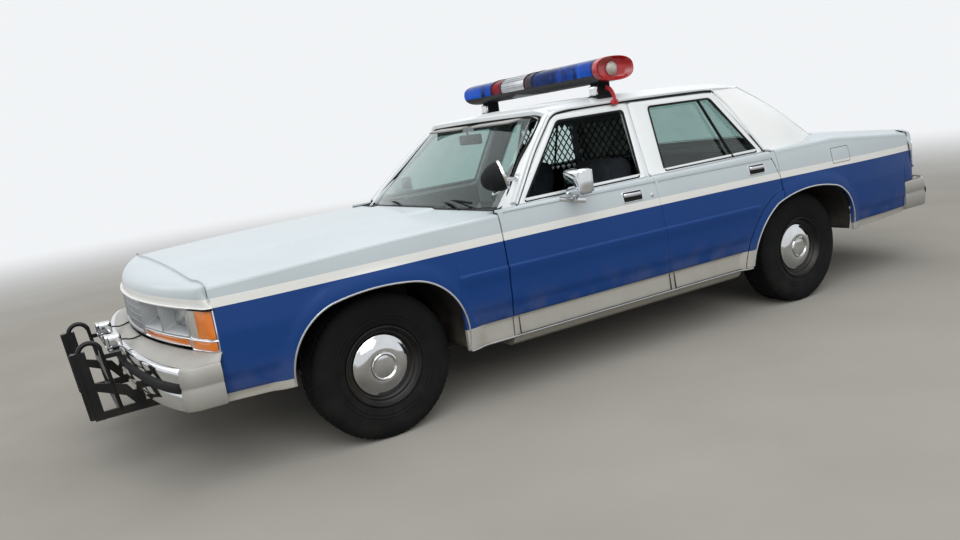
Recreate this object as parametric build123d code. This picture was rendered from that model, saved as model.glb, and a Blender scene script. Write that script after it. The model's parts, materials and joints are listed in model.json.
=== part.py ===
from build123d import *
import math
import os

# Full-size four-door patrol sedan, in millimetres.
# +X forward, +Y to the car's left, +Z up; the origin is on the floor under the middle of the car.

# Overall layout
WHEELBASE = 2903
FRONT_OVERHANG = 1010
REAR_OVERHANG = 1446
GUARD_REACH = 226
FRONT_AXLE_X = (WHEELBASE + REAR_OVERHANG - FRONT_OVERHANG - GUARD_REACH) / 2
REAR_AXLE_X = FRONT_AXLE_X - WHEELBASE
FAR = 4000

# Wheels
TYRE_R = 347
TYRE_WIDTH = 215
TRACK = 1560
RIM_R = 190
RIM_WIDTH = 172
CAP_R = 142
TYRE_FIT = 0.3

# Body side, as height and half width, from the sill up
BODY_HALF_WIDTH = 986
SIDE_SECTION = [
    # height, how far inside the widest line
    (282, 80),
    (300, 42),
    (338, 30),
    (425, 30),
    (440, 16),
    (688, 0),
    (700, 10),
    (850, 18),
    (930, 36),
    (1000, 60),
]
SILL_BOTTOM = 282
SILL_TOP = 338
FLOOR_Z = SILL_TOP
FLOOR_T = 14
SEAT_BASE_Z = FLOOR_Z + FLOOR_T

# Heights of the upper surfaces
NOSE_Z = 888
COWL_Z = 949
BELT_REAR_Z = 990
DECK_FRONT_Z = 1046
DECK_REAR_Z = 972
ROOF_Z = 1456
CROWN = 26

# Stations along the car, measured forward from the front axle
HOOD_FRONT = 740
FENDER_FRONT = 722
COWL = -664
B_GAP_BELT = -1676
B_GAP_SILL = -1711
B_GAP_ROOF = -1762
DOOR_END_BELT = -2600
DECK_FRONT = -3212
DECK_REAR = -4100
TAIL = -4185

# Panels
SHELL = 40
DOOR_T = 88
FRAME_T = 34
LIP_T = 6
LIP_REACH = 22
GAP = 6
HOOD_T = 28
LID_T = 30
ROOF_T = 34
GLASS_T = 6
SEAM = 0.3


def fx(distance):
    """A station given ahead of the front axle, in the car's own frame."""
    return FRONT_AXLE_X + distance


def box(x0, x1, y0, y1, z0, z1):
    """A block between two corners."""
    return Pos((x0 + x1) / 2, (y0 + y1) / 2, (z0 + z1) / 2) * Box(x1 - x0, y1 - y0, z1 - z0)


def side_face(points):
    """A face in the X-Z plane, from points given as x and z."""
    return make_face(Polyline([(x, 0, z) for x, z in points], close=True))


def side_prism(points, y0, y1):
    """An outline in side view, carried across the car from y0 to y1."""
    return Pos(0, y0, 0) * extrude(side_face(points), amount=y1 - y0, dir=(0, 1, 0))


def across(face, y0, y1):
    """A face drawn in side view, carried from y0 to y1."""
    return Pos(0, y0, 0) * extrude(face, amount=y1 - y0, dir=(0, 1, 0))


def front_prism(points, x0, x1):
    """An outline in front view, given as y and z, carried along the car."""
    face = make_face(Polyline([(0, y, z) for y, z in points], close=True))
    return Pos(x0, 0, 0) * extrude(face, amount=x1 - x0, dir=(1, 0, 0))


def plan_prism(points, z0, z1):
    """An outline in plan, given as x and y, carried upwards."""
    face = make_face(Polyline([(x, y, 0) for x, y in points], close=True))
    return Pos(0, 0, z0) * extrude(face, amount=z1 - z0, dir=(0, 0, 1))


def both(points):
    """A half outline, given from the middle outwards as y and z, made whole."""
    return points + [(-y, z) for y, z in reversed(points) if y]


def both_sides(points):
    """A half outline in plan, given from the middle outwards as x and y, made whole."""
    return points + [(x, -y) for x, y in reversed(points) if y]


def mirrored(shape):
    """The other side's twin."""
    return mirror(shape, about=Plane.XZ)


def one_side(shape, side):
    """A shape made for the left side, put on the left at 1 and on the right at -1."""
    return shape if side > 0 else mirrored(shape)


def rod(start, end, radius):
    """A straight round bar between two points."""
    a = Vector(*start)
    b = Vector(*end)
    return Plane(origin=a, z_dir=b - a) * Cylinder(
        radius, (b - a).length, align=(Align.CENTER, Align.CENTER, Align.MIN)
    )


def ring(outer_r, inner_r, y0, y1, x, z):
    """A round ring whose axis runs across the car."""
    length = y1 - y0
    blank = Cylinder(outer_r, length) - Cylinder(inner_r, length)
    return Pos(x, (y0 + y1) / 2, z) * Rot(90, 0, 0) * blank


def disc(radius, y0, y1, x, z):
    """A round plate whose axis runs across the car."""
    return Pos(x, (y0 + y1) / 2, z) * Rot(90, 0, 0) * Cylinder(radius, y1 - y0)


# The body's outer form, or its inner face when inset is the wall

NOSE_SAG = 120
NOSE_HALF = 776
NOSE_X = 918
TAIL_SAG = 14
TAIL_DROP = 166
TAIL_HALF = BODY_HALF_WIDTH - TAIL_DROP
NOSE_TAPER = [
    # station, how far inside the half width
    (FENDER_FRONT + 18, 46),
    (FENDER_FRONT, 34),
    (300, 0),
]
TAIL_TAPER = [
    # station, share of the tail's drop
    (-3300, 0),
    (-3950, 0.27),
    (-4075, 0.48),
    (-4120, 0.64),
]


def side_form(inset):
    """Both body sides, as one section carried along the whole car."""
    half = [(BODY_HALF_WIDTH - inward - inset, z) for z, inward in SIDE_SECTION]
    if inset:
        half = [(half[0][0], -FAR)] + half
    half.append((half[-1][0], FAR))
    return front_prism(half + [(-y, z) for y, z in reversed(half)], -FAR, FAR)


def plan_form(inset):
    """The car's outline seen from above."""
    nose = fx(NOSE_X) - inset
    corner = fx(NOSE_X - NOSE_SAG) - inset
    tail = fx(TAIL) + inset
    tail_corner = fx(TAIL + TAIL_SAG) + inset
    half = BODY_HALF_WIDTH - inset
    side = [(fx(station), half - inward) for station, inward in NOSE_TAPER]
    side[0] = (side[0][0] - inset / 2, side[0][1])
    side += [(fx(station), half - share * TAIL_DROP) for station, share in TAIL_TAPER]
    left = Polyline([(corner, NOSE_HALF - inset, 0)] + [(x, y, 0) for x, y in side] +
                    [(tail_corner, TAIL_HALF - inset, 0)])
    right = mirror(left, about=Plane.XZ)
    front = ThreePointArc((corner, inset - NOSE_HALF, 0), (nose, 0, 0), (corner, NOSE_HALF - inset, 0))
    back = ThreePointArc(
        (tail_corner, TAIL_HALF - inset, 0), (tail, 0, 0), (tail_corner, inset - TAIL_HALF, 0)
    )
    outline = make_face(front + left + back + right)
    return Pos(0, 0, -FAR) * extrude(outline, amount=2 * FAR, dir=(0, 0, 1))


def crown_form(x_front, z_front, x_rear, z_rear, crown, inset):
    """All that lies below a crowned surface which slopes from one station to another."""
    edge = 930
    reach = 1000
    arc = ThreePointArc((0, -edge, -crown), (0, 0, 0), (0, edge, -crown))
    rest = Polyline(
        (0, edge, -crown), (0, reach, -crown - 6), (0, reach, -FAR), (0, -reach, -FAR),
        (0, -reach, -crown - 6), (0, -edge, -crown),
    )
    run = Vector(x_rear - x_front, 0, z_rear - z_front)
    face = make_face(arc + rest)
    return Pos(x_front, 0, z_front - inset) * extrude(face, amount=run.length, dir=run)


HOOD_EXTRA = 400
SHOULDER_DROP = 46
VINYL_BASE = 985


def nose_top(inset):
    """Below the hood and fender tops."""
    slope = (COWL_Z - NOSE_Z) / (HOOD_FRONT - COWL)
    x0 = HOOD_FRONT + HOOD_EXTRA
    x1 = COWL - HOOD_EXTRA
    return crown_form(
        fx(x0), NOSE_Z + CROWN - slope * HOOD_EXTRA, fx(x1), COWL_Z + CROWN + slope * HOOD_EXTRA,
        CROWN, inset
    )


def door_top(inset):
    """Below the belt line of the doors."""
    return crown_form(fx(COWL), COWL_Z, fx(DOOR_END_BELT), BELT_REAR_Z, 1, inset)


def deck_top(inset):
    """Below the trunk lid and the rear shoulders."""
    slope = (DECK_FRONT_Z - DECK_REAR_Z) / (DECK_FRONT - DECK_REAR)
    x0 = DECK_FRONT + HOOD_EXTRA * 2
    x1 = DECK_REAR - HOOD_EXTRA
    return crown_form(
        fx(x0), DECK_FRONT_Z + slope * HOOD_EXTRA * 2, fx(x1), DECK_REAR_Z - slope * HOOD_EXTRA,
        SHOULDER_DROP, inset
    )



# Greenhouse: glass planes lean in, and the roof is crowned
GLASS_BASE_Y = 906
GLASS_BASE_Z = 955
RAIL_Y = 700
RAIL_Z = 1348
DRIP_Y = 684
DRIP_Z = 1398
ROOF_EDGE_Y = 590
ROOF_EDGE_Z = 1440
SHIELD_BASE_X = -636
SHIELD_BASE_CORNER_X = -751
SHIELD_BASE_Y = 793
SHIELD_RAKE_X = 468
SHIELD_RAKE_Z = 432
SHIELD_BASE_Z = 936
BACK_BASE_X = -3262
BACK_BASE_CORNER_X = -3218
BACK_TOP_X = -2735
BACK_TOP_Z = 1398


def section_form(inset):
    """The greenhouse's leaning sides and crowned roof, as one section along the car."""
    lean = inset * 1.1
    sides = [
        (0, GLASS_BASE_Y + 16 - lean, 930 - inset),
        (0, GLASS_BASE_Y - lean, GLASS_BASE_Z - inset),
        (0, RAIL_Y - lean, RAIL_Z),
        (0, DRIP_Y - lean, DRIP_Z - inset),
        (0, ROOF_EDGE_Y - lean, ROOF_EDGE_Z - inset),
    ]
    first = sides[0]
    last = sides[-1]
    top = ThreePointArc(last, (0, 0, ROOF_Z - inset), (0, -last[1], last[2]))
    left = Polyline(sides)
    right = mirror(left, about=Plane.XZ)
    base = Line(first, (0, -first[1], first[2]))
    section = make_face(left + top + right + base)
    return Pos(-FAR, 0, 0) * extrude(section, amount=2 * FAR, dir=(1, 0, 0))


def cabin_form(inset):
    """The greenhouse above the belt, or its inner face."""
    return section_form(inset) & shield_form(inset) & back_form(inset) & roof_form(inset)


def shield_form(inset):
    """Everything behind the bowed, raked windscreen surface."""
    base = fx(SHIELD_BASE_X) - inset * 1.4
    corner = fx(SHIELD_BASE_CORNER_X) - inset * 1.4
    bow = ThreePointArc((corner, -SHIELD_BASE_Y, 0), (base, 0, 0), (corner, SHIELD_BASE_Y, 0))
    side_x = corner - 40
    rest = Polyline(
        (corner, SHIELD_BASE_Y, 0), (side_x, 1100, 0), (fx(-FAR), 1100, 0), (fx(-FAR), -1100, 0),
        (side_x, -1100, 0), (corner, -SHIELD_BASE_Y, 0),
    )
    rake = Vector(-SHIELD_RAKE_X, 0, SHIELD_RAKE_Z)
    steps = 1.6
    start = Vector(0, 0, SHIELD_BASE_Z) - rake * 0.3
    face = make_face(bow + rest)
    return Pos(*start) * extrude(face, amount=rake.length * steps, dir=rake)


def back_form(inset):
    """Everything ahead of the bowed rear window surface."""
    base = fx(BACK_BASE_X) + inset * 1.4
    corner = fx(BACK_BASE_CORNER_X) + inset * 1.4
    bow = ThreePointArc((corner, -SHIELD_BASE_Y, 0), (base, 0, 0), (corner, SHIELD_BASE_Y, 0))
    rest = Polyline(
        (corner, SHIELD_BASE_Y, 0), (corner, 1100, 0), (fx(FAR / 2), 1100, 0), (fx(FAR / 2), -1100, 0),
        (corner, -1100, 0), (corner, -SHIELD_BASE_Y, 0),
    )
    rake = Vector(BACK_TOP_X - BACK_BASE_CORNER_X, 0, BACK_TOP_Z - DECK_FRONT_Z)
    start = Vector(0, 0, DECK_FRONT_Z) - rake * 0.3
    face = make_face(bow + rest)
    return Pos(*start) * extrude(face, amount=rake.length * 1.6, dir=rake)


def roof_form(inset):
    """Everything below the roof's long crown, seen from the side."""
    front = (fx(-1150), 0, 1400 - inset)
    back = (fx(-2790), 0, 1388 - inset)
    crown = ThreePointArc(front, (fx(-1990), 0, ROOF_Z + 2 - inset), back)
    rest = Polyline(back, (fx(-4400), 0, 700), (fx(300), 0, 700), front)
    return across(make_face(crown + rest), -1200, 1200)


# Side openings, drawn in side view

ARCH_FLARE = 52
FRONT_ARCH = [
    # start, through and end of each arc, ahead of the axle and above the floor
    ((444, 424), (392, 590), (236, 712)),
    ((236, 712), (36, 738), (-160, 726)),
    ((-160, 726), (-330, 628), (-386, 428)),
]
REAR_ARCH = [
    ((499, 451), (426, 574), (303, 680)),
    ((303, 680), (40, 732), (-205, 713)),
    ((-205, 713), (-345, 632), (-386, 500)),
]
ARCH_FEET = {"front": ((-396, 200), (452, 200)), "rear": ((-378, 200), (640, 200))}


def arch_face(name):
    """A wheel arch's outline, closed below the sill."""
    arcs = FRONT_ARCH if name == "front" else REAR_ARCH
    axle = FRONT_AXLE_X if name == "front" else REAR_AXLE_X
    rear_foot, front_foot = ARCH_FEET[name]
    edges = Curve() + [
        ThreePointArc(*[(axle + x, 0, z) for x, z in arc]) for arc in arcs
    ]
    first = arcs[0][0]
    last = arcs[-1][2]
    closing = Polyline(
        [(axle + x, 0, z) for x, z in (last, rear_foot, front_foot, first)]
    )
    return make_face(edges + closing)


def arch_prism(name, growth, y0, y1):
    """The space of a wheel arch, grown outwards by an amount."""
    face = arch_face(name)
    if growth:
        face = offset(face, growth, kind=Kind.INTERSECTION)
    return across(face, y0, y1)


DOOR_TOP_FRONT = (-1236, 1364)
DOOR_TOP_B = (B_GAP_ROOF, 1376)
DOOR_TOP_REAR = (-2420, 1371)


def front_door_points(grow):
    """The front door's outline; grow widens it to the body's opening."""
    g = grow
    return [
        (fx(COWL - GAP) + g, SILL_TOP + 5 - g),
        (fx(COWL - GAP) + g, COWL_Z + 4 + g),
        (fx(-772) + g, 962 + g),
        (fx(DOOR_TOP_FRONT[0]) + g, DOOR_TOP_FRONT[1] + g),
        (fx(DOOR_TOP_B[0]) + GAP / 2 - g, DOOR_TOP_B[1] + g),
        (fx(B_GAP_BELT) + GAP / 2 - g, 978),
        (fx(B_GAP_SILL) + GAP / 2 - g, SILL_TOP + 5 - g),
    ]


def rear_door_points(grow):
    """The rear door's outline, before the wheel arch is taken from it."""
    g = grow
    return [
        (fx(B_GAP_SILL) - GAP / 2 + g, SILL_TOP + 5 - g),
        (fx(B_GAP_BELT) - GAP / 2 + g, 978),
        (fx(DOOR_TOP_B[0]) - GAP / 2 + g, DOOR_TOP_B[1] + g),
        (fx(DOOR_TOP_REAR[0]) - g, DOOR_TOP_REAR[1] + g),
        (fx(DOOR_END_BELT) - g, BELT_REAR_Z + g),
        (fx(-2655) - g, 828 + g),
        (fx(-2655) - g, SILL_TOP + 5 - g),
    ]


FRONT_WINDOW = [(-852, 966), (-1244, 1338), (-1708, 1346), (-1622, 978)]
REAR_WINDOW = [(-1806, 984), (-1896, 1346), (-2388, 1345), (-2562, 992)]


def door_slab(wall):
    """The body's skin along the doors, with wall thicknesses below and above the belt."""
    below, above = wall
    lower = side_form(0) & door_top(0)
    lower -= side_form(below) & door_top(-SHELL)
    upper = cabin_form(0) & box(-FAR, FAR, 0, FAR, 940, FAR)
    upper -= section_form(above)
    left_half = box(fx(DECK_FRONT), fx(COWL) + 1, 300, FAR, SILL_BOTTOM, FAR)
    return (lower + upper) & left_half


def hollow_side(points, arch, window):
    """A door: a thin lip all round on the outside, and a smaller thick body behind it."""
    outline = side_prism(points, 0, FAR)
    inner = side_prism([(x + LIP_REACH, z) for x, z in points], 0, FAR)
    lip = door_slab((LIP_T, LIP_T)) & outline
    thick = door_slab((DOOR_T, FRAME_T)) & outline & inner
    door = lip + thick
    if arch:
        door -= arch_prism("rear", ARCH_FLARE + GAP, 0, FAR)
        door -= arch_prism("rear", ARCH_FLARE + GAP + LIP_REACH, 0, BODY_HALF_WIDTH - 60)
    hole = side_prism([(fx(x), z) for x, z in window], 0, FAR)
    return door - hole


def glass_pane(points, depth):
    """Side glass that fills a window, let into its frame."""
    shell = cabin_form(depth) - cabin_form(depth + GLASS_T)
    grown = side_prism([(fx(x), z) for x, z in points], 300, FAR)
    return shell & grown & box(-FAR, FAR, 300, FAR, 960, FAR)


parts = {}

# Ladder frame

RAIL_MID_Y = 430
RAIL_W = 80
RAIL_H = 110
RAIL_BOTTOM = FLOOR_Z - RAIL_H
KICK_UP = 190
KICK_START = -2480
KICK_END = -2630
RAIL_END = -4056
RAIL_FRONT = 860
RAIL_FRONT_LOW = 430
TRUNK_END = -4115


def build_frame():
    """Two rails, kicked up over the axles, with cross members between them."""
    rail_line = [
        # station ahead of the front axle, height of the rail's bottom
        (RAIL_FRONT, RAIL_FRONT_LOW),
        (420, RAIL_FRONT_LOW),
        (-420, RAIL_BOTTOM),
        (KICK_START, RAIL_BOTTOM),
        (KICK_END, RAIL_BOTTOM + KICK_UP),
        (RAIL_END, RAIL_BOTTOM + KICK_UP),
    ]
    top = [(fx(x), z + RAIL_H) for x, z in reversed(rail_line)]
    inner = RAIL_MID_Y - RAIL_W / 2
    rail = side_prism([(fx(x), z) for x, z in rail_line] + top, inner, inner + RAIL_W)
    frame = rail + mirrored(rail)
    members = [
        # station, half length, bottom, height
        (700, 50, 440, 80),
        (-700, 60, 290, 40),
        (-1860, 50, 290, 40),
        (-3350, 40, 430, 80),
        (-4010, 40, 430, 80),
    ]
    for station, half, bottom, height in members:
        x0, x1 = fx(station) - half, fx(station) + half
        frame += box(x0, x1, -inner - 1, inner + 1, bottom, bottom + height)
    return frame


FRAME_SPLIT = -520
whole_frame = build_frame()
front_region = box(fx(FRAME_SPLIT), FAR, -FAR, FAR, 0, FAR)
parts["front_frame"] = whole_frame & front_region
parts["frame"] = whole_frame - front_region

# Body floor, firewall and inner structure

FLOOR_HALF = 858
REAR_HALF = 640
SEAT_WALL = -2760
SHELF_Z = 958
SHELF_REAR = -3260
WALL_TOP = 860
FIREWALL = -560
WELL_IN_Y = 560


def build_floor():
    """Floor, firewall, seat back wall, shelf and trunk floor in one stamping."""
    floor = box(fx(KICK_START), fx(FIREWALL), -FLOOR_HALF, FLOOR_HALF, FLOOR_Z, FLOOR_Z + FLOOR_T)
    wall = box(fx(FIREWALL) - FLOOR_T, fx(FIREWALL), -FLOOR_HALF, FLOOR_HALF, FLOOR_Z, WALL_TOP)
    line = [(KICK_START, FLOOR_Z), (KICK_END, FLOOR_Z + KICK_UP), (TRUNK_END, FLOOR_Z + KICK_UP)]
    under = [(fx(x), z) for x, z in line]
    over = [(x, z + FLOOR_T) for x, z in reversed(under)]
    kick = side_prism(under + over, -WELL_IN_Y, WELL_IN_Y)
    shelf = box(fx(SHELF_REAR), fx(SEAT_WALL), -REAR_HALF, REAR_HALF, SHELF_Z, SHELF_Z + FLOOR_T)
    back = box(
        fx(SEAT_WALL) - FLOOR_T, fx(SEAT_WALL), -REAR_HALF, REAR_HALF, FLOOR_Z + KICK_UP, SHELF_Z + 1
    )
    return floor + wall + kick + shelf + back + front_post + mirrored(front_post)


# Engine, a plain block at its real place
ENGINE = (-420, 330, 300, 396, 800)
parts["engine_block"] = box(
    fx(ENGINE[0]), fx(ENGINE[1]), -ENGINE[2], ENGINE[2], ENGINE[3], ENGINE[4]
)

# Roof with its pillars, sills and cowl

def windscreen_hole(front):
    """The glass opening in front view, wide at the base."""
    if front:
        return front_prism(
            both([(0, 1374), (572, 1370), (SHIELD_BASE_Y - 6, 940), (SHIELD_BASE_Y - 6, 900), (0, 900)]),
            fx(-1300),
            fx(0),
        )
    return front_prism(
        both([(0, 1352), (548, 1346), (720, 1058), (0, 1052)]), fx(-3600), fx(-2650)
    )


def build_roof():
    """Roof skin, windscreen pillars, inner door pillars and the broad rear pillars."""
    shell = cabin_form(0) - cabin_form(ROOF_T)
    shell &= box(fx(-3300), fx(0), -FAR, FAR, COWL_Z + 6, FAR)
    shell -= box(-FAR, fx(DOOR_END_BELT) - GAP, -FAR, FAR, 0, VINYL_BASE)
    shell -= box(-FAR, fx(DECK_FRONT) + GAP, -FAR, FAR, 0, DECK_FRONT_Z + 20)
    shell -= windscreen_hole(True)
    shell -= windscreen_hole(False)
    for points in (front_door_points(GAP), rear_door_points(GAP)):
        opening = side_prism(points, 300, FAR) - section_form(FRAME_T + GAP)
        shell -= opening
        shell -= mirrored(opening)
    return shell


def build_pillars():
    """Posts behind the doors' shut lines, from sill to roof."""
    post = side_prism(
        [
            (fx(B_GAP_SILL) + 46, SEAT_BASE_Z),
            (fx(B_GAP_BELT) + 46, 980),
            (fx(B_GAP_ROOF) + 40, 1400),
            (fx(B_GAP_ROOF) - 40, 1400),
            (fx(B_GAP_BELT) - 46, 980),
            (fx(B_GAP_SILL) - 46, SEAT_BASE_Z),
        ],
        300,
        FAR,
    )
    lower = side_form(DOOR_T + GAP) - side_form(DOOR_T + GAP + 40)
    lower &= box(-FAR, FAR, 0, FAR, SEAT_BASE_Z, 960)
    upper = cabin_form(FRAME_T + GAP) - cabin_form(FRAME_T + GAP + 34)
    upper &= box(-FAR, FAR, 0, FAR, 930, FAR)
    head = cabin_form(2) - cabin_form(FRAME_T + GAP + 34)
    head &= box(-FAR, FAR, 0, FAR, DOOR_TOP_B[1] + GAP + 6, 1400)
    return (lower + upper + head) & post


HINGE_Y = 924
HINGE_T = 16
HINGE_HEIGHTS = ((445, 505), (760, 820))
HINGE_POST_TOP = 880


def build_hinge_posts():
    """The post ahead of the front door, and the hinge blocks that both doors hang on."""
    front = fx(COWL - GAP) + SEAM
    post_y = BODY_HALF_WIDTH - DOOR_T - GAP - 2 * SHELL
    post = box(front, front + SHELL, post_y, post_y + SHELL, SEAT_BASE_Z, HINGE_POST_TOP)
    for low, high in HINGE_HEIGHTS:
        post += box(front, front + HINGE_T, post_y + SHELL - 1, HINGE_Y, low, high)
    rear = box(fx(-1800), fx(-1600), FLOOR_HALF, HINGE_Y, *HINGE_HEIGHTS[0])
    rear += box(fx(-1800), fx(-1600), FLOOR_HALF, HINGE_Y, *HINGE_HEIGHTS[1])
    rear &= side_prism(rear_door_points(HINGE_T), 0, FAR)
    rear -= side_prism(rear_door_points(SEAM), 0, FAR)
    rear -= side_prism(
        [(fx(B_GAP_SILL - 60), 0), (fx(B_GAP_SILL - 60), FAR), (fx(-FAR), FAR), (fx(-FAR), 0)], 0, FAR
    )
    return post, rear


COWL_DEPTH = 24
front_post, rear_hinges = build_hinge_posts()
left_pillars = build_pillars() + rear_hinges
parts["floor_pan"] = build_floor()
parts["roof_and_pillars"] = build_roof() + left_pillars + mirrored(left_pillars)


def build_sill():
    """The rocker under both doors, closed below."""
    sill = side_form(0) & box(fx(-2404), fx(COWL), 0, FAR, SILL_BOTTOM, SILL_TOP)
    sill &= box(-FAR, FAR, FLOOR_HALF - 40, FAR, 0, FAR)
    return sill - arch_prism("rear", ARCH_FLARE - 4, 0, FAR)


sill = build_sill()
parts["sills"] = sill + mirrored(sill)

# Fenders, hood and header panel

HOOD_IN_FRONT = 128
HOOD_IN_REAR = 140
HOOD_HALF_FRONT = BODY_HALF_WIDTH - HOOD_IN_FRONT
HOOD_REAR = -598
HOOD_REAR_CORNER = -700
HOOD_HALF_REAR = BODY_HALF_WIDTH - HOOD_IN_REAR


def nose_solid(inset):
    """The body ahead of the doors, below the hood's and fenders' top."""
    return side_form(inset) & plan_form(inset) & nose_top(inset)


def hood_prism(grow):
    """The hood in plan, carried upwards; grow widens it to the opening."""
    front_x = fx(HOOD_FRONT) + grow
    rear_x = fx(HOOD_REAR_CORNER) - grow
    front_y = HOOD_HALF_FRONT + grow
    rear_y = HOOD_HALF_REAR + grow
    rear = ThreePointArc((rear_x, -rear_y, 0), (fx(HOOD_REAR) - grow, 0, 0), (rear_x, rear_y, 0))
    rest = Polyline(
        (rear_x, rear_y, 0), (front_x, front_y, 0), (front_x, -front_y, 0), (rear_x, -rear_y, 0)
    )
    return Pos(0, 0, 700) * extrude(make_face(rear + rest), amount=FAR, dir=(0, 0, 1))


def build_fender():
    """The left fender: side, top shelf and the raised lip round the arch."""
    region = box(fx(COWL), fx(FENDER_FRONT), 0, FAR, SILL_BOTTOM, FAR)
    skin = (nose_solid(0) - nose_solid(SHELL)) & region
    skin -= hood_prism(GAP)
    skin -= box(-FAR, FAR, -FAR, 820, 0, FAR)
    skin -= box(-FAR, FAR, 0, FAR, 0, SILL_TOP - 40) & box(-FAR, fx(0), 0, FAR, 0, FAR)
    flare = arch_prism("front", ARCH_FLARE, 0, FAR) & side_form(-2) & box(
        -FAR, FAR, BODY_HALF_WIDTH - 60, FAR, 360, FAR
    )
    skin += flare & region
    skin -= arch_prism("front", 0, 0, FAR)
    skin -= box(fx(0), fx(FENDER_FRONT), 0, FAR, 0, 404)
    return skin


parts["fender_left"] = build_fender()
parts["fender_right"] = mirrored(build_fender())

hood = (nose_solid(0) - nose_solid(HOOD_T)) & hood_prism(0)
parts["hood"] = hood

HEADER_BOTTOM = 802
header = (nose_solid(0) - nose_solid(SHELL)) & box(
    fx(FENDER_FRONT), FAR, -FAR, FAR, HEADER_BOTTOM, FAR
)
header -= hood_prism(GAP)
parts["header_panel"] = header

# Grille, headlamps, turn and side lamps, below the header

BUMPER_TOP = 590
BUMPER_BOTTOM = 408
FILLER_TOP = BUMPER_TOP + 30
FRONT_CAP_END = 728
REAR_CAP_END = -3940
REAR_BUMPER_TOP = 604
REAR_BUMPER_BOTTOM = 412
GRILLE_BOTTOM = 632
GRILLE_HALF = 300
LAMP_OUTER = 792
FACE_DEPTH = 70
TURN_TOP = GRILLE_BOTTOM + 38


def face_band(y0, y1, z0, z1, proud):
    """A slice of the nose face between two widths and two heights."""
    band = plan_form(-proud) - plan_form(FACE_DEPTH)
    return band & box(fx(600), FAR, y0, y1, z0, z1)


def build_grille():
    """A surround with a deep grid of upright and level bars."""
    outer = face_band(-GRILLE_HALF, GRILLE_HALF, GRILLE_BOTTOM, HEADER_BOTTOM, 14)
    hole = box(-FAR, FAR, -GRILLE_HALF + 14, GRILLE_HALF - 14, GRILLE_BOTTOM + 14, HEADER_BOTTOM - 34)
    bars = Part()
    pitch = 36
    for i in range(-7, 8):
        y = i * pitch
        bars += box(fx(820), fx(NOSE_X), y - 3, y + 3, GRILLE_BOTTOM, HEADER_BOTTOM - 20)
    for z in (680, 720, 760 - 20):
        bars += box(fx(820), fx(NOSE_X), -GRILLE_HALF, GRILLE_HALF, z - 2, z + 2)
    bars &= plan_form(-4) - plan_form(50)
    back = (plan_form(40) - plan_form(FACE_DEPTH)) & box(
        fx(600), FAR, -GRILLE_HALF, GRILLE_HALF, GRILLE_BOTTOM, HEADER_BOTTOM
    )
    return outer - hole + bars + back


parts["grille"] = build_grille()


def build_headlamps():
    """On each side one bezel with two sunk rectangular lamps."""
    bezel = face_band(GRILLE_HALF + SEAM, LAMP_OUTER, TURN_TOP + SEAM, HEADER_BOTTOM - SEAM, 2)
    for y in (435, 650):
        lamp = box(-FAR, FAR, y - 96, y + 96, GRILLE_BOTTOM + 54, HEADER_BOTTOM - 18)
        bezel -= lamp & plan_form(-20) & box(fx(600), FAR, 0, FAR, 0, FAR) - plan_form(34)
    return bezel + mirrored(bezel)


parts["headlamps"] = build_headlamps()


def build_marker_lamps():
    """Bars under the headlamps, and lamps that wrap round the nose's corners."""
    bar = face_band(GRILLE_HALF + SEAM, LAMP_OUTER, GRILLE_BOTTOM, TURN_TOP, 0)
    corner = plan_form(0) - plan_form(FACE_DEPTH)
    corner &= box(
        fx(FENDER_FRONT) + SEAM, FAR, LAMP_OUTER + SEAM, FAR, FILLER_TOP + SEAM, HEADER_BOTTOM - SEAM
    )
    lamps = bar + (corner & side_form(0))
    return lamps + mirrored(lamps)


parts["marker_lamps"] = build_marker_lamps()

# Front bumper: chrome bar with painted ends and filler panel

BUMPER_T = 60
BUMPER_HALF = 978


def bumper_shell(sign, reach, corner, end, half, bottom, top, wall):
    """A bumper that wraps from one wheel side to the other, open towards the car."""
    def ring_points(inset):
        """One side's outline from the middle to the end, drawn in by inset."""
        x_face = reach - inset
        return [
            (x_face, 0),
            (x_face - 14, 420),
            (corner - inset, 800 - inset / 3),
            (corner - 52 - inset, half - 14 - inset),
            (corner - 90 - inset, half - inset),
            (end, half - inset),
        ]

    outer = ring_points(0)
    inner = ring_points(wall)
    half_band = outer + list(reversed(inner))
    points = [(sign * x, y) for x, y in half_band]
    band = plan_prism(points, bottom, top)
    return band + mirrored(band)


FRONT_CORNER = 944
front_bumper = bumper_shell(
    1, fx(FRONT_OVERHANG), fx(FRONT_CORNER), fx(FRONT_CAP_END), BUMPER_HALF, BUMPER_BOTTOM,
    BUMPER_TOP, BUMPER_T
)
FILLER_REACH = 50
FILLER_HALF = 926


def filler_outline(reach, z):
    """The filler panel's outline at one height, standing out from the nose by reach."""
    nose = fx(NOSE_X) + reach
    corner = nose - NOSE_SAG
    side_x = fx(FENDER_FRONT) + 40 + reach / 2
    front = ThreePointArc((corner, -NOSE_HALF, z), (nose, 0, z), (corner, NOSE_HALF, z))
    rest = Polyline(
        (corner, NOSE_HALF, z), (side_x, FILLER_HALF, z), (fx(FRONT_CAP_END), FILLER_HALF, z),
        (fx(FRONT_CAP_END), -FILLER_HALF, z), (side_x, -FILLER_HALF, z), (corner, -NOSE_HALF, z),
    )
    return make_face(front + rest)


filler = loft([filler_outline(FILLER_REACH, BUMPER_TOP), filler_outline(2, FILLER_TOP)], ruled=True)
filler -= plan_form(60)


def bumper_brackets(x0, x1, low):
    """Blocks between the frame rails' ends and a bumper's inner face."""
    bracket = box(fx(x0), fx(x1), RAIL_MID_Y - RAIL_W / 2, RAIL_MID_Y + RAIL_W / 2, low, low + RAIL_H)
    return bracket + mirrored(bracket)


front_stays = bumper_brackets(RAIL_FRONT, FRONT_OVERHANG - BUMPER_T, RAIL_FRONT_LOW)
parts["front_bumper"] = front_bumper + filler + front_stays

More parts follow.
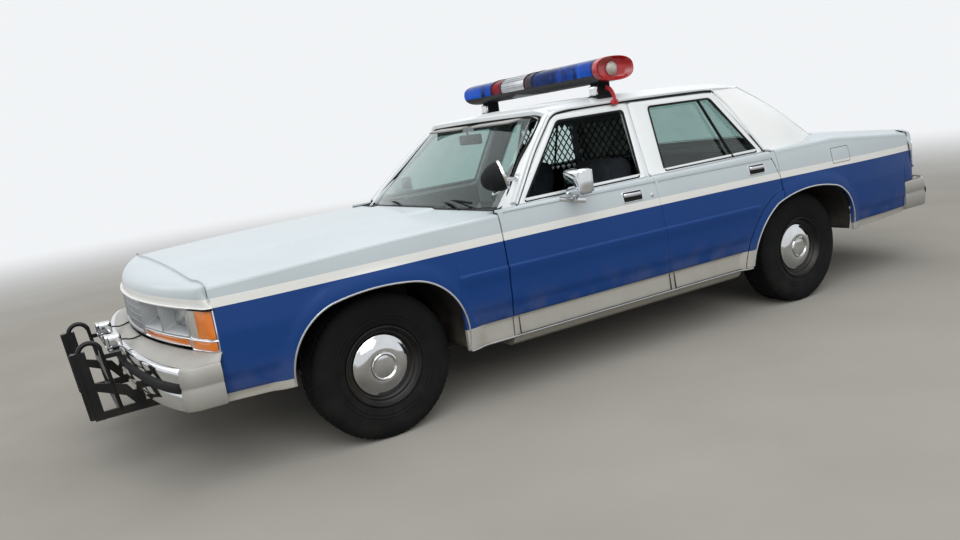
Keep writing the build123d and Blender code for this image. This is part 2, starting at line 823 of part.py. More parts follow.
REAR_REACH = -WHEELBASE - REAR_OVERHANG
REAR_CORNER = -4270
REAR_BUMPER_HALF = BUMPER_HALF - 30
rear_bumper = bumper_shell(
    -1, -fx(REAR_REACH), -fx(REAR_CORNER), -fx(REAR_CAP_END), REAR_BUMPER_HALF, REAR_BUMPER_BOTTOM,
    REAR_BUMPER_TOP, BUMPER_T
)
rear_shelf = plan_prism(
    both_sides([
        (fx(REAR_REACH + 20), 0), (fx(REAR_REACH + 34), 420), (fx(REAR_CORNER + 20), 800),
        (fx(REAR_CORNER + 90), REAR_BUMPER_HALF - 20), (fx(REAR_CAP_END) - 1, REAR_BUMPER_HALF - 20),
    ]),
    REAR_BUMPER_TOP - 16, REAR_BUMPER_TOP - 1
) - plan_form(-SEAM)
parts["rear_bumper"] = rear_bumper + rear_shelf + bumper_brackets(
    REAR_REACH + BUMPER_T, RAIL_END, RAIL_BOTTOM + KICK_UP
)

# Quarter panels, tail panel and trunk lid

LID_IN_FRONT = 216
LID_IN_REAR = 20
LID_HALF_FRONT = BODY_HALF_WIDTH - LID_IN_FRONT
LID_FRONT = -3300
DECK_LEG = 16
LID_HALF_REAR = TAIL_HALF - LID_IN_REAR
TAIL_PANEL_IN = -4060


def tail_solid(inset):
    """The body behind the doors, below the roof's base."""
    return side_form(inset) & plan_form(inset) & deck_top(inset)


def lid_outline(grow):
    """The trunk lid in plan; grow widens it to the opening."""
    return [
        (fx(LID_FRONT) + grow, LID_HALF_FRONT + grow),
        (fx(TAIL) - grow, LID_HALF_REAR + grow),
        (fx(TAIL) - grow, -LID_HALF_REAR - grow),
        (fx(LID_FRONT) + grow, -LID_HALF_FRONT - grow),
    ]


def build_rear_deck():
    """The fixed panel between the rear window and the lid, with the lid's hinge arms."""
    half = LID_HALF_FRONT + GAP
    plate = tail_solid(0) - tail_solid(LID_T)
    plate &= box(fx(LID_FRONT) + GAP, fx(DECK_FRONT) + GAP, -half, half, 0, FAR)
    leg = box(fx(DECK_FRONT) + 2, fx(DECK_FRONT) + DECK_LEG, -half, half, SHELF_Z + FLOOR_T, FAR)
    leg &= deck_top(LID_T - 1)
    arm = box(fx(LID_FRONT) - 40, fx(DECK_FRONT) + DECK_LEG, 600, 640, SHELF_Z + FLOOR_T, FAR)
    arm &= deck_top(LID_T + SEAM)
    arm -= leg
    return plate + leg + arm + mirrored(arm)


def build_quarter():
    """The left quarter: side skin, shoulder, and the raised lip round the arch."""
    region = box(fx(TAIL_PANEL_IN), fx(DOOR_END_BELT) + 300, 0, FAR, SILL_BOTTOM, FAR)
    solid = tail_solid(0) & region
    skin = solid - tail_solid(SHELL)
    skin += solid & box(fx(DECK_FRONT), FAR, 840, FAR, VINYL_BASE - LID_T, VINYL_BASE)
    skin -= box(-FAR, FAR, -FAR, 700, 0, FAR)
    skin -= plan_prism(lid_outline(GAP), 700, FAR)
    skin -= box(fx(LID_FRONT), fx(DECK_FRONT) + DECK_LEG, 0, LID_HALF_FRONT + GAP, 700, FAR)
    skin -= box(-FAR, FAR, 0, FAR, VINYL_BASE, FAR) & box(
        fx(DECK_FRONT), FAR, 0, FAR, 0, FAR
    )
    skin -= side_prism(rear_door_points(GAP), 0, FAR) - arch_prism("rear", ARCH_FLARE, 0, FAR)
    skin -= box(fx(-2330), FAR, 0, FAR, 0, FAR)
    flare = arch_prism("rear", ARCH_FLARE, 0, FAR) & side_form(-2)
    flare &= box(fx(-3400), fx(-2270), BODY_HALF_WIDTH - 60, FAR, SILL_TOP + 2, FAR)
    skin += flare
    skin -= arch_prism("rear", 0, 0, FAR)
    skin -= box(-FAR, fx(-3200), 0, FAR, 0, 398)
    skin -= box(-FAR, fx(REAR_CAP_END) + GAP, 0, FAR, 0, REAR_BUMPER_TOP + GAP)
    return skin


parts["quarter_left"] = build_quarter()
parts["quarter_right"] = mirrored(parts["quarter_left"])

TAIL_LAMP_IN = 470
TAIL_LAMP_OUT = TAIL_HALF + 60
TAIL_LAMP_LOW = 690
TAIL_LAMP_HIGH = 864
LID_LOW = 700


def build_trunk_lid():
    """The deck lid, turned down behind as far as the lamps' lower edge."""
    outer = tail_solid(0)
    top = (outer - tail_solid(LID_T)) & plan_prism(lid_outline(0), 880, FAR)
    drop = (plan_form(0) - plan_form(LID_T)) & deck_top(LID_T - 1)
    drop &= box(-FAR, fx(-4000), -TAIL_LAMP_IN + GAP, TAIL_LAMP_IN - GAP, LID_LOW + GAP, FAR)
    top -= box(-FAR, fx(-4080), -FAR, FAR, 0, TAIL_LAMP_HIGH + GAP + 14)
    return top + drop


def build_tail_panel():
    """The fixed panel behind the trunk, under the lid and round the lamps."""
    shell = tail_solid(0) - tail_solid(SHELL)
    shell &= box(-FAR, fx(TAIL_PANEL_IN), -FAR, FAR, FLOOR_Z + KICK_UP, FAR)
    for side in (1, -1):
        shell -= one_side(box(-FAR, FAR, 740, FAR, 0, REAR_BUMPER_TOP + GAP), side)
    shell -= plan_prism(lid_outline(GAP), TAIL_LAMP_HIGH + GAP, FAR)
    shell -= box(-FAR, fx(-4000), -TAIL_LAMP_IN, TAIL_LAMP_IN, LID_LOW, FAR)
    for side in (1, -1):
        pocket = box(-FAR, fx(-4000), TAIL_LAMP_IN, TAIL_LAMP_OUT, TAIL_LAMP_LOW, TAIL_LAMP_HIGH)
        shell -= one_side(pocket, side) - plan_form(26)
    return shell


def build_tail_lamps():
    """One lamp block let into the tail panel on each side."""
    lamp = (plan_form(-6) - plan_form(26)) & box(
        -FAR, fx(-4000), TAIL_LAMP_IN + 1, TAIL_LAMP_OUT - 1, TAIL_LAMP_LOW + 1, TAIL_LAMP_HIGH - 1
    )
    return lamp + mirrored(lamp)


parts["trunk_lid"] = build_trunk_lid()
parts["rear_deck"] = build_rear_deck()
parts["tail_panel"] = build_tail_panel()
parts["tail_lamps"] = build_tail_lamps()

# Cowl and rear deck, which close the body ahead of and behind the glass

COWL_REAR = -812


def build_cowl():
    """The panel under the windscreen's foot, carried on the firewall."""
    top = COWL_Z + 6
    half = HOOD_HALF_REAR
    plate = box(fx(COWL_REAR), fx(HOOD_REAR) + 20, -half, half, top - COWL_DEPTH, top)
    plate &= side_form(DOOR_T + GAP)
    plate -= hood_prism(GAP)
    leg = box(fx(HOOD_REAR) - 110, fx(HOOD_REAR) - 96, -700, 700, WALL_TOP, COWL_Z)
    foot = box(fx(HOOD_REAR) - 110, fx(FIREWALL), -800, 800, WALL_TOP, WALL_TOP + 12)
    hinge = box(fx(HOOD_REAR_CORNER) + 10, fx(HOOD_REAR_CORNER) + 50, 760, 800, WALL_TOP, FAR)
    hinge &= nose_top(HOOD_T + SEAM)
    return plate + leg + foot + hinge + mirrored(hinge)


parts["cowl"] = build_cowl()

# Doors and their glass

parts["door_front_left"] = hollow_side(front_door_points(0), False, FRONT_WINDOW)
parts["door_rear_left"] = hollow_side(rear_door_points(0), True, REAR_WINDOW)
parts["door_front_right"] = mirrored(parts["door_front_left"])
parts["door_rear_right"] = mirrored(parts["door_rear_left"])
GLASS_DEPTH = 14
parts["glass_rear_left"] = glass_pane(REAR_WINDOW, GLASS_DEPTH)
parts["glass_rear_right"] = mirrored(parts["glass_rear_left"])
parts["glass_front_right"] = mirrored(glass_pane(FRONT_WINDOW, GLASS_DEPTH))

parts["windscreen"] = (cabin_form(8) - cabin_form(8 + GLASS_T)) & windscreen_hole(True)
parts["windscreen"] &= box(-FAR, FAR, -FAR, FAR, COWL_Z + 6, FAR)
parts["rear_window"] = (cabin_form(8) - cabin_form(8 + GLASS_T)) & windscreen_hole(False)

# Wheels and tyres, knuckles and axles

WHEEL_Y = TRACK / 2
HUB_R = 34
SPINDLE_FIT = 0.3
KNUCKLE_IN = 660
KNUCKLE_T = 34
KINGPIN_Y = KNUCKLE_IN + KNUCKLE_T / 2
BALL_R = 10
POST_LOW = 262
POST_HIGH = 440
ARM_T = 18
ARM_GAP = 6


def wheel_profile_face():
    """Half section of a pressed steel wheel, as distance from the axle and place across."""
    half = RIM_WIDTH / 2
    return [
        (RIM_R, half),
        (RIM_R, half - 10),
        (RIM_R - 12, half - 16),
        (RIM_R - 26, 26),
        (RIM_R - 26, -half + 26),
        (RIM_R - 12, -half + 14),
        (RIM_R, -half + 8),
        (RIM_R, -half),
        (RIM_R - 8, -half),
        (RIM_R - 34, -half + 26),
        (RIM_R - 34, 18),
        (CAP_R - 4, 58),
        (HUB_R, 58),
        (HUB_R, 66),
        (CAP_R, 66),
        (RIM_R - 18, half - 10),
        (RIM_R - 8, half),
    ]


def revolve_across(points, y, x, z):
    """A half section turned about an axle that runs across the car."""
    face = make_face(Polyline([(r, 0, w) for r, w in points], close=True))
    solid = revolve(face, axis=Axis.Z)
    return Pos(x, y, z) * Rot(-90, 0, 0) * solid


def build_wheel(x):
    """The left wheel: rim, disc, and the domed cap on its face."""
    wheel = revolve_across(wheel_profile_face(), WHEEL_Y, x, TYRE_R)
    cap = revolve_across(
        [(0, 60), (CAP_R, 60), (CAP_R, 68), (118, 78), (84, 82), (62, 90), (40, 96), (0, 98)],
        WHEEL_Y, x, TYRE_R
    )
    hub = ring(52, HUB_R - 8, WHEEL_Y - 10, WHEEL_Y + 60, x, TYRE_R)
    web = ring(CAP_R - 6, HUB_R - 8, WHEEL_Y + 46, WHEEL_Y + 60, x, TYRE_R)
    return wheel + cap + hub + web


def build_tyre(x):
    """The left tyre, with a flat tread and rounded shoulders."""
    half = TYRE_WIDTH / 2
    rim = RIM_WIDTH / 2
    points = [
        (RIM_R + TYRE_FIT, rim),
        (RIM_R + 14, half - 6),
        (RIM_R + 70, half),
        (TYRE_R - 34, half - 6),
        (TYRE_R - 8, half - 26),
        (TYRE_R, half - 42),
        (TYRE_R, -half + 42),
        (TYRE_R - 8, -half + 26),
        (TYRE_R - 34, -half + 6),
        (RIM_R + 70, -half),
        (RIM_R + 14, -half + 6),
        (RIM_R + TYRE_FIT, -rim),
    ]
    return revolve_across(points, WHEEL_Y, x, TYRE_R)


for end, x in (("front", FRONT_AXLE_X), ("rear", REAR_AXLE_X)):
    wheel = build_wheel(x)
    tyre = build_tyre(x)
    for side, name in ((1, "left"), (-1, "right")):
        parts[f"wheel_{end}_{name}"] = one_side(wheel, side)
        parts[f"tyre_{end}_{name}"] = one_side(tyre, side)


def build_knuckle():
    """The upright with its spindle, turned about a line through both ball joints."""
    x = FRONT_AXLE_X
    post = box(x - 30, x + 30, KNUCKLE_IN, KNUCKLE_IN + KNUCKLE_T, POST_LOW, POST_HIGH)
    bore = Pos(x, KINGPIN_Y, POST_LOW + 20) * Cylinder(BALL_R + SPINDLE_FIT, 60)
    post -= bore
    post -= Pos(0, 0, POST_HIGH - POST_LOW - 40) * bore
    inner = KNUCKLE_IN + KNUCKLE_T
    flange = disc(80, inner, inner + 10, x, TYRE_R)
    spindle = disc(HUB_R - 8 - SPINDLE_FIT, inner - 2, WHEEL_Y + 44, x, TYRE_R)
    arm = box(x - 150, x - 20, KNUCKLE_IN, KNUCKLE_IN + 24, POST_LOW + 5, POST_LOW + 35)
    return post + flange + spindle + arm


parts["knuckle_left"] = build_knuckle()
parts["knuckle_right"] = mirrored(parts["knuckle_left"])


def build_front_suspension():
    """Cross member with an upper and a lower arm and ball studs on each side."""
    x = FRONT_AXLE_X
    rail_out = RAIL_MID_Y + RAIL_W / 2
    beam = box(x - 60, x + 60, -rail_out, rail_out, 300, 396)
    tip = KINGPIN_Y + 24
    for side in (1, -1):
        low = POST_LOW - ARM_GAP - ARM_T
        high = POST_HIGH + ARM_GAP
        lower_plan = [(x - 130, 440), (x - 26, tip), (x + 26, tip), (x + 130, 440)]
        upper_plan = [(x - 110, 474), (x - 26, tip), (x + 26, tip), (x + 110, 474)]
        lower = plan_prism(lower_plan, low, low + ARM_T)
        upper = plan_prism(upper_plan, high, high + ARM_T)
        stud = Pos(x, KINGPIN_Y, 0) * extrude(Circle(BALL_R), amount=POST_LOW + 36 - low)
        tower = box(x - 120, x + 120, rail_out, rail_out + 32, low, high + ARM_T)
        studs = Pos(0, 0, low) * stud
        studs += Pos(0, 0, POST_HIGH - 36) * stud
        beam += one_side(lower + upper + tower + studs, side)
    return beam - whole_frame


parts["front_suspension"] = build_front_suspension()


LINK_Y = 330
LINK_FRONT = -2400


def build_rear_axle():
    """A live axle with its centre casing, and spindles inside the wheels."""
    x = REAR_AXLE_X
    axle = disc(42, -WHEEL_Y + 20, WHEEL_Y - 20, x, TYRE_R)
    axle += disc(HUB_R - 8 - SPINDLE_FIT, -WHEEL_Y - 44, WHEEL_Y + 44, x, TYRE_R)
    axle += Pos(x, 0, TYRE_R) * Sphere(135)
    for side in (1, -1):
        plate = disc(118, WHEEL_Y - 34, WHEEL_Y - 20, x, TYRE_R)
        arm = rod((x + 60, LINK_Y, 330), (fx(LINK_FRONT), LINK_Y, 306), 18)
        link = box(x - 40, x + 70, LINK_Y - 20, LINK_Y + 20, 300, 380)
        bracket = box(fx(LINK_FRONT) - 24, fx(LINK_FRONT) + 24, LINK_Y - 26, LINK_Y + 26, 284, FLOOR_Z)
        axle += one_side(plate + arm + link + bracket, side)
    return axle


parts["rear_axle"] = build_rear_axle()

# Under the tail

parts["fuel_tank"] = box(fx(-3950), fx(-3430), -340, 340, 400, FLOOR_Z + KICK_UP)
EXHAUST_R = 28
EXHAUST_Z = 255
EXHAUST_Y = 250
OVER_AXLE_Z = 455
TAILPIPE_Z = 330
EXHAUST_BEND = 80
EXHAUST_ROUTE = [
    # station, across, height
    (-480, EXHAUST_Y - 20, EXHAUST_Z),
    (-900, EXHAUST_Y, EXHAUST_Z),
    (-2440, EXHAUST_Y, EXHAUST_Z),
    (-2700, EXHAUST_Y, OVER_AXLE_Z),
    (-3110, EXHAUST_Y, OVER_AXLE_Z),
    (-3310, EXHAUST_Y, TAILPIPE_Z),
    (-4280, EXHAUST_Y, TAILPIPE_Z),
]
SILENCER_X = -1480
SILENCER_LENGTH = 520


def build_exhaust():
    """A pipe along the floor with its silencer and tailpipe."""
    silencer_r = FLOOR_Z - EXHAUST_Z
    points = [(fx(station), y, z) for station, y, z in EXHAUST_ROUTE]
    path = FilletPolyline(*points, radius=EXHAUST_BEND)
    pipe = sweep(Plane(origin=path @ 0, z_dir=path % 0) * Circle(EXHAUST_R), path)
    silencer = Pos(fx(SILENCER_X), EXHAUST_Y, EXHAUST_Z) * Rot(0, 90, 0)
    silencer *= Cylinder(silencer_r, SILENCER_LENGTH)
    return pipe + silencer


parts["exhaust"] = build_exhaust()

# Cabin: dashboard, steering wheel, seats and the mesh partition

DASH_FRONT = -730
DASH_REAR = -990
STEER_Y = 370
STEER_X = -1150
STEER_Z = 850
STEER_RAKE = 118
SHAFT_R = 12
COLUMN_START = 34
COLUMN_END = 240
COLUMN = Pos(fx(STEER_X), STEER_Y, STEER_Z) * Rot(0, STEER_RAKE, 0)


def build_dashboard():
    """The dashboard on its bracket, with the steering column's tube."""
    face = [
        (fx(DASH_FRONT), SEAT_BASE_Z + 260),
        (fx(DASH_FRONT), 900),
        (fx(DASH_REAR) + 40, 918),
        (fx(DASH_REAR), 886),
        (fx(DASH_REAR) + 30, 690),
        (fx(DASH_REAR) + 90, 640),
    ]
    dash = side_prism(face, -800, 800)
    bracket = box(fx(DASH_FRONT) - 20, fx(FIREWALL) - FLOOR_T, -30, 30, 620, 680)
    length = COLUMN_END - COLUMN_START
    middle = (COLUMN_END + COLUMN_START) / 2
    tube = COLUMN * Pos(0, 0, middle) * Cylinder(28, length)
    bore = COLUMN * Pos(0, 0, COLUMN_START + 40) * Cylinder(SHAFT_R + SPINDLE_FIT, 82)
    return dash + bracket + tube - bore


parts["dashboard"] = build_dashboard()


def build_steering_wheel():
    """Rim, boss and spokes, on a shaft that turns in the column's tube."""
    rim = Torus(190, 13)
    boss = Cylinder(48, 40)
    spokes = Box(370, 40, 14)
    shaft = Pos(0, 0, 50) * Cylinder(SHAFT_R, 60)
    return COLUMN * (rim + boss + spokes + shaft)


parts["steering_wheel"] = build_steering_wheel()


def seat_prism(x_front, base_top, back_top, y0, y1):
    """Cushion and backrest of one seat in side view, as one closed body."""
    x = fx(x_front)
    return side_prism(
        [
            (x, SEAT_BASE_Z + 130),
            (x + 10, base_top + 20),
            (x - 470, base_top - 10),
            (x - 600, back_top),
            (x - 720, back_top - 10),
            (x - 620, base_top - 40),
            (x - 560, SEAT_BASE_Z + 130),
        ],
        y0,
        y1,
    )


def build_front_seats():
    """Two front seats on their bases."""
    seat = seat_prism(-1130, 620, 1130, 70, 700)
    base = box(fx(-1640), fx(-1200), 120, 650, SEAT_BASE_Z, SEAT_BASE_Z + 131)
    seat += base
    return seat + mirrored(seat)


parts["front_seats"] = build_front_seats()
REAR_SEAT_X = -2110


def build_rear_seat():
    """A bench that rests on the floor and against the back wall."""
    x = fx(REAR_SEAT_X)
    wall = fx(SEAT_WALL) + SEAM
    step = FLOOR_Z + KICK_UP + FLOOR_T + SEAM
    return side_prism(
        [
            (x, SEAT_BASE_Z),
            (x, 640),
            (x - 430, 610),
            (x - 510, 940),
            (wall, 930),
            (wall, step),
            (fx(KICK_END) + 14, step),
            (fx(KICK_START) + 14, SEAT_BASE_Z),
        ],
        -620,
        620,
    )


parts["rear_seat"] = build_rear_seat()

PARTITION_X = -1905
PARTITION_HALF_LOW = 780
PARTITION_HALF_HIGH = 610
PARTITION_TOP = 1372


def diamond(y, z, half):
    """One four-cornered hole of the screen, as a closed wire."""
    corners = [(0, y, z + half), (0, y + half, z), (0, y, z - half), (0, y - half, z)]
    return Wire(Polyline(corners, close=True).edges())


MESH_PITCH = 62
MESH_WIRE = 6


def build_partition():
    """A framed screen behind the front seats, with a middle post and a diamond mesh."""
    x = fx(PARTITION_X)
    outline = both([
        (0, PARTITION_TOP), (PARTITION_HALF_HIGH, PARTITION_TOP - 30), (PARTITION_HALF_LOW, 1000),
        (PARTITION_HALF_LOW, 560), (0, 560)
    ])
    half = MESH_PITCH / 2 - MESH_WIRE / 2
    holes = []
    for row in range(10):
        z = 1000 + MESH_PITCH / 2 + row * MESH_PITCH / 2
        for column in range(-10, 10):
            y = column * MESH_PITCH + (MESH_PITCH / 2 if row % 2 else 0) + MESH_PITCH / 4
            reach = PARTITION_HALF_LOW - (z - 1000) * 0.4 - 60
            if abs(y) < reach and abs(y) > MESH_PITCH * 0.7 and z + half < PARTITION_TOP - 36:
                holes.append(diamond(y, z, half))
    outer = Wire(Polyline([(0, y, z) for y, z in outline], close=True).edges())
    plate = Pos(x - 4, 0, 0) * extrude(Face(outer, holes), amount=8, dir=(1, 0, 0))
    legs = box(x - 12, x + 12, 560, 600, SEAT_BASE_Z, 561)
    return plate + legs + mirrored(legs)


parts["partition"] = build_partition()

# Light bar across the roof

BAR_X = -1660
BAR_Z = 1580
BAR_HALF = 736
BAR_R_X = 136
BAR_R_Z = 66
BAR_BASE_T = 30


def oval_prism(half_x, half_z, y0, y1, z=BAR_Z):
    """A flattened oval carried across the car."""
    straight = half_x - half_z
    outline = (
        Line((-straight, 0, half_z), (straight, 0, half_z))
        + ThreePointArc((straight, 0, half_z), (half_x, 0, 0), (straight, 0, -half_z))
        + Line((straight, 0, -half_z), (-straight, 0, -half_z))
        + ThreePointArc((-straight, 0, -half_z), (-half_x, 0, 0), (-straight, 0, half_z))
    )
    return Pos(fx(BAR_X), 0, z) * across(make_face(outline), y0, y1)


SPEAKER_Y0 = -228
SPEAKER_Y1 = 30


def build_bar_base():
    """The tray under the lenses, with its feet and the hooks over the rain gutters."""
    low = BAR_Z - BAR_R_Z
    base = oval_prism(BAR_R_X, BAR_R_Z, -BAR_HALF + 40, BAR_HALF - 40)
    base &= box(-FAR, FAR, -FAR, FAR, low, low + BAR_BASE_T)
    for side in (1, -1):
        x = fx(BAR_X)
        foot = side_prism(
            [(x - 70, low + 4), (x + 70, low + 4), (x + 50, 1400), (x - 50, 1400)], 545, 640
        )
        foot -= section_form(0)
        hook_line = [
            (636, low), (650, low), (712, 1404), (706, 1384), (698, 1386), (690, 1404), (636, low - 16)
        ]
        hook = front_prism(hook_line, x - 16, x + 16)
        hook -= section_form(-0.5)
        base += one_side(foot + hook, side)
    return base


def build_bar_speaker():
    """The pierced metal housing in the middle of the bar."""
    body = oval_prism(BAR_R_X + 2, BAR_R_Z + 2, SPEAKER_Y0, SPEAKER_Y1)
    return body & box(-FAR, FAR, -FAR, FAR, BAR_Z - BAR_R_Z + BAR_BASE_T, FAR)


def build_bar_lenses():
    """Two hollow domes, one on each side of the speaker, closed at the car's sides."""
    lenses = []
    for y0, y1 in ((SPEAKER_Y1, BAR_HALF), (-BAR_HALF, SPEAKER_Y0)):
        dome = oval_prism(BAR_R_X, BAR_R_Z, y0, y1)
        hollow = oval_prism(BAR_R_X - 5, BAR_R_Z - 5, max(y0, -BAR_HALF + 6), min(y1, BAR_HALF - 6))
        dome -= hollow
        lenses.append(dome & box(-FAR, FAR, -FAR, FAR, BAR_Z - BAR_R_Z + BAR_BASE_T, FAR))
    return lenses[0] + lenses[1]


parts["light_bar_base"] = build_bar_base()
parts["light_bar_speaker"] = build_bar_speaker()
parts["light_bar_lenses"] = build_bar_lenses()

# Spotlight on the left windscreen pillar, and mirrors on the front doors

SPOT_X = -705
SPOT_Y = 900
SPOT_Z = 1112


def build_spotlight():
    """A round head on a bracket at the foot of the pillar."""
    profile = [(0, 0), (40, 4), (62, 30), (70, 70), (72, 96), (66, 104), (0, 104)]
    face = make_face(Polyline([(r, 0, h) for r, h in profile], close=True))
    head = revolve(face, axis=Axis.Z)
    head = Pos(fx(SPOT_X) + 60, SPOT_Y, SPOT_Z) * Rot(0, -90, 0) * head
    arm = rod((fx(SPOT_X) - 20, SPOT_Y - 20, SPOT_Z), (fx(-912), 800, 1082), 12)
    return (head + arm) - cabin_form(0)


parts["spotlight"] = build_spotlight()


def build_mirror():
    """A square head on a swept stalk and foot, on the door's outer skin."""
    foot_line = [(-1020, 962), (-1060, 962), (-1200, 940), (-1190, 918), (-1050, 930)]
    foot = side_prism([(fx(x), z) for x, z in foot_line], 944, 966)
    stalk = rod((fx(-1052), 955, 944), (fx(-1100), 1022, 1010), 13)
    head = Pos(fx(-1104), 1022, 1034) * Box(82, 150, 128)
    head = fillet(head.edges(), 14)
    return foot - door_slab((DOOR_T, FRAME_T)) + stalk - door_slab((DOOR_T, FRAME_T)) + head


parts["mirror_left"] = build_mirror()
parts["mirror_right"] = mirrored(parts["mirror_left"])

# Push guard, its lamps on the bumper, and their leads

GUARD_Y = 300
GUARD_TUBE = 11
SHELF_T = 8
SHELF_X0 = 1020
SHELF_X1 = 1066


MIDDLE_ARM = [
    (1170, 440), (1172, 478), (1026, 432), (1004, 398), (960, 398), (960, 330), (1000, 330), (1040, 384)
]


def build_guard():
    """Two side frames joined across, carried by arms under the bumper."""
    top = (fx(1212), 622)
    foot = (fx(1184), 300)
    lean = (top[0] - foot[0]) / (top[1] - foot[1])
    post = side_prism(
        [foot, top, (top[0] - 44, top[1]), (foot[0] - 44, foot[1])], GUARD_Y - 12, GUARD_Y + 12
    )
    face = side_prism(
        [(foot[0], foot[1] + 10), (top[0], top[1]), (top[0] + 14, top[1]), (foot[0] + 14, foot[1] + 10)],
        GUARD_Y - 22, GUARD_Y + 22
    )
    side = post + face
    lower_line = [(foot[0] - 4, foot[1]), (foot[0] - 4, foot[1] + 34), (fx(700), 340), (fx(700), 300)]
    lower = side_prism(lower_line, GUARD_Y - 8, GUARD_Y + 8)
    middle = side_prism(
        [(fx(x), z) for x, z in MIDDLE_ARM], GUARD_Y - 8, GUARD_Y + 8
    )
    side += lower + middle
    leg_x = fx(1104)
    side += rod((leg_x, GUARD_Y, 626), (fx(1068), GUARD_Y, 318), GUARD_TUBE - 2)
    bend = ThreePointArc((leg_x, GUARD_Y, 620), (fx(1146), GUARD_Y, 656), (fx(1194), GUARD_Y, 620))
    side += sweep(Plane(origin=bend @ 0, z_dir=bend % 0) * Circle(GUARD_TUBE), bend)
    guard = side + mirrored(side)
    for x, z, radius in ((1070, 322, 14), (1087, 470, 11)):
        guard += rod((fx(x), -GUARD_Y, z), (fx(x), GUARD_Y, z), radius)
    shelf_low = BUMPER_TOP - SHELF_T
    guard += box(fx(SHELF_X0), fx(SHELF_X1), -GUARD_Y, GUARD_Y, shelf_low, BUMPER_TOP)
    for side in (1, -1):
        plate = box(fx(SHELF_X0), fx(1104), GUARD_Y - 5, GUARD_Y + 5, shelf_low - 12, BUMPER_TOP)
        guard += one_side(plate, side)
    mount = box(fx(700), fx(764), GUARD_Y - 6, RAIL_MID_Y + 20, 302, 316)
    mount += box(fx(700), fx(764), RAIL_MID_Y - RAIL_W / 2, RAIL_MID_Y + 20, 302, RAIL_FRONT_LOW)
    guard += mount + mirrored(mount)
    return guard


parts["push_guard"] = build_guard()

LAMP_Y = 200
LAMP_X = 1036
LAMP_SIZE = (72, 70, 66)


def build_bumper_lamps():
    """Two small box lamps that stand on the guard's shelf, above the bumper."""
    lamp = Pos(fx(LAMP_X), LAMP_Y, BUMPER_TOP + LAMP_SIZE[2] / 2) * Box(*LAMP_SIZE)
    lamp = fillet(lamp.edges().filter_by(Axis.X), 8)
    return lamp + mirrored(lamp)


parts["bumper_lamps"] = build_bumper_lamps()
LEAD_R = 3.5
LEAD_ROUTE = [
    # ahead of the front axle, across, above the floor
    (LAMP_X - LAMP_SIZE[0] / 2, LAMP_Y, 622),
    (986, LAMP_Y, 622),
    (972, LAMP_Y + 5, 616),
    (951, LAMP_Y + 11, 615),
    (930, LAMP_Y + 16, 621),
    (911, LAMP_Y + 19, 626),
    (893, LAMP_Y + 20, 626),
]


def build_lead():
    """A lamp's short lead, from straight runs joined by arcs."""
    points = [(fx(x), y, z) for x, y, z in LEAD_ROUTE]
    runs = [(Vector(*b) - Vector(*a)).length for a, b in zip(points, points[1:])]
    radii = []
    for i in range(1, len(points) - 1):
        before = Vector(*points[i]) - Vector(*points[i - 1])
        after = Vector(*points[i + 1]) - Vector(*points[i])
        half_turn = math.radians(before.get_angle(after)) / 2
        radii.append(0.45 * min(runs[i - 1], runs[i]) / math.tan(half_turn))
    path = FilletPolyline(*points, radius=radii)
    print("lead radii", [round(r, 1) for r in radii], "length", round(path.length, 1))
    return sweep(Plane(origin=path @ 0, z_dir=path % 0) * Circle(LEAD_R), path)


parts["lamp_lead_left"] = build_lead()
parts["lamp_lead_right"] = mirrored(parts["lamp_lead_left"])

os.makedirs("parts", exist_ok=True)
for name, part in parts.items():
    export_step(part, f"parts/{name}.step")
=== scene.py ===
import json
import math

import bmesh
import bpy
import numpy as np
from bpy.props import FloatProperty, FloatVectorProperty, PointerProperty
from mathutils import Matrix, Vector

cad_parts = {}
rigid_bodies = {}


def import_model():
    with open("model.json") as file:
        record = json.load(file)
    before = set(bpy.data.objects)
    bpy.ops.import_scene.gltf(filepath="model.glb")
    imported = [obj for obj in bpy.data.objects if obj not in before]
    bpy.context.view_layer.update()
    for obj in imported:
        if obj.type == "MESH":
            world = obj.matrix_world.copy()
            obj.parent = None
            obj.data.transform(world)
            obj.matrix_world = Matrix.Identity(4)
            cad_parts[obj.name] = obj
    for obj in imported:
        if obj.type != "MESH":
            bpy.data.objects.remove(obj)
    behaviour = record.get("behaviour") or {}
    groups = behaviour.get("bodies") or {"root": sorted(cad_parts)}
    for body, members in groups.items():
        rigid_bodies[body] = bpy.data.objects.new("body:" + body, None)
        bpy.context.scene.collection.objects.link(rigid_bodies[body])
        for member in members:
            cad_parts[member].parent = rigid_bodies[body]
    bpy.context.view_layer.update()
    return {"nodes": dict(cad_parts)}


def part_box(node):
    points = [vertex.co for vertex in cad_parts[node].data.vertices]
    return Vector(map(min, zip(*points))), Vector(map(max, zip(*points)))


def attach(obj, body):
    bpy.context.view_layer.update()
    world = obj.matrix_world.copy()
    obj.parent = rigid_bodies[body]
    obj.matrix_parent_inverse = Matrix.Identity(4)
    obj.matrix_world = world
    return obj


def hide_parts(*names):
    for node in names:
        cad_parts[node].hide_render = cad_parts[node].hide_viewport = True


bl_info = {
    "name": "Patrol Sedan Looks",
    "version": (1, 0, 0),
    "blender": (4, 5, 0),
    "location": "View3D > Sidebar > Sedan",
    "description": "Dresses the packed frame of a full-size patrol sedan",
    "category": "Object",
}

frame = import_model()

# Shapes are worked out in millimetres, measured ahead of the front axle, to the left and up
MM = 0.001
WHEEL_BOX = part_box("wheel_front_left")
FRONT_AXLE = (WHEEL_BOX[0][0] + WHEEL_BOX[1][0]) / 2
REAR_WHEEL_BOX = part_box("wheel_rear_left")
REAR_AXLE = ((REAR_WHEEL_BOX[0][0] + REAR_WHEEL_BOX[1][0]) / 2 - FRONT_AXLE) / MM
HUB_Z = (WHEEL_BOX[0][2] + WHEEL_BOX[1][2]) / 2 / MM
ORIGIN = np.array([FRONT_AXLE, 0.0, 0.0])

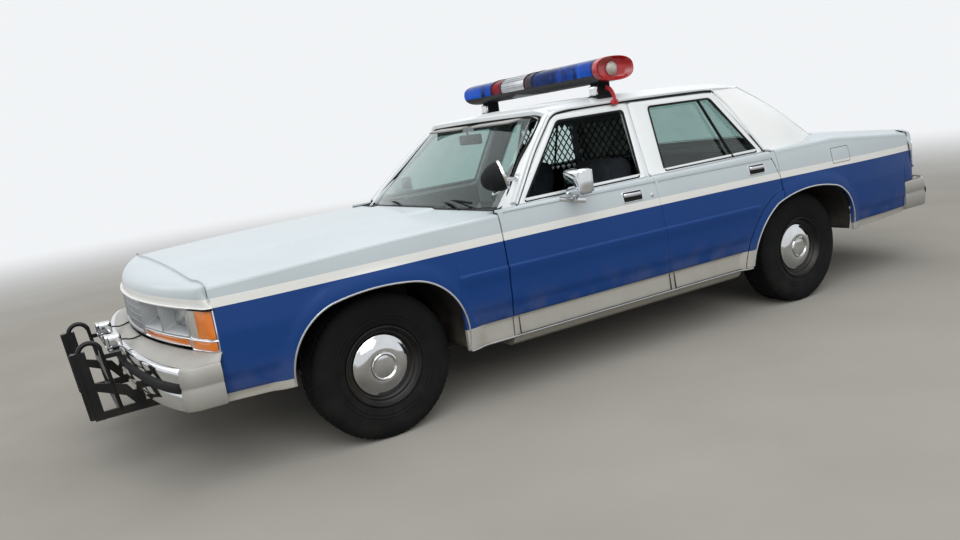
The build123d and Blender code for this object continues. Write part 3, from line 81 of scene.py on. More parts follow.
# Body lines
HALF_WIDTH = 986
SILL_TOP = 338
FENDER_FRONT = 722
HOOD_FRONT = 740
HOOD_HALF = 852
DOOR_FRONT = -667
SHUT_BELT = -1676
SHUT_SILL = -1711
TAIL_CORNER = -4060
TAIL_MIDDLE = -4185
LID_FRONT = -3303
QUARTER_FRONT = -2654
FRONT_ARCH = [
    # three points of each arc: ahead of the axle, height
    ((446, 404), (398, 590), (236, 712)),
    ((236, 712), (36, 738), (-160, 726)),
    ((-160, 726), (-338, 624), (-392, 346)),
]
REAR_ARCH = [
    ((555, 346), (450, 560), (303, 680)),
    ((303, 680), (40, 732), (-205, 713)),
    ((-205, 713), (-352, 632), (-389, 398)),
]


def size(name):
    """One of the add-on's sizes, in millimetres."""
    return getattr(bpy.context.scene.sedan_sizes, name) / MM


def colour(name):
    """One of the add-on's colours."""
    return tuple(getattr(bpy.context.scene.sedan_colours, name)) + (1.0,)


def arc_points(a, b, c, count=24):
    """Points along the circle through three points, from the first to the last."""
    (ax, az), (bx, bz), (cx, cz) = a, b, c
    d = 2 * (ax * (bz - cz) + bx * (cz - az) + cx * (az - bz))
    a2, b2, c2 = ax * ax + az * az, bx * bx + bz * bz, cx * cx + cz * cz
    ux = (a2 * (bz - cz) + b2 * (cz - az) + c2 * (az - bz)) / d
    uz = (a2 * (cx - bx) + b2 * (ax - cx) + c2 * (bx - ax)) / d
    angles = np.unwrap([math.atan2(z - uz, x - ux) for x, z in (a, b, c)])
    turn = np.linspace(angles[0], angles[2], count)
    r = math.hypot(ax - ux, az - uz)
    return np.stack([ux + r * np.cos(turn), uz + r * np.sin(turn)], axis=1)


def arch_line(arcs, axle):
    """The edge of a wheel arch in side view, front foot first."""
    runs = [arc_points(*arc) for arc in arcs]
    line = np.concatenate([runs[0]] + [run[1:] for run in runs[1:]])
    line[:, 0] += axle
    return line


ARCHES = {"front": arch_line(FRONT_ARCH, 0), "rear": arch_line(REAR_ARCH, REAR_AXLE)}


def hinge(t, soft):
    """A ramp, 0 below and t above, rounded over the softness: (t + sqrt(t^2 + soft^2)) / 2."""
    return (t + np.sqrt(t * t + soft * soft)) / 2


def rise(t):
    """A smooth step from 0 to 1 as t goes from 0 to 1: t^2 (3 - 2t)."""
    t = np.clip(t, 0, 1)
    return t * t * (3 - 2 * t)


def bent(t, corners):
    """Straight runs through (place, value, softness) corners, each corner rounded by a hinge."""
    place = [c[0] for c in corners]
    value = [c[1] for c in corners]
    slope = [(value[i + 1] - value[i]) / (place[i + 1] - place[i]) for i in range(len(corners) - 1)]
    out = value[0] + slope[0] * (t - place[0])
    for i in range(1, len(slope)):
        out = out + (slope[i] - slope[i - 1]) * hinge(t - place[i], corners[i][2])
    return out


def plan_drop(x):
    """How far the side has come in towards the nose and tail, growing with the square of the reach."""
    front = 34 * (np.clip(x - 300, 0, None) / 422) ** 2
    rear = 45 * (np.clip(-3300 - x, 0, None) / 650) ** 2
    return front + rear + 85 * (np.clip(-4030 - x, 0, None) / 141) ** 1.8


SIDE_LINE = [
    # height, how far inside the widest line, softness of the corner
    (300, 40, 4), (338, 27, 4), (430, 26, 5), (444, 14, 6), (492, 12, 6), (522, 4, 10),
    (690, 5, 14), (860, 22, 30), (935, 36, 40), (1000, 58, 40),
]
RIDGE_REAR = -2455
RIDGE_FRONT = -360


def arch_distance(x, z, name):
    """Distance of each point from the arch's edge in side view."""
    line = ARCHES[name]
    d = np.hypot(x[..., None] - line[:, 0], z[..., None] - line[:, 1])
    return d.min(axis=-1)


def side_y(x, z):
    """
    Half width of the body: the side line's runs, the ridge above its narrow shelf between the arches,
    the plan's drop at both ends, and round each arch a soft swelling that falls off with the square
    of the distance from its edge.
    """
    x, z = np.broadcast_arrays(np.asarray(x, float), np.asarray(z, float))
    base = HALF_WIDTH - 1 - bent(z, SIDE_LINE)
    fade = rise((RIDGE_FRONT - x) / 70) * rise((x - RIDGE_REAR) / 40)
    shelf = 7 * rise((697 - z) / 9) * rise((z - 610) / 78)
    base = base + shelf * fade
    for name in ("front", "rear"):
        d = arch_distance(x, z, name)
        swell = HALF_WIDTH - 26 * (np.clip(d - 6, 0, None) / 86) ** 2
        base = base + hinge(swell - base, 5) * (d < 240)
    return base - plan_drop(x)


def side_place(x, z, out):
    """A point on the body's side for a station, a height and a distance outwards."""
    return placed(x, side_y(x, z) + out, z)


def shoulder_z(x):
    """Height of the fender's shoulder: a slope with a slight bow."""
    t = (HOOD_FRONT - x) / 1404
    return 888 + 57 * t + 36 * t * (1 - t)


def hood_z(x, y):
    """Top of the nose: the shoulder's height, a crown by the square of y, and a raised middle."""
    crease = 440 + 0.115 * x
    middle = 9 * rise((crease - np.abs(y)) / 34 + 0.5) * rise((HOOD_FRONT + 60 - x) / 260)
    return shoulder_z(x) + 22 * (1 - (y / 930) ** 2) + middle


def belt_z(x):
    """Height of the doors' upper edge."""
    return 962 + (-780 - x) * 0.0142


def deck_z(x, y):
    """Top of the tail: a slope down to the rear, and a crown that drops faster near the shoulders."""
    middle = 1046 + (x + 3212) * 0.0833 + 4 * np.sin(np.clip((-3212 - x) / 888, 0, 1) * math.pi)
    return middle - 20 * (np.abs(y) / 800) ** 2 - 26 * rise((np.abs(y) - 780) / 190)


# Mesh helpers

def levels(low, high, coarse, fine_at=(), fine=3):
    """Places from low to high, with finer steps round the given (centre, reach) pairs."""
    runs = [np.linspace(low, high, max(2, int(abs(high - low) / coarse) + 1))]
    for centre, reach in fine_at:
        runs.append(np.arange(max(low, centre - reach), min(high, centre + reach), fine))
    places = np.unique(np.round(np.concatenate(runs), 2))
    keep = np.concatenate([[True], np.diff(places) > fine * 0.6])
    keep[-1] = True
    return places[keep]


def placed(x, y, z):
    """Three coordinates, numbers or arrays, as one array of points."""
    return np.stack(np.broadcast_arrays(x, y, z), axis=-1)


def blend(a, b, t):
    """What lies between two things: a (1 - t) + b t."""
    return a * (1 - t) + b * t


def sheet(across, along):
    """Places over a panel: from -1 to 1 across the car, and from 0 to 1 along it."""
    return np.meshgrid(np.linspace(-1, 1, across), np.linspace(0, 1, along), indexing="ij")


def walk(path):
    """Running length along a path at each of its points."""
    return np.concatenate([[0], np.cumsum(np.linalg.norm(np.diff(path, axis=0), axis=1))])


def walked_to(path, lengths):
    """Points of a path at running lengths."""
    return np.stack([np.interp(lengths, walk(path), column) for column in path.T], axis=1)


def unit(v):
    """Vectors scaled to length one."""
    return v / np.maximum(np.linalg.norm(v, axis=-1, keepdims=True), 1e-9)


def grid_normals(p):
    """Unit normals of a grid, from the cross product of its two directions."""
    return unit(np.cross(np.gradient(p, axis=0), np.gradient(p, axis=1)))


def rimmed(p, radius=None, depth=14, sides="abcd"):
    """
    A panel whose border turns in round a small radius and runs back as a flange. Sides a and b
    are the first and last row, c and d the first and last column.
    """
    radius = radius or size("edge_radius")
    n = grid_normals(p)
    turn = np.radians([30, 60, 90])

    def skirt(edge, inner, normal):
        out = unit(edge - inner)
        rows = [edge + radius * (np.sin(a) * out - (1 - np.cos(a)) * normal) for a in turn]
        return rows + [rows[-1] - depth * normal]

    for first, last, axis in (("a", "b", 0), ("c", "d", 1)):
        p, n = np.swapaxes(p, 0, axis), np.swapaxes(n, 0, axis)
        head = skirt(p[0], p[1], n[0])[::-1] if first in sides else []
        tail = skirt(p[-1], p[-2], n[-1]) if last in sides else []
        p = np.concatenate([row[None] for row in head] + [p] + [row[None] for row in tail])
        n = np.concatenate([n[:1]] * len(head) + [n] + [n[-1:]] * len(tail))
        p, n = np.swapaxes(p, 0, axis), np.swapaxes(n, 0, axis)
    return p


def grid(p, wrap_rows=False, wrap_cols=False, flip=False):
    """Points and four-sided faces of a grid, closed onto itself where it wraps."""
    rows, cols = p.shape[:2]
    i = np.arange(rows if wrap_rows else rows - 1)[:, None]
    j = np.arange(cols if wrap_cols else cols - 1)[None, :]
    i2, j2 = (i + 1) % rows, (j + 1) % cols
    quads = np.stack([i * cols + j, i2 * cols + j, i2 * cols + j2, i * cols + j2], axis=-1)
    quads = quads.reshape(-1, 4)
    return p.reshape(-1, 3), quads[:, ::-1] if flip else quads


def outward(shell):
    """
    A shell with its faces turned outward: flipped where the volume between its faces and its
    middle, a sixth of the sum of each triangle's triple product, comes out below nothing.
    """
    points, faces = shell
    a, b, c, d = ((points - points.mean(axis=0))[faces[:, k]] for k in range(4))
    held = (np.cross(a, b) * c).sum() + (np.cross(a, c) * d).sum()
    return (points, faces[:, ::-1]) if held < 0 else shell


def facing(shell, way):
    """A shell with its faces turned the given way: flipped where the sum of their areas looks back."""
    points, faces = shell
    a, b, c, d = (points[faces[:, k]] for k in range(4))
    area = np.cross(c - a, d - b).sum(axis=0)
    return (points, faces[:, ::-1]) if area @ np.asarray(way, float) < 0 else shell


def twin(shell):
    """The other side's twin of a shell."""
    points, faces = shell
    return points * [1, -1, 1], faces[:, ::-1]


def joined(*shells):
    """Several shells as one."""
    offset = np.cumsum([0] + [len(s[0]) for s in shells[:-1]])
    return np.concatenate([s[0] for s in shells]), np.concatenate([s[1] + o for s, o in zip(shells, offset)])


def both(shell):
    """A shell with its twin."""
    return joined(shell, twin(shell))


def as_is(shell):
    """The shell itself, for the side that shapes are worked out on."""
    return shell


SIDES = (("left", as_is), ("right", twin))


def capped(p):
    """Rows closed at both ends by a row at their middle."""
    head = np.broadcast_to(p[:1].mean(axis=1, keepdims=True), p[:1].shape)
    tail = np.broadcast_to(p[-1:].mean(axis=1, keepdims=True), p[-1:].shape)
    return np.concatenate([head, p, tail])


def carried(path, profile, along, up):
    """A profile carried along a path: each point is path + a * across + b * upward."""
    across = unit(np.cross(along, np.broadcast_to(np.asarray(up, float), path.shape)))
    upward = np.cross(across, along)
    a, b = profile.T[:, :, None]
    return path[:, None] + a * across[:, None] + b * upward[:, None]


def swept(path, profile, up=(0, 0, 1)):
    """A closed profile carried along a path, with both ends shut."""
    path, profile = np.asarray(path, float), np.asarray(profile, float)
    return outward(grid(capped(carried(path, profile, unit(np.gradient(path, axis=0)), up)), wrap_cols=True))


def disc_profile(radius, count=16):
    """A round profile."""
    t = np.linspace(0, 2 * math.pi, count, endpoint=False)
    return np.stack([radius * np.cos(t), radius * np.sin(t)], axis=1)


def slab_profile(width, height, radius, count=5):
    """A rectangle with rounded corners."""
    t = np.linspace(0, math.pi / 2, count)
    w, h = width / 2 - radius, height / 2 - radius
    runs = []
    for k, (cx, cy) in enumerate(((w, h), (-w, h), (-w, -h), (w, -h))):
        a = t + k * math.pi / 2
        runs.append(np.stack([cx + radius * np.cos(a), cy + radius * np.sin(a)], axis=1))
    return np.concatenate(runs)


def slab(x0, x1, y0, y1, z0, z1, radius=3):
    """A block with every edge rounded: a rounded rectangle carried along x, drawn in at both ends."""
    turn = np.linspace(0, math.pi / 2, 4)
    x = np.concatenate([x0 + radius * (1 - np.sin(turn[::-1])), x1 - radius * (1 - np.sin(turn))])
    inset = np.concatenate([radius * (1 - np.cos(turn[::-1])), radius * (1 - np.cos(turn))])
    rows = []
    for place, pull in zip(x, inset):
        outline = slab_profile(y1 - y0 - 2 * pull, z1 - z0 - 2 * pull, max(radius - pull, 0.2))
        rows.append(np.column_stack([np.full(len(outline), place), outline]))
    p = np.stack(rows) + [0, (y0 + y1) / 2, (z0 + z1) / 2]
    return outward(grid(capped(p), wrap_cols=True))


def turned(profile, centre, axis=(0, 1, 0), count=64):
    """A (radius, place) profile turned about an axis through a centre."""
    profile = np.asarray(profile, float)
    axis = unit(np.asarray(axis, float))
    side = unit(np.cross(axis, (0, 0, 1) if abs(axis[2]) < 0.9 else (1, 0, 0)))
    other = np.cross(axis, side)
    t = np.linspace(0, 2 * math.pi, count, endpoint=False)
    spoke = np.cos(t)[:, None] * side + np.sin(t)[:, None] * other
    radius, place = profile.T[:, :, None, None]
    return outward(grid(radius * spoke + place * axis + np.asarray(centre, float), wrap_cols=True))


def put(name, data):
    """A new object in the scene."""
    made = bpy.data.objects.new(name, data)
    bpy.context.scene.collection.objects.link(made)
    return made


def plain_object(name, shell):
    """A shell as an object in the scene, its doubled points welded."""
    points, faces = shell
    mesh = bpy.data.meshes.new(name)
    mesh.vertices.add(len(points))
    mesh.vertices.foreach_set("co", (points * MM + ORIGIN).astype(np.float32).ravel())
    mesh.loops.add(faces.size)
    mesh.loops.foreach_set("vertex_index", faces.astype(np.int32).ravel())
    mesh.polygons.add(len(faces))
    mesh.polygons.foreach_set("loop_start", np.arange(0, faces.size, 4, dtype=np.int32))
    mesh.update(calc_edges=True)
    work = bmesh.new()
    work.from_mesh(mesh)
    bmesh.ops.remove_doubles(work, verts=work.verts, dist=2e-5)
    bmesh.ops.dissolve_degenerate(work, edges=work.edges, dist=1e-6)
    work.to_mesh(mesh)
    work.free()
    return put(name, mesh)


def piece(name, shell, finish, body, replaces=(), sharp=38, solid=0):
    """Puts a shell into an object that rides on a body, with its finish and its modifiers."""
    made = plain_object(name, shell)
    mesh = made.data
    mesh.polygons.foreach_set("use_smooth", np.ones(len(mesh.polygons), dtype=bool))
    mesh.set_sharp_from_angle(angle=math.radians(sharp))
    mesh.materials.append(finishes()[finish])
    if solid:
        wall = made.modifiers.new("wall", "SOLIDIFY")
        wall.thickness = solid * MM
        wall.offset = -1
    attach(made, body)
    if replaces:
        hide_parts(*replaces)
    return made


# Shader building

class Value:
    """A socket that takes part in Python arithmetic, adding a Math node for each step."""

    def __init__(self, tree, socket):
        self.tree = tree
        self.socket = socket

    def math(self, operation, *others):
        made = self.tree.nodes.new("ShaderNodeMath")
        made.operation = operation
        for place, item in enumerate((self, *others)):
            if isinstance(item, Value):
                self.tree.links.new(item.socket, made.inputs[place])
            else:
                made.inputs[place].default_value = item
        return Value(self.tree, made.outputs[0])

    def __add__(self, other):
        return self.math("ADD", other)

    __radd__ = __add__

    def __sub__(self, other):
        return self.math("SUBTRACT", other)

    def __rsub__(self, other):
        return self.math("MULTIPLY", -1).math("ADD", other)

    def __mul__(self, other):
        return self.math("MULTIPLY", other)

    __rmul__ = __mul__

    def __truediv__(self, other):
        return self.math("DIVIDE", other)

    def __rtruediv__(self, other):
        return self.math("POWER", -1.0) * other

    def clamped(self):
        return self.math("MAXIMUM", 0.0).math("MINIMUM", 1.0)

    def between(self, low, high):
        """Smoothly 0 at low and 1 at high."""
        t = ((self - low) / (high - low)).clamped()
        return t * t * (3 - 2 * t)

    def crossing(self, limit):
        """0 below a limit and 1 above it, as sharp as a masked paint edge."""
        return self.between(limit - PAINT_EDGE, limit + PAINT_EDGE)


class Finish:
    """A material under construction, read from Object coordinates in metres."""

    def __init__(self, name):
        self.material = bpy.data.materials.new(name)
        self.material.use_nodes = True
        self.tree = self.material.node_tree
        self.tree.nodes.clear()
        self.place = self.node("ShaderNodeTexCoord").outputs["Object"]

    def node(self, kind, settings=None, values=None):
        """One node: its type, then its settings, then the values or links of its sockets."""
        made = self.tree.nodes.new(kind)
        for key, value in (settings or {}).items():
            setattr(made, key, value)
        for key, value in (values or {}).items():
            if isinstance(value, Value):
                self.tree.links.new(value.socket, made.inputs[key])
            elif isinstance(value, bpy.types.NodeSocket):
                self.tree.links.new(value, made.inputs[key])
            else:
                made.inputs[key].default_value = value
        return made

    def axes(self):
        """The three object coordinates, each as a value."""
        split = self.node("ShaderNodeSeparateXYZ", values={0: self.place})
        return [Value(self.tree, split.outputs[k]) for k in range(3)]

    def noise(self, scale, detail=3.0, rough=0.5, stretch=(1, 1, 1)):
        """A noise value, stretched along the axes."""
        mapped = self.node("ShaderNodeMapping", values={"Vector": self.place, "Scale": stretch})
        values = {"Vector": mapped.outputs[0], "Scale": scale, "Detail": detail, "Roughness": rough}
        return Value(self.tree, self.node("ShaderNodeTexNoise", values=values).outputs[0])

    def mix(self, factor, a, b):
        """A colour between two colours."""
        return self.node("ShaderNodeMix", {"data_type": "RGBA"}, {0: factor, 6: a, 7: b}).outputs[2]

    def bump(self, height, depth, strength=0.4):
        """A bumped normal from a height value and its depth in metres."""
        values = {"Height": height, "Distance": depth, "Strength": strength}
        return self.node("ShaderNodeBump", values=values).outputs[0]

    def surface(self, **sockets):
        """The shader itself, by socket name, with spaces written as underscores."""
        values = {key.replace("_", " "): value for key, value in sockets.items()}
        shader = self.node("ShaderNodeBsdfPrincipled", values=values)
        out = self.node("ShaderNodeOutputMaterial")
        self.tree.links.new(shader.outputs[0], out.inputs[0])
        return self.material


def rgb(red, green, blue):
    """A colour written in display values from 0 to 255."""
    def linear(v):
        v /= 255
        return v / 12.92 if v <= 0.04045 else ((v + 0.055) / 1.055) ** 2.4
    return (linear(red), linear(green), linear(blue), 1.0)


def dusty(finish, base, dust=rgb(150, 140, 122), low=0.30, high=0.62, most=0.35):
    """A colour with road dust that gathers towards the floor."""
    z = finish.axes()[2]
    grime = (1 - z.between(low, high)) * finish.noise(9.0, 4.0).between(0.35, 0.7) * most
    return finish.mix(grime, base, dust)


# The paint's lines in metres: the blue's upper edge is highest BLUE_PEAK behind the front axle
BLUE_TOP = 0.820
BLUE_PEAK = 2.1
BLUE_BOW = 0.00276
STRIPE_HEIGHT = 0.039
BAND_TOP = 0.439
PAINT_EDGE = 0.0005


def paint_finish():
    """Silver upper body, white stripe, blue sides and a silver lower band, split by height."""
    f = Finish("body_paint")
    x, _, z = f.axes()
    span = x - FRONT_AXLE + BLUE_PEAK
    edge = BLUE_TOP - BLUE_BOW * span * span
    cloud = f.noise(2.2, 3.0)
    silver = f.mix(cloud * 0.6, colour("silver"), rgb(203, 211, 215))
    low = f.mix(cloud, colour("low_band"), rgb(184, 182, 174))
    blue = f.mix(cloud * 0.3, colour("blue"), rgb(12, 62, 132))
    tone = f.mix((z - edge).crossing(STRIPE_HEIGHT), colour("stripe"), silver)
    upper = (z - edge).crossing(0.0)
    tone = f.mix(upper, blue, tone)
    tone = f.mix(z.crossing(BAND_TOP), low, tone)
    tone = dusty(f, tone, most=0.22)
    rough = 0.5 + 0.1 * (1 - z.between(0.35, 0.75)) + 0.05 * f.noise(14.0)
    return f.surface(
        Base_Color=tone, Roughness=rough, Coat_Weight=0.06 + 0.34 * upper, Coat_Roughness=0.06,
        Specular_IOR_Level=0.24, Normal=f.bump(f.noise(9.0, 1.0), 0.0004, 0.08),
    )


def vinyl_finish():
    """White grained vinyl of the rear pillars."""
    f = Finish("white_vinyl")
    grain = f.noise(420.0, 4.0, 0.6)
    tone = f.mix(f.noise(3.0), colour("vinyl"), rgb(238, 239, 238))
    return f.surface(Base_Color=tone, Roughness=0.42 + 0.1 * grain, Normal=f.bump(grain, 0.0006, 0.35))


def roof_finish():
    """White roof paint."""
    f = Finish("roof_paint")
    tone = f.mix(f.noise(1.7), colour("roof"), rgb(228, 231, 232))
    return f.surface(
        Base_Color=tone, Roughness=0.5 + 0.06 * f.noise(20.0), Coat_Weight=0.5, Coat_Roughness=0.06,
        Normal=f.bump(f.noise(8.0, 1.0), 0.0004, 0.08),
    )


def chrome_finish():
    """Bright chrome with faint haze and dust low down."""
    f = Finish("chrome")
    haze = f.noise(30.0, 4.0)
    shade = dusty(f, f.mix(haze, rgb(205, 208, 210), rgb(228, 230, 232)), most=0.3)
    return f.surface(
        Base_Color=shade, Metallic=1.0, Roughness=0.06 + 0.14 * haze.between(0.45, 0.8),
        Normal=f.bump(f.noise(60.0), 0.0002, 0.1),
    )


def mirror_finish():
    """Silvered glass with a faint dusty haze."""
    f = Finish("mirror_glass")
    haze = f.noise(12.0, 4.0)
    shade = f.mix(haze, rgb(206, 212, 214), rgb(222, 226, 228))
    return f.surface(Base_Color=shade, Metallic=1.0, Roughness=0.02 + 0.06 * haze.between(0.5, 0.9))


def plain_metal(name, dark, light, rough, metallic=1.0, scale=18.0, dirt=0.25):
    """A metal with cloudy tone and a fine grain."""
    f = Finish(name)
    tone = f.noise(scale, 4.0, 0.55)
    shade = dusty(f, f.mix(tone, dark, light), most=dirt)
    return f.surface(
        Base_Color=shade, Metallic=metallic, Roughness=rough + 0.15 * tone,
        Normal=f.bump(f.noise(300.0, 3.0), 0.0003, 0.25),
    )


def rubber_finish(name, dark, light, most):
    """Black rubber with pale road dust."""
    f = Finish(name)
    tone = f.noise(26.0, 5.0, 0.6)
    shade = dusty(f, f.mix(tone, dark, light), rgb(92, 86, 76), 0.02, 0.8, most)
    return f.surface(
        Base_Color=shade, Roughness=0.72 + 0.18 * tone, Specular_IOR_Level=0.2,
        Normal=f.bump(f.noise(500.0, 3.0), 0.0004, 0.4),
    )


def soft_plastic(name, dark, light, rough=0.55, grain=500.0, depth=0.0004):
    """Moulded plastic or painted trim with a fine grain."""
    f = Finish(name)
    tone = f.noise(8.0, 3.0)
    fine = f.noise(grain, 3.0)
    return f.surface(
        Base_Color=f.mix(tone, dark, light), Roughness=rough + 0.12 * fine, Normal=f.bump(fine, depth, 0.4)
    )


def cloth_finish(name, dark, light, pitch=0.0032):
    """Woven cloth: crossed fine ribs with a mottled tone."""
    f = Finish(name)
    x, y, z = f.axes()
    ribs = (y * (6.2832 / pitch)).math("SINE") * ((x + z) * (6.2832 / pitch)).math("SINE")
    tone = f.noise(14.0, 4.0)
    shade = f.mix((ribs * 0.25 + tone).clamped(), dark, light)
    return f.surface(Base_Color=shade, Roughness=0.93, Normal=f.bump(ribs, 0.0006, 0.5))


def lens_finish(name, shade, deep, rough=0.08, see=0.75, bend=1.49, coat=0.5):
    """A moulded coloured lens with optic ribs."""
    f = Finish(name)
    _, y, z = f.axes()
    ribs = (y * 700.0).math("SINE") * 0.5 + (z * 700.0).math("SINE") * 0.5
    base = f.mix(f.noise(16.0, 3.0), deep, shade)
    return f.surface(
        Base_Color=base, Roughness=rough, Transmission_Weight=see, IOR=bend, Coat_Weight=coat,
        Normal=f.bump(ribs, 0.0008, 0.3),
    )


def glass_finish():
    """Faintly tinted window glass with slight streaks."""
    f = Finish("window_glass")
    streak = f.noise(5.0, 4.0, 0.6, (1, 3, 0.4))
    shade = f.mix(streak, rgb(176, 200, 196), rgb(198, 216, 212))
    return f.surface(Base_Color=shade, Roughness=0.01 + 0.03 * streak, Transmission_Weight=1.0, IOR=1.45)


def pierced_finish():
    """Aluminium sheet with a close pattern of round holes, each painted near black as the shade of the hollow
    behind it.
    """
    f = Finish("pierced_metal")
    pitch = 0.0125
    places = {"Vector": f.place, "Scale": 1 / pitch, "Randomness": 0.0}
    dots = f.node("ShaderNodeTexVoronoi", {"voronoi_dimensions": "3D"}, places)
    hole = 1 - Value(f.tree, dots.outputs["Distance"]).between(0.30, 0.36)
    tone = f.noise(30.0, 4.0)
    # Holes painted near black: painted shade of the hollow behind the sheet, over a real pattern of holes
    shade = f.mix(hole, f.mix(tone, rgb(160, 163, 166), rgb(196, 199, 201)), rgb(16, 17, 18))
    return f.surface(
        Base_Color=shade, Metallic=1 - hole, Roughness=0.34 + 0.3 * hole,
        Normal=f.bump(1 - hole, 0.001, 0.5),
    )


def fin_finish():
    """A radiator's core: fine upright fins between flat tubes, lighter on them, with painted shade darkening
    the gaps between them.
    """
    f = Finish("radiator_core")
    _, y, z = f.axes()
    fins = (z * 2400.0).math("SINE") * 0.5 + 0.5
    tubes = (y * 620.0).math("SINE").between(0.2, 0.7)
    # Lighter on the fins and tubes, darker between them: painted shade in the gaps of the core
    shade = f.mix(fins * 0.5 + tubes * 0.5, rgb(26, 27, 28), rgb(96, 98, 100))
    return f.surface(
        Base_Color=shade, Metallic=0.6, Roughness=0.5 + 0.1 * fins, Normal=f.bump(fins, 0.001, 0.5)
    )


FINISH_ROWS = {
    # key: maker, the material's name, first tone, second tone, and the maker's further settings
    "silver_trim": (plain_metal, "silver_trim", (150, 153, 155), (182, 185, 187), 0.26, 0.8),
    "grey_panel": (plain_metal, "grey_panel", (150, 151, 150), (174, 175, 173), 0.34, 0.35),
    "rocker": (plain_metal, "stone_guard", (118, 116, 108), (146, 143, 133), 0.6, 0.1, 60.0),
    "black_steel": (plain_metal, "black_steel", (10, 11, 12), (22, 22, 23), 0.35, 0.4, 40.0, 0.06),
    "under": (plain_metal, "underbody", (24, 24, 24), (52, 48, 43), 0.7, 0.2, 12.0),
    "iron": (plain_metal, "cast_iron", (52, 50, 47), (86, 80, 72), 0.6, 0.6, 30.0),
    "pipe": (plain_metal, "pipe_steel", (104, 92, 80), (134, 126, 118), 0.5, 0.8, 22.0),
    "bezel": (plain_metal, "bezel_silver", (150, 153, 155), (176, 179, 181), 0.3, 0.55, 12.0),
    "end_cap": (plain_metal, "end_cap_paint", (150, 149, 144), (172, 170, 164), 0.42, 0.2, 9.0),
    "bright_trim": (plain_metal, "bright_trim", (196, 199, 201), (222, 224, 225), 0.12, 0.9, 20.0),
    "tyre": (rubber_finish, "tyre_rubber", (9, 10, 12), (19, 20, 22), 0.08),
    "rubber": (rubber_finish, "black_rubber", (16, 17, 18), (34, 35, 36), 0.12),
    "dash": (soft_plastic, "dark_plastic", (14, 15, 17), (30, 32, 35)),
    "trim": (soft_plastic, "door_trim", (34, 38, 44), (50, 55, 61), 0.6, 300.0),
    "headliner": (soft_plastic, "headliner", (150, 150, 146), (170, 170, 166), 0.85, 700.0),
    "hook_red": (soft_plastic, "hook_red", (176, 30, 40), (200, 52, 60), 0.4),
    "plate": (soft_plastic, "blank_plate", (214, 214, 208), (226, 226, 220), 0.4),
    "smoked": (soft_plastic, "dial_window", (8, 9, 10), (18, 19, 21), 0.12, 300.0, 0.0001),
    "dial": (soft_plastic, "dial_face", (30, 31, 33), (46, 47, 49), 0.4),
    "carpet": (cloth_finish, "carpet", (20, 22, 26), (40, 43, 48), 0.004),
    "seat": (cloth_finish, "seat_cloth", (26, 29, 35), (52, 56, 64)),
    "smoke": (lens_finish, "smoke_dome", (150, 158, 166), (110, 118, 126), 0.06, 0.85, 1.12, 0.12),
    "clear_side": (lens_finish, "clear_side_lens", (214, 212, 204), (188, 186, 178), 0.12, 0.3),
    "end_red": (lens_finish, "red_end_lens", (196, 18, 28), (120, 4, 10), 0.1, 0.0),
    "lamp_glass": (lens_finish, "lamp_glass", (70, 74, 78), (28, 30, 34), 0.08, 0.2),
    "bulb": (lens_finish, "lamp_bulb", (240, 240, 236), (220, 222, 222), 0.05, 0.3),
    "amber": (lens_finish, "amber_lens", (238, 140, 8), (216, 96, 2), 0.12, 0.0),
    "clear": (lens_finish, "clear_lens", (236, 238, 238), (214, 218, 218)),
    "red": (lens_finish, "red_lens", (206, 26, 26), (140, 8, 10), 0.08, 0.45),
    "dome_blue": (lens_finish, "blue_dome", (34, 108, 216), (6, 60, 176), 0.06, 0.85, 1.12, 0.12),
    "dome_red": (lens_finish, "red_dome", (228, 30, 34), (160, 10, 14), 0.06, 0.7, 1.12, 0.12),
}
MADE_FINISHES = {}


def finishes():
    """Every finish of the car by key, made once."""
    if not MADE_FINISHES:
        MADE_FINISHES.update(
            paint=paint_finish(), vinyl=vinyl_finish(), roof=roof_finish(), chrome=chrome_finish(),
            glass=glass_finish(), pierced=pierced_finish(), mirror=mirror_finish(), fins=fin_finish(),
        )
        for key, (maker, name, first, second, *more) in FINISH_ROWS.items():
            MADE_FINISHES[key] = maker(name, rgb(*first), rgb(*second), *more)
    return MADE_FINISHES


# Panels of the car's side

TURN_UP = np.radians(np.linspace(12, 90, 8))
SHOULDER_RADIUS = 18
DOOR_TOP_IN = 908
SIDE_CREASES = ((436, 14), (506, 24))


def side_panel(x, z, edge_z, top_in, top_rise=None):
    """
    A panel of the left side from rows of places. Below edge_z it lies on the body side; above,
    a quarter turn leads on to a run that ends top_in from the middle, at the heights of top_rise.
    """
    p = side_place(x, z, 0)
    last = p[:, -1]
    radius = edge_z - last[:, 2]
    rows = [
        placed(last[:, 0], last[:, 1] - SHOULDER_RADIUS * (1 - np.cos(a)), last[:, 2] + radius * np.sin(a))
        for a in TURN_UP
    ]
    start = rows[-1]
    for t in np.linspace(0, 1, 6)[1:]:
        y_here = start[:, 1] + (top_in - start[:, 1]) * t
        z_here = start[:, 2] if top_rise is None else top_rise(start[:, 0], y_here, start, t)
        rows.append(placed(start[:, 0], y_here, z_here))
    return np.concatenate([p, np.stack(rows, axis=1)], axis=1)


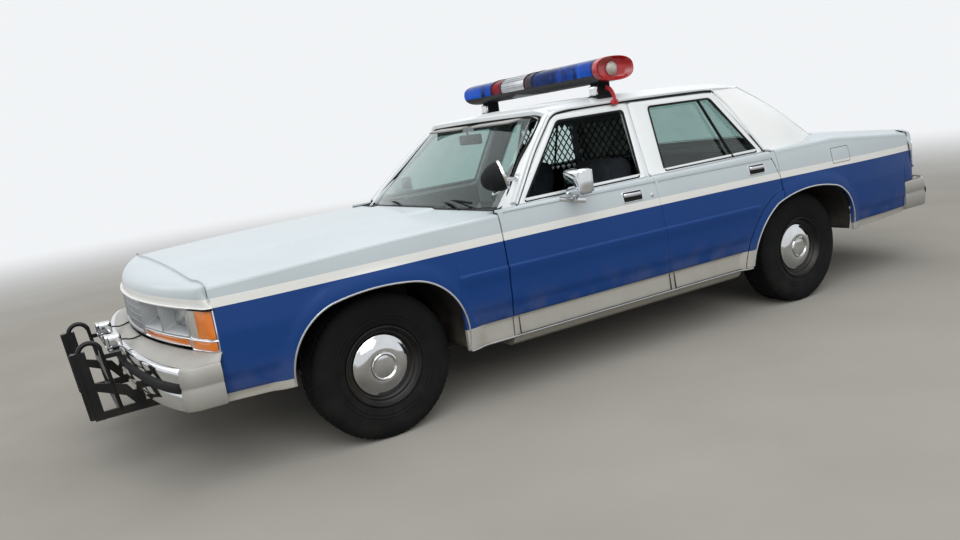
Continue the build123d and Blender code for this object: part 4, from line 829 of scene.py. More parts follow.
def fender_shell():
    """Side columns that stand on the arch's edge or the sill line and run up over the shoulder."""
    arch = ARCHES["front"]
    gap = size("panel_gap")
    behind, ahead = levels(-664 + gap, arch[-1, 0], 14), levels(arch[0, 0], FENDER_FRONT - gap, 14)
    x = np.unique(np.round(np.concatenate([behind, arch[::-1, 0], ahead]), 1))
    low = np.interp(x, arch[::-1, 0], arch[::-1, 1], left=SILL_TOP + 3, right=404)
    top = shoulder_z(x) - 22
    v = (levels(SILL_TOP, 900, 12, (*SIDE_CREASES, (692, 16))) - SILL_TOP) / (900 - SILL_TOP)
    z = low[:, None] + (top - low)[:, None] * v
    inner = 855 + (x - HOOD_FRONT) / 120
    edge = shoulder_z(x) - 3

    def over(px, py, start, t):
        return blend(start[:, 2], hood_z(px, py), t)

    return grid(rimmed(side_panel(x[:, None], z, edge, inner, over)[::-1]))


def build_fenders():
    """Both fenders."""
    shell = fender_shell()
    for side, turn in SIDES:
        piece(f"fender_{side}_skin", turn(shell), "paint", "body", [f"fender_{side}"])


def middle_shut(z):
    """The shut line between the two doors, straight from the sill to the belt."""
    return np.interp(z, [SILL_TOP, 978], [SHUT_SILL, SHUT_BELT])


def front_door_x(z):
    """Front and rear shut lines of the front door at a height."""
    return np.full_like(z, DOOR_FRONT - size("panel_gap") - 3), middle_shut(z) + size("panel_gap")


def rear_door_x(z):
    """Front and rear shut lines of the rear door; behind, it follows the arch at a set distance."""
    front = middle_shut(z) - size("panel_gap")
    arch = ARCHES["rear"]
    reach = 56
    tangent = unit(np.gradient(arch, axis=0))
    outer = arch + reach * np.stack([tangent[:, 1], -tangent[:, 0]], axis=1)
    outer = outer[np.argsort(outer[:, 1])]
    ahead = outer[outer[:, 0] > REAR_AXLE + 240]
    curve = np.interp(z, ahead[:, 1], ahead[:, 0])
    line = np.interp(z, [828, 990], [-2653, -2597])
    rear = np.where(z > ahead[-1, 1], line, np.maximum(curve, line))
    return front, rear + size("panel_gap")


def door_shell(lines):
    """Rows at fixed heights between two shut lines, turned in at the belt."""
    z = levels(SILL_TOP + 5, 946, 14, (*SIDE_CREASES, (690, 18), (735, 30)))
    x_front, x_rear = lines(z)
    x = x_rear + (x_front - x_rear) * np.linspace(0, 1, 90)[:, None]
    return grid(rimmed(side_panel(x, z, belt_z(x[:, -1]), DOOR_TOP_IN)[::-1], depth=10))


def door_lining(lines):
    """The door's inner panel: set in from the skin, with a padded armrest along it."""
    z = levels(SILL_TOP + 8, 940, 16, ((600, 60),), 8)
    x_front, x_rear = lines(z)
    x_front = x_front - 30
    x_rear = x_rear + 6
    u = np.linspace(0, 1, 60)[:, None]
    x = x_rear + (x_front - x_rear) * u
    rest = 34 * rise((640 - z) / 14) * rise((z - 560) / 50) * rise(u / 0.15) * rise((1 - u) / 0.2)
    return placed(x, HALF_WIDTH - 92 - rest - 0.04 * (z - 640), z)


def build_doors():
    """Four doors: outer skins and linings, with their edges closed."""
    for place, lines in (("front", front_door_x), ("rear", rear_door_x)):
        skin = door_shell(lines)
        lining = grid(rimmed(door_lining(lines), 4, 60))
        for side, turn in SIDES:
            body = f"door_{place}_{side}"
            piece(f"{body}_skin", turn(skin), "paint", body, [body])
            piece(f"{body}_lining", turn(lining), "trim", body)


def hood_front(y):
    """Station of the hood's front gap, which sweeps back at its corners to meet the fender gap."""
    return HOOD_FRONT - (HOOD_FRONT - FENDER_FRONT) * rise((np.abs(y) - 740) / 110)


def build_hood():
    """The hood: a grid between its two edges, following the crowned top with its raised middle."""
    s, t = sheet(131, 120)
    rear = -598 - 100 * s ** 2
    front = hood_front(HOOD_HALF * s) - size("panel_gap")
    x = rear + (front - rear) * t
    y = s * (HOOD_HALF + (x - HOOD_FRONT) / 120)
    piece("hood_skin", grid(rimmed(placed(x, y, hood_z(x, y))[::-1], 3, 22)), "paint", "hood", ["hood"])


def build_trunk_lid():
    """The lid: its crowned top, the turn down at the tail and, between the lamps, the drop below."""
    s, v = sheet(121, 70)
    y = s * (770 + (LID_FRONT - TAIL_MIDDLE) * 0.034 * v)
    radius = 18
    x = LID_FRONT + (tail_x(y) + radius - LID_FRONT) * v
    top = placed(x, y, deck_z(x, y))
    turn = np.radians(np.linspace(10, 90, 9))
    last = top[:, -1]
    fall = [last + placed(-radius * math.sin(a), 0, -radius * (1 - math.cos(a))) for a in turn]
    level = np.linspace(0, 1, 5)[1:]
    low = [placed(fall[-1][:, 0], last[:, 1], blend(fall[-1][:, 2], 882, k)) for k in level]
    skin = grid(rimmed(np.concatenate([top, np.stack(fall + low, axis=1)], axis=1), 3, 16))
    u, w = np.meshgrid(np.linspace(-464, 464, 60), np.linspace(884, 706, 16), indexing="ij")
    recess = 5 * rise((850 - w) / 12) * rise((w - 722) / 12) * rise((440 - np.abs(u)) / 12)
    drop = placed(tail_x(u) + recess, u, w)
    lid = joined(skin, grid(rimmed(drop, 3, 16, "abd")))
    piece("trunk_lid_skin", lid, "paint", "trunk_lid", ["trunk_lid"])
    piece("blank_plate", slab(-4186, -4181, -153, 153, 718, 870, 2), "plate", "trunk_lid")
    lock = [(16, -6), (16, 4), (12, 7), (5, 7), (4, 5), (0, 5)]
    piece("trunk_lock", turned(lock, (TAIL_MIDDLE, 0, 896), (-1, 0, 0), 32), "chrome", "trunk_lid")


def quarter_shell():
    """Columns that stand on the arch or the lower edge and end at the roof's base or the lid's gap."""
    arch = ARCHES["rear"]
    x = np.concatenate([levels(TAIL_CORNER, arch[-1, 0], 12), arch[::-1, 0]])
    x = np.unique(np.round(x[x < -2655 + size("panel_gap")], 1))
    low = np.interp(x, arch[::-1, 0], arch[::-1, 1])
    behind = x < arch[-1, 0]
    low = np.where(behind, np.interp(x, [-3950, -3940, arch[-1, 0]], [612, 404, 398]), low)
    edge = np.interp(x, [-4060, -3212, -2600], [930, 1000, 990])
    v = (levels(SILL_TOP, 990, 12, (*SIDE_CREASES, (840, 20))) - SILL_TOP) / (990 - SILL_TOP)
    z = low[:, None] + (edge - 26 - low)[:, None] * v
    foot = 868 - pillar_in(x)
    inner = np.where(x > -3210, foot, np.interp(x, [-4060, -3300, -3210], [799, 776, 766]))

    def over(px, py, start, t):
        flat = start[:, 2] + 2
        swept_up = flat + (deck_z(np.minimum(px, -3204), py) - flat) * rise((-3040 - px) / 164)
        return blend(start[:, 2], swept_up, t)

    return grid(rimmed(side_panel(x[:, None], z, edge, inner, over)[::-1], sides="acd"))


def arch_strip(z0, z1):
    """The quarter's strip between the arch, or the quarter's front edge, and the rear door's shut line."""
    z = levels(z0, z1, 8)
    _, rear = rear_door_x(z)
    arch = ARCHES["rear"]
    ahead = arch[arch[:, 0] > REAR_AXLE + 60]
    ahead = ahead[np.argsort(ahead[:, 1])]
    edge = np.where(z > ahead[-1, 1], QUARTER_FRONT, np.interp(z, ahead[:, 1], ahead[:, 0]))
    edge = np.maximum(edge, QUARTER_FRONT)
    outer = rear - 2 * size("panel_gap")
    keep = outer > edge + 1
    u = np.linspace(0, 1, 12)
    x = edge[keep] + (outer - edge)[keep] * u[:, None]
    return grid(rimmed(side_place(x, z[keep], 0)[::-1], sides="b"))


def build_quarters():
    """Both quarter panels."""
    shell = joined(quarter_shell(), arch_strip(SILL_TOP + 4, 790), arch_strip(782, 984))
    for side, turn in SIDES:
        piece(f"quarter_{side}_skin", turn(shell), "paint", "body", [f"quarter_{side}"])


# Greenhouse

def glass_y(z):
    """Half width of the glass planes at a height."""
    return 906 - (z - 955) * 206 / 393


def pillar_in(x):
    """How far the rear pillar's foot has come in, growing from ahead of it towards the deck."""
    return 110 * rise((-2700 - x) / 520) ** 1.3


def tuck(x):
    """How far the rear pillar has come in at its top, from the drip rail back to the window."""
    return 90 * rise(-0.2 + 1.2 * (-2424 - x) / 318) ** 2


def roof_z(x, y):
    """The roof: a long arc in side view, and across it a flat crown that falls to the gutter."""
    t = (x + 1990) / 800
    middle = 1457 - 34 * np.abs(t) ** 2.6 - 22 * np.clip(np.abs(t) - 0.9, 0, None)
    return middle - 12 * (y / 590) ** 2 - 40 * rise((np.abs(y) + tuck(x) - 570) / 180)


def build_roof():
    """Roof panel between the windscreen's top and the rear window's top."""
    s, t = sheet(121, 90)
    front = -1146 - 70 * s ** 2
    rear = -2798 + 46 * s ** 2
    x = rear + (front - rear) * t
    y = s * (688 - tuck(x))
    piece("roof_skin", grid(rimmed(placed(x, y, roof_z(x, y))[::-1], 4, 20)), "roof", "body")


def smooth_line(points, count=40):
    """A line of points made smooth and even, by Catmull-Rom pieces."""
    p = np.asarray(points, float)
    p = np.concatenate([[2 * p[0] - p[1]], p, [2 * p[-1] - p[-2]]])
    t = np.linspace(0, len(p) - 3, count)
    k = np.minimum(t.astype(int), len(p) - 4)
    f = (t - k)[:, None]
    a, b, c, d = p[k], p[k + 1], p[k + 2], p[k + 3]
    return 0.5 * (
        2 * b + (c - a) * f + (2 * a - 5 * b + 4 * c - d) * f ** 2 + (3 * b - a - 3 * c + d) * f ** 3
    )


def pillar_sheet(foot, head, count, stand):
    """
    A panel of the rear pillar between a line at its foot and one at its head, standing out from the
    glass by stand, and drawn in at the foot like the deck and at the head like the roof.
    """
    w = np.linspace(0, 1, count)
    x, z = np.moveaxis(blend(foot[:, None], head[:, None], w[:, None]), -1, 0)
    return placed(x, glass_y(z) + stand - blend(pillar_in(x), tuck(head[:, :1]), w), z), w


def build_pillars():
    """The windscreen pillars and the broad vinyl rear pillars with their moulding."""
    shield = smooth_line([(-742, 806, 944), (-980, 704, 1156), (-1216, 596, 1372)], 24)
    outer = smooth_line([(-800, 892, 952), (-1010, 790, 1160), (-1244, 686, 1384)], 24)
    u = np.linspace(0, 1, 10)[:, None]
    p = np.stack([blend(a, b, u) + [6, 4, 0] * np.sin(u * math.pi) for a, b in zip(shield, outer)])
    pillar = grid(rimmed(p[::-1], 3, 22))
    rear_low = smooth_line([(-2622, 992), (-2790, 972), (-3010, 968), (-3150, 984), (-3203, 1022)], 40)
    rear_high = smooth_line([(-2424, 1378), (-2500, 1396), (-2600, 1391), (-2680, 1387), (-2752, 1384)], 40)
    panel, w = pillar_sheet(rear_low, rear_high, 40, 8)
    panel[..., 1] += 6 * np.sin(w * math.pi)
    quarter = grid(rimmed(panel, 3, 22))
    below = [(-2616, 1002), (-2700, 984), (-2830, 972), (-3010, 972), (-3130, 984), (-3196, 1018)]
    foot = lean_path(below, 0, 60)
    foot[:, 1] += 8 - pillar_in(foot[:, 0])
    edge = lean_path([(-2612, 1000), (-2560, 1130), (-2500, 1280), (-2440, 1376)], 14, 40)
    mould = joined(
        swept(foot, slab_profile(14, 16, 5, 4)), swept(edge, slab_profile(16, 12, 5, 4), up=(0, 1, 0))
    )
    piece("rear_pillar_moulding", both(mould), "roof", "body")
    piece("pillar_skins", both(pillar), "roof", "body", ["roof_and_pillars"])
    piece("rear_pillar_vinyl", both(quarter), "vinyl", "body")


def window_frame(outer, hole):
    """A door's window frame: a loop between the window's edge and the frame's outer line."""
    inner = resample_loop(hole)
    rim = resample_loop(outer)
    u = np.linspace(0, 1, 8)
    x, z = (blend(inner[:, None, k], rim[:, None, k], u) for k in (0, 1))
    return placed(x, glass_y(z) + 2 + 7 * np.sin(u * math.pi) ** 0.6, z)


def resample_loop(corners, count=96, radius=26):
    """A closed outline with rounded corners, as evenly matched points: each side gets as many."""
    corners = np.asarray(corners, float)
    sides = len(corners)
    per = count // sides
    out = []
    for k in range(sides):
        a, b, c = corners[k - 1], corners[k], corners[(k + 1) % sides]
        da, dc = unit(a - b) * radius, unit(c - b) * radius
        t = np.linspace(0, 1, 7)[:, None]
        out.append((b + da) * (1 - t) ** 2 + 2 * b * t * (1 - t) + (b + dc) * t ** 2)
        end = corners[(k + 1) % sides] + unit(b - c) * radius
        s = np.linspace(0, 1, per - 5)[1:-1, None]
        out.append((b + dc) * (1 - s) + end * s)
    return np.concatenate(out)


FRONT_HOLE = [(-852, 968), (-1244, 1338), (-1708, 1346), (-1622, 980)]
FRONT_RIM = [(-796, 962), (-1237, 1376), (-1757, 1384), (-1668, 975)]
REAR_HOLE = [(-1806, 986), (-1896, 1346), (-2388, 1345), (-2562, 994)]
REAR_RIM = [(-1690, 976), (-1768, 1384), (-2424, 1380), (-2606, 990)]


def build_window_frames():
    """Painted frames of the four doors."""
    for place, rim, hole in (("front", FRONT_RIM, FRONT_HOLE), ("rear", REAR_RIM, REAR_HOLE)):
        shell = grid(rimmed(window_frame(rim, hole), 2, 24, "cd"), wrap_rows=True)
        for side, turn in SIDES:
            piece(f"door_{place}_{side}_window_frame", turn(shell), "roof", f"door_{place}_{side}")


# Shapes along a line seen from above

class Outline:
    """A line seen from above, walked by its running length; out is measured square to it."""

    def __init__(self, points, sign=1):
        self.xy = np.asarray(points, float)
        step = np.hypot(*np.diff(self.xy, axis=0).T)
        self.s = np.concatenate([[0], np.cumsum(step)])
        along = unit(np.gradient(self.xy, axis=0))
        self.out = sign * np.stack([along[:, 1], -along[:, 0]], axis=1)

    def at(self, s, z, out=0.0):
        """Points at running lengths s and heights z, standing out by out."""
        here, away = ([np.interp(s, self.s, column) for column in line.T] for line in (self.xy, self.out))
        return placed(here[0] + out * away[0], here[1] + out * away[1], z)

    def wide(self, s, z, out):
        """Points for running lengths to either side of the middle."""
        p = self.at(np.abs(s), z, out)
        p[..., 1] *= np.sign(s)
        return p

    def length_at(self, y):
        """Running length where the line reaches a distance from the middle."""
        return float(np.interp(y, self.xy[:, 1], self.s))

    def band(self, s0, s1, profile, count=60, ends="d"):
        """A closed (out, height) profile carried between two running lengths, capped at end d or at c too."""
        profile = np.asarray(profile, float)
        p = self.at(np.linspace(s0, s1, count)[:, None], profile[:, 1], profile[:, 0])
        closed = capped(p)
        return outward(grid(closed if "c" in ends else closed[1:], wrap_cols=True))


def arc_x(y, middle, sag, half):
    """Place of a flat circular arc whose ends fall back by sag at half from the middle."""
    radius = (half ** 2 + sag ** 2) / (2 * abs(sag))
    drop = radius - np.sqrt(radius ** 2 - np.asarray(y, float) ** 2)
    return middle - math.copysign(1, sag) * drop


def tail_x(y):
    """The tail's slightly bent rear edge, seen from above."""
    return arc_x(y, TAIL_MIDDLE, -14, 820)


def bezier(a, b, c, count=12):
    """Points of a three-point curve."""
    a, b, c = (np.asarray(p, float) for p in (a, b, c))
    t = np.linspace(0, 1, count)[:, None]
    return a * (1 - t) ** 2 + 2 * b * t * (1 - t) + c * t ** 2


def nose_outline():
    """The front's outline from the middle round the corner to the fender gap."""
    y = np.linspace(0, 770, 60)
    arc = np.stack([arc_x(y, 918, 120, 776), y], axis=1)
    straight = np.linspace((796, 780), (748, 916), 12)
    corner = bezier((746, 922), (738, 946), (708, 948), 14)
    return Outline(np.concatenate([arc, straight, corner]))


def tail_outline():
    """The tail's outline from the middle round the corner to the quarter's end."""
    y = np.linspace(0, 800, 60)
    arc = np.stack([tail_x(y), y], axis=1)
    corner = bezier((-4171, 806), (-4168, 858), (-4118, 882), 14)
    straight = np.linspace((-4112, 885), (-4058, 912), 8)
    return Outline(np.concatenate([arc, corner, straight]), -1)


NOSE = nose_outline()
TAIL = tail_outline()
HALF_GRILLE = 300
BEZEL_END = 792


def rounded_loop(a0, a1, z0, z1, radius, per_side=8):
    """A closed rectangle with rounded corners, each straight side cut into equal steps."""
    turn = np.linspace(0, math.pi / 2, 5)
    runs = []
    corners = (
        (a1 - radius, z1 - radius), (a0 + radius, z1 - radius), (a0 + radius, z0 + radius),
        (a1 - radius, z0 + radius)
    )
    for k, (ca, cz) in enumerate(corners):
        angle = turn + k * math.pi / 2
        arc = np.stack([ca + radius * np.cos(angle), cz + radius * np.sin(angle)], axis=1)
        na, nz = corners[(k + 1) % 4]
        end = np.array([na + radius * math.cos(angle[-1]), nz + radius * math.sin(angle[-1])])
        runs += [arc, np.linspace(arc[-1], end, per_side + 1)[1:-1]]
    return np.concatenate(runs)


def place_way(place, rect):
    """The way that out stands for at a rectangle's middle."""
    along, height = np.full(1, (rect[0] + rect[1]) / 2), np.full(1, (rect[2] + rect[3]) / 2)
    return (place(along, height, np.full(1, 1.0)) - place(along, height, np.full(1, 0.0)))[0]


def pocket(place, rect, steps, radius=6, close=False, per_side=8):
    """
    Loops of a rounded rectangle, one for each step (inset at the sides, below, above, and how far
    out); place turns (along, height, out) into a point. Closed at the last loop's middle on request.
    """
    a0, a1, z0, z1 = rect
    rows = []
    for side, low, high, out in steps:
        r = max(radius - 0.4 * side, 1.5)
        loop = rounded_loop(a0 + side, a1 - side, z0 + low, z1 - high, r, per_side)
        rows.append(place(loop[:, 0], loop[:, 1], out))
    if close:
        rows.append(np.broadcast_to(rows[-1].mean(axis=0), rows[-1].shape))
    return facing(grid(np.stack(rows), wrap_cols=True), place_way(place, rect))


def even(*steps):
    """A pocket's steps from (inset, out) pairs, with the same inset on every side."""
    return [(inset, inset, inset, out) for inset, out in steps]


def pane(place, rect, out, bulge, radius=8, rings=7):
    """A lens over a rounded rectangle that swells by bulge towards its middle."""
    a0, a1, z0, z1 = rect
    loop = rounded_loop(a0, a1, z0, z1, radius)
    middle = np.array([(a0 + a1) / 2, (z0 + z1) / 2])
    rows = [place(loop[:, 0], loop[:, 1], out - 6), place(loop[:, 0], loop[:, 1], out)]
    for t in np.linspace(0, 1, rings)[1:]:
        inner = loop + (middle - loop) * t
        rows.append(place(inner[:, 0], inner[:, 1], out + bulge * (1 - (1 - t) ** 2)))
    return facing(grid(np.stack(rows), wrap_cols=True), place_way(place, rect))


# Wheels

TRACK_HALF = 780
TYRE_SECTION = [
    # radius, distance out from the tyre's middle
    (190, 84), (195, 94), (206, 99), (222, 101.5), (226, 104), (230, 101.5), (238, 103.5), (242, 106),
    (246, 104), (270, 106.5), (288, 107), (308, 104.5), (322, 99), (332, 92), (339, 86),
]
TREAD = [
    # from the shoulder inwards, with the grooves
    (344.5, 80), (346, 70), (347, 58), (340, 56), (340, 49), (347, 47), (347, 22), (340, 20), (340, 13),
    (347, 11),
]
RIM_SECTION = [
    # radius, distance out from the wheel's middle
    (0, 58), (120, 58), (144, 60), (150, 64), (158, 72), (166, 72), (174, 78), (181, 90), (185, 97),
    (190, 96), (190, 86), (176, 78), (172, 0), (176, -78), (190, -86), (190, -92), (184, -92), (168, -76),
    (162, 0), (158, 40), (0, 44),
]
CAP_SECTION = [
    (0, 95), (26, 94.5), (44, 92), (51, 91), (55, 95.5), (60, 98), (65, 95.5), (68, 90.5), (74, 91.5),
    (92, 89), (110, 84), (126, 76.5), (137, 69), (141, 68), (144, 66), (143, 62), (138, 61),
]


def tyre_shell(centre):
    """The tyre's section turned about the hub, its shoulders notched all the way round."""
    half = np.array(TYRE_SECTION + TREAD, float)
    section = np.concatenate([half, half[::-1] * [1, -1]])
    count = 216
    t = np.linspace(0, 2 * math.pi, count, endpoint=False)
    radius, y = section.T[:, :, None]
    shoulder = (np.abs(y) > 56) & (radius > 338) & (np.abs(y) < 86)
    notch = np.where(np.arange(count) % 3 == 0, 5.0, 0.0)
    notch[np.abs(t - math.pi / 2 * 3) < 0.05] = 0
    r = radius - shoulder * notch
    p = placed(r * np.cos(t), y, r * np.sin(t)) + np.asarray(centre, float)
    return outward(grid(p, wrap_rows=True, wrap_cols=True))


def build_wheels():
    """Four tyres, black steel wheels and bright caps."""
    for place, station in (("front", 0), ("rear", REAR_AXLE)):
        centre = (station, TRACK_HALF, HUB_Z)
        shells = {
            "tyre": (tyre_shell(centre), "tyre", f"tyre_{place}"),
            "rim": (turned(RIM_SECTION, centre, count=96), "black_steel", f"wheel_{place}"),
            "cap": (turned(CAP_SECTION, centre, count=96), "chrome", None),
        }
        for side, turn in SIDES:
            body = f"wheel_{place}_{side}"
            for part, (shell, finish, node) in shells.items():
                hidden = [f"{node}_{side}"] if node else []
                piece(f"{part}_{place}_{side}_turned", turn(shell), finish, body, hidden, 30)


def build_wheel_houses():
    """Dark liners that follow the arches inside the body."""
    shells = []
    for name in ("front", "rear"):
        line = ARCHES[name]
        middle = np.array([line[:, 0].mean(), 420])
        grown = line + unit(line - middle) * 16
        shells.append(grid(placed(grown[:, :1], np.array([560, 600, 760, 900, 940]), grown[:, 1:])))
    piece("wheel_house_liners", both(joined(*shells)), "under", "body", solid=3)


# Front end

def arcs_up(low, high, count, power=0.72):
    """Superelliptic arcs that run back and up from each point of a lower edge to its upper one."""
    angle = np.linspace(0, math.pi / 2, count)
    across, upward = np.sin(angle) ** power, 1 - np.cos(angle) ** power
    flat = high[:, None, :2] + (low - high)[:, None, :2] * across[:, None]
    tall = high[:, None, 2:] + (low - high)[:, None, 2:] * upward[:, None]
    return np.concatenate([flat, tall], axis=-1)


def mirrored(p):
    """Rows from the middle to one end, carried on over the middle to the other end."""
    return np.concatenate([(p * [1, -1, 1])[:0:-1], p])


def header_shell():
    """
    The painted nose: from each point of the lower edge a superelliptic arc runs back and up to the
    hood gap; past the hood's corner the upper line turns down the fender gap to meet the lower one.
    """
    s = np.concatenate([np.linspace(0, 760, 50), np.linspace(770, NOSE.s[-1], 46)])
    low = NOSE.at(s, 803)
    across = np.linspace(0, 850, 50)
    gap_x = FENDER_FRONT + size("panel_gap")
    side = float(side_y(FENDER_FRONT, 860))
    over = [np.stack([hood_front(across) + size("panel_gap"), across], 1)]
    over.append(np.linspace((gap_x, 856), (gap_x, side - 16), 14))
    edge = np.concatenate(over)
    heights = hood_z(edge[:, 0], edge[:, 1])
    turn = np.radians(np.linspace(10, 90, 8))
    round_z = heights[-1] - 20 + 20 * np.cos(turn)
    fall_z = np.linspace(round_z[-1], 804, 12)[1:]
    path = np.concatenate([
        np.column_stack([edge, heights]),
        placed(gap_x, side - 16 + 16 * np.sin(turn), round_z),
        placed(gap_x, side_y(FENDER_FRONT, fall_z), fall_z),
    ])
    walked = walk(path)
    corner = np.interp(850, path[:50, 1], walked[:50])
    past = corner + (s - 820) / (NOSE.s[-1] - 820) * (walked[-1] - corner)
    high = walked_to(path, np.where(s < 820, s / 820 * corner, past))
    low[-1] = high[-1]
    return grid(rimmed(mirrored(arcs_up(low, high, 16)), 2, 10, "cd"), flip=True)


def nose_place(s, z, out):
    """A point on the front's outline, drawn in at the corner to meet the fender's side."""
    p = NOSE.at(s, z, out)
    drawn = rise((np.asarray(s, float) - 800) / 180) * (948 - side_y(FENDER_FRONT, np.asarray(z, float)))
    p[..., 1] -= drawn * np.sign(p[..., 1])
    return p


def build_front_end():
    """Header panel, grille, headlamps in their deep bezels, and the lamps of the corners."""
    piece("header_skin", header_shell(), "paint", "body", ["header_panel"])
    half = NOSE.length_at(HALF_GRILLE)
    end = NOSE.length_at(BEZEL_END)
    seam = NOSE.band(0, NOSE.s[-1] - 8, [(-16, 806), (-3, 806), (-3, 799), (-16, 799)], 90)
    piece("header_seam", both(seam), "rubber", "body")
    middle = (half + end) / 2 + 4
    bezel = [(0, 0, 0, -60), (0, 0, 0, 0), (3, 3, 3, 3), (9, 8, 7, 3), (12, 11, 10, 0)]
    bezel += [(16, 30, 13, -54), (20, 33, 16, -58)]
    bowl = [(0, 0, 0, -58), (4, 4, 4, -72), (34, 24, 24, -96), (80, 36, 36, -104)]
    bezels, bowls, lenses = [], [], []
    for a0, a1 in ((half + 2, middle), (middle, end)):
        bezels.append(pocket(nose_place, (a0, a1, 671, 798), bezel, 5))
        inner = (a0 + 19, a1 - 19, 703, 783)
        bowls.append(pocket(nose_place, inner, bowl, 8, True))
        lenses.append(pane(nose_place, inner, -52, 8))
    piece("headlamp_bezels", both(joined(*bezels)), "bezel", "body", ["headlamps"], sharp=50)
    piece("headlamp_bowls", both(joined(*bowls)), "chrome", "body")
    piece("headlamp_lenses", both(joined(*lenses)), "clear", "body")
    frame_steps = [(0, 0, 0, -50), (0, 0, 0, 2), (2, 2, 2, 4), (6, 4, 5, 4), (8, 6, 7, 1), (9, 7, 8, -12)]
    turn_rect = (half + 2, end, 632, 671)
    corner_end = NOSE.s[-1] - 3
    corners = [(end + 3, corner_end, 668, 801), (end + 3, corner_end, 619, 668)]
    frames = [pocket(nose_place, rect, frame_steps, 5) for rect in (turn_rect, *corners)]
    piece("lamp_frames", both(joined(*frames)), "chrome", "body", ["marker_lamps"], sharp=50)
    split = end + 3 + (corner_end - end) * 0.34
    upper = corners[0]
    amber = [
        pane(nose_place, (turn_rect[0] + 8, turn_rect[1] - 8, 638, 664), -2, 3, 5),
        pane(nose_place, (split, upper[1] - 8, upper[2] + 7, upper[3] - 9), 1, 4, 6),
        pane(nose_place, (corners[1][0] + 8, corners[1][1] - 8, 625, 661), 0, 3, 5),
    ]
    piece("amber_lenses", both(joined(*amber)), "amber", "body")
    clear = pane(nose_place, (upper[0] + 8, split - 1, upper[2] + 7, upper[3] - 9), 1, 4, 6)
    piece("clear_lenses", both(clear), "clear_side", "body")
    edge = [(-10, 800), (3, 800), (4, 794), (3, 790), (-10, 790)]
    brow = NOSE.band(end + 6, corner_end - 4, edge, 30, "cd")
    piece("corner_brows", both(brow), "rubber", "body")
    build_grille(half)


def build_grille(half):
    """The grille: a bright surround, thin upright bars and three cross bars before a dark back, a sheet of
    painted shade for the space behind the bars.
    """
    steps = even((0, -40), (0, 3), (3, 6), (14, 6), (17, 2), (18, -34))
    surround = pocket(NOSE.wide, (-half, half, 634, 800), steps, 8, per_side=24)
    piece("grille_surround", surround, "bezel", "body", ["grille"], sharp=50)
    bars = []
    for s in np.linspace(-half + 30, half - 30, 27):
        x, y, _ = NOSE.wide(s, 700.0, 0.0)
        bars.append(slab(x - 28, x - 2, y - 2.2, y + 2.2, 650, 784, 1.5))
    for z in (684, 717, 750):
        line = NOSE.wide(np.linspace(-half + 18, half - 18, 40), z, -10)
        bars.append(swept(line, slab_profile(16, 5, 1.5, 3)))
    piece("grille_bars", joined(*bars), "silver_trim", "body", sharp=50)
    # The dark closed back is painted shade: a dark sheet where behind the bars there is shaded space
    hollow = [(0, 0, 0, -34), (60, 30, 30, -34)]
    back = pocket(NOSE.wide, (-half + 18, half - 18, 652, 782), hollow, 6, True, 24)
    piece("grille_back", back, "under", "body")


# Bumpers

# The faces of the bumpers from above: station and half width, from the middle to the end
FRONT_FACE = [
    (1010, 0), (1005, 260), (992, 440), (968, 640), (940, 800), (910, 900), (884, 950), (846, 972),
    (790, 976), (729, 977),
]
REAR_FACE = [
    (-4349, 0), (-4345, 260), (-4333, 440), (-4304, 640), (-4270, 800), (-4236, 890), (-4196, 932),
    (-4130, 945), (-3942, 948),
]


def build_bumpers():
    """Chrome bars with a rubber strip, painted end caps and the filler panels behind them."""
    front, rear = Outline(smooth_line(FRONT_FACE, 90)), Outline(smooth_line(REAR_FACE, 90), -1)
    for name, line, low, high, drawn in (("front", front, 408, 590, 0), ("rear", rear, 412, 604, 11)):
        cap = line.length_at(944 if name == "front" else 936)
        bar = [
            (-56, high - 6), (-50, high - 1), (-24, high), (-12, high - 1), (-4, high - 6), (0, high - 18),
            (1, high - 52), (-2, high - 60), (-2, low + 80), (1, low + 74), (0, low + 12), (-8, low + 3),
            (-20, low), (-54, low), (-60, low + 8), (-60, high - 14),
        ]
        strip = [
            (-4, high - 62), (5, high - 64), (9, high - 70), (10, high - 84), (9, low + 88), (5, low + 82),
            (-4, low + 80)
        ]
        end = [
            (-56, high - 8), (-46, high - 1), (-16, high), (-6, high - 3), (0, high - 12), (4, high - 40),
            (5, high - 74), (1, high - 82), (1, high - 88), (4, high - 96), (5, high - 130), (3, low + 16),
            (-4, low + 3), (-14, low), (-52, low), (-58, low + 8), (-58, high - 16),
        ]
        bar, strip, end = ([(out - drawn, z) for out, z in shape] for shape in (bar, strip, end))
        middle = both(line.band(0, cap + 2, bar, 90))
        piece(f"{name}_bumper_bar", middle, "chrome", "body", [f"{name}_bumper"], sharp=50)
        piece(f"{name}_bumper_strip", both(line.band(0, cap - 2, strip, 90)), "rubber", "body", sharp=50)
        ends = line.band(cap, line.s[-1], end, 40, "cd")
        piece(f"{name}_bumper_ends", both(ends), "end_cap", "body", sharp=44)
    build_fillers(front, rear)


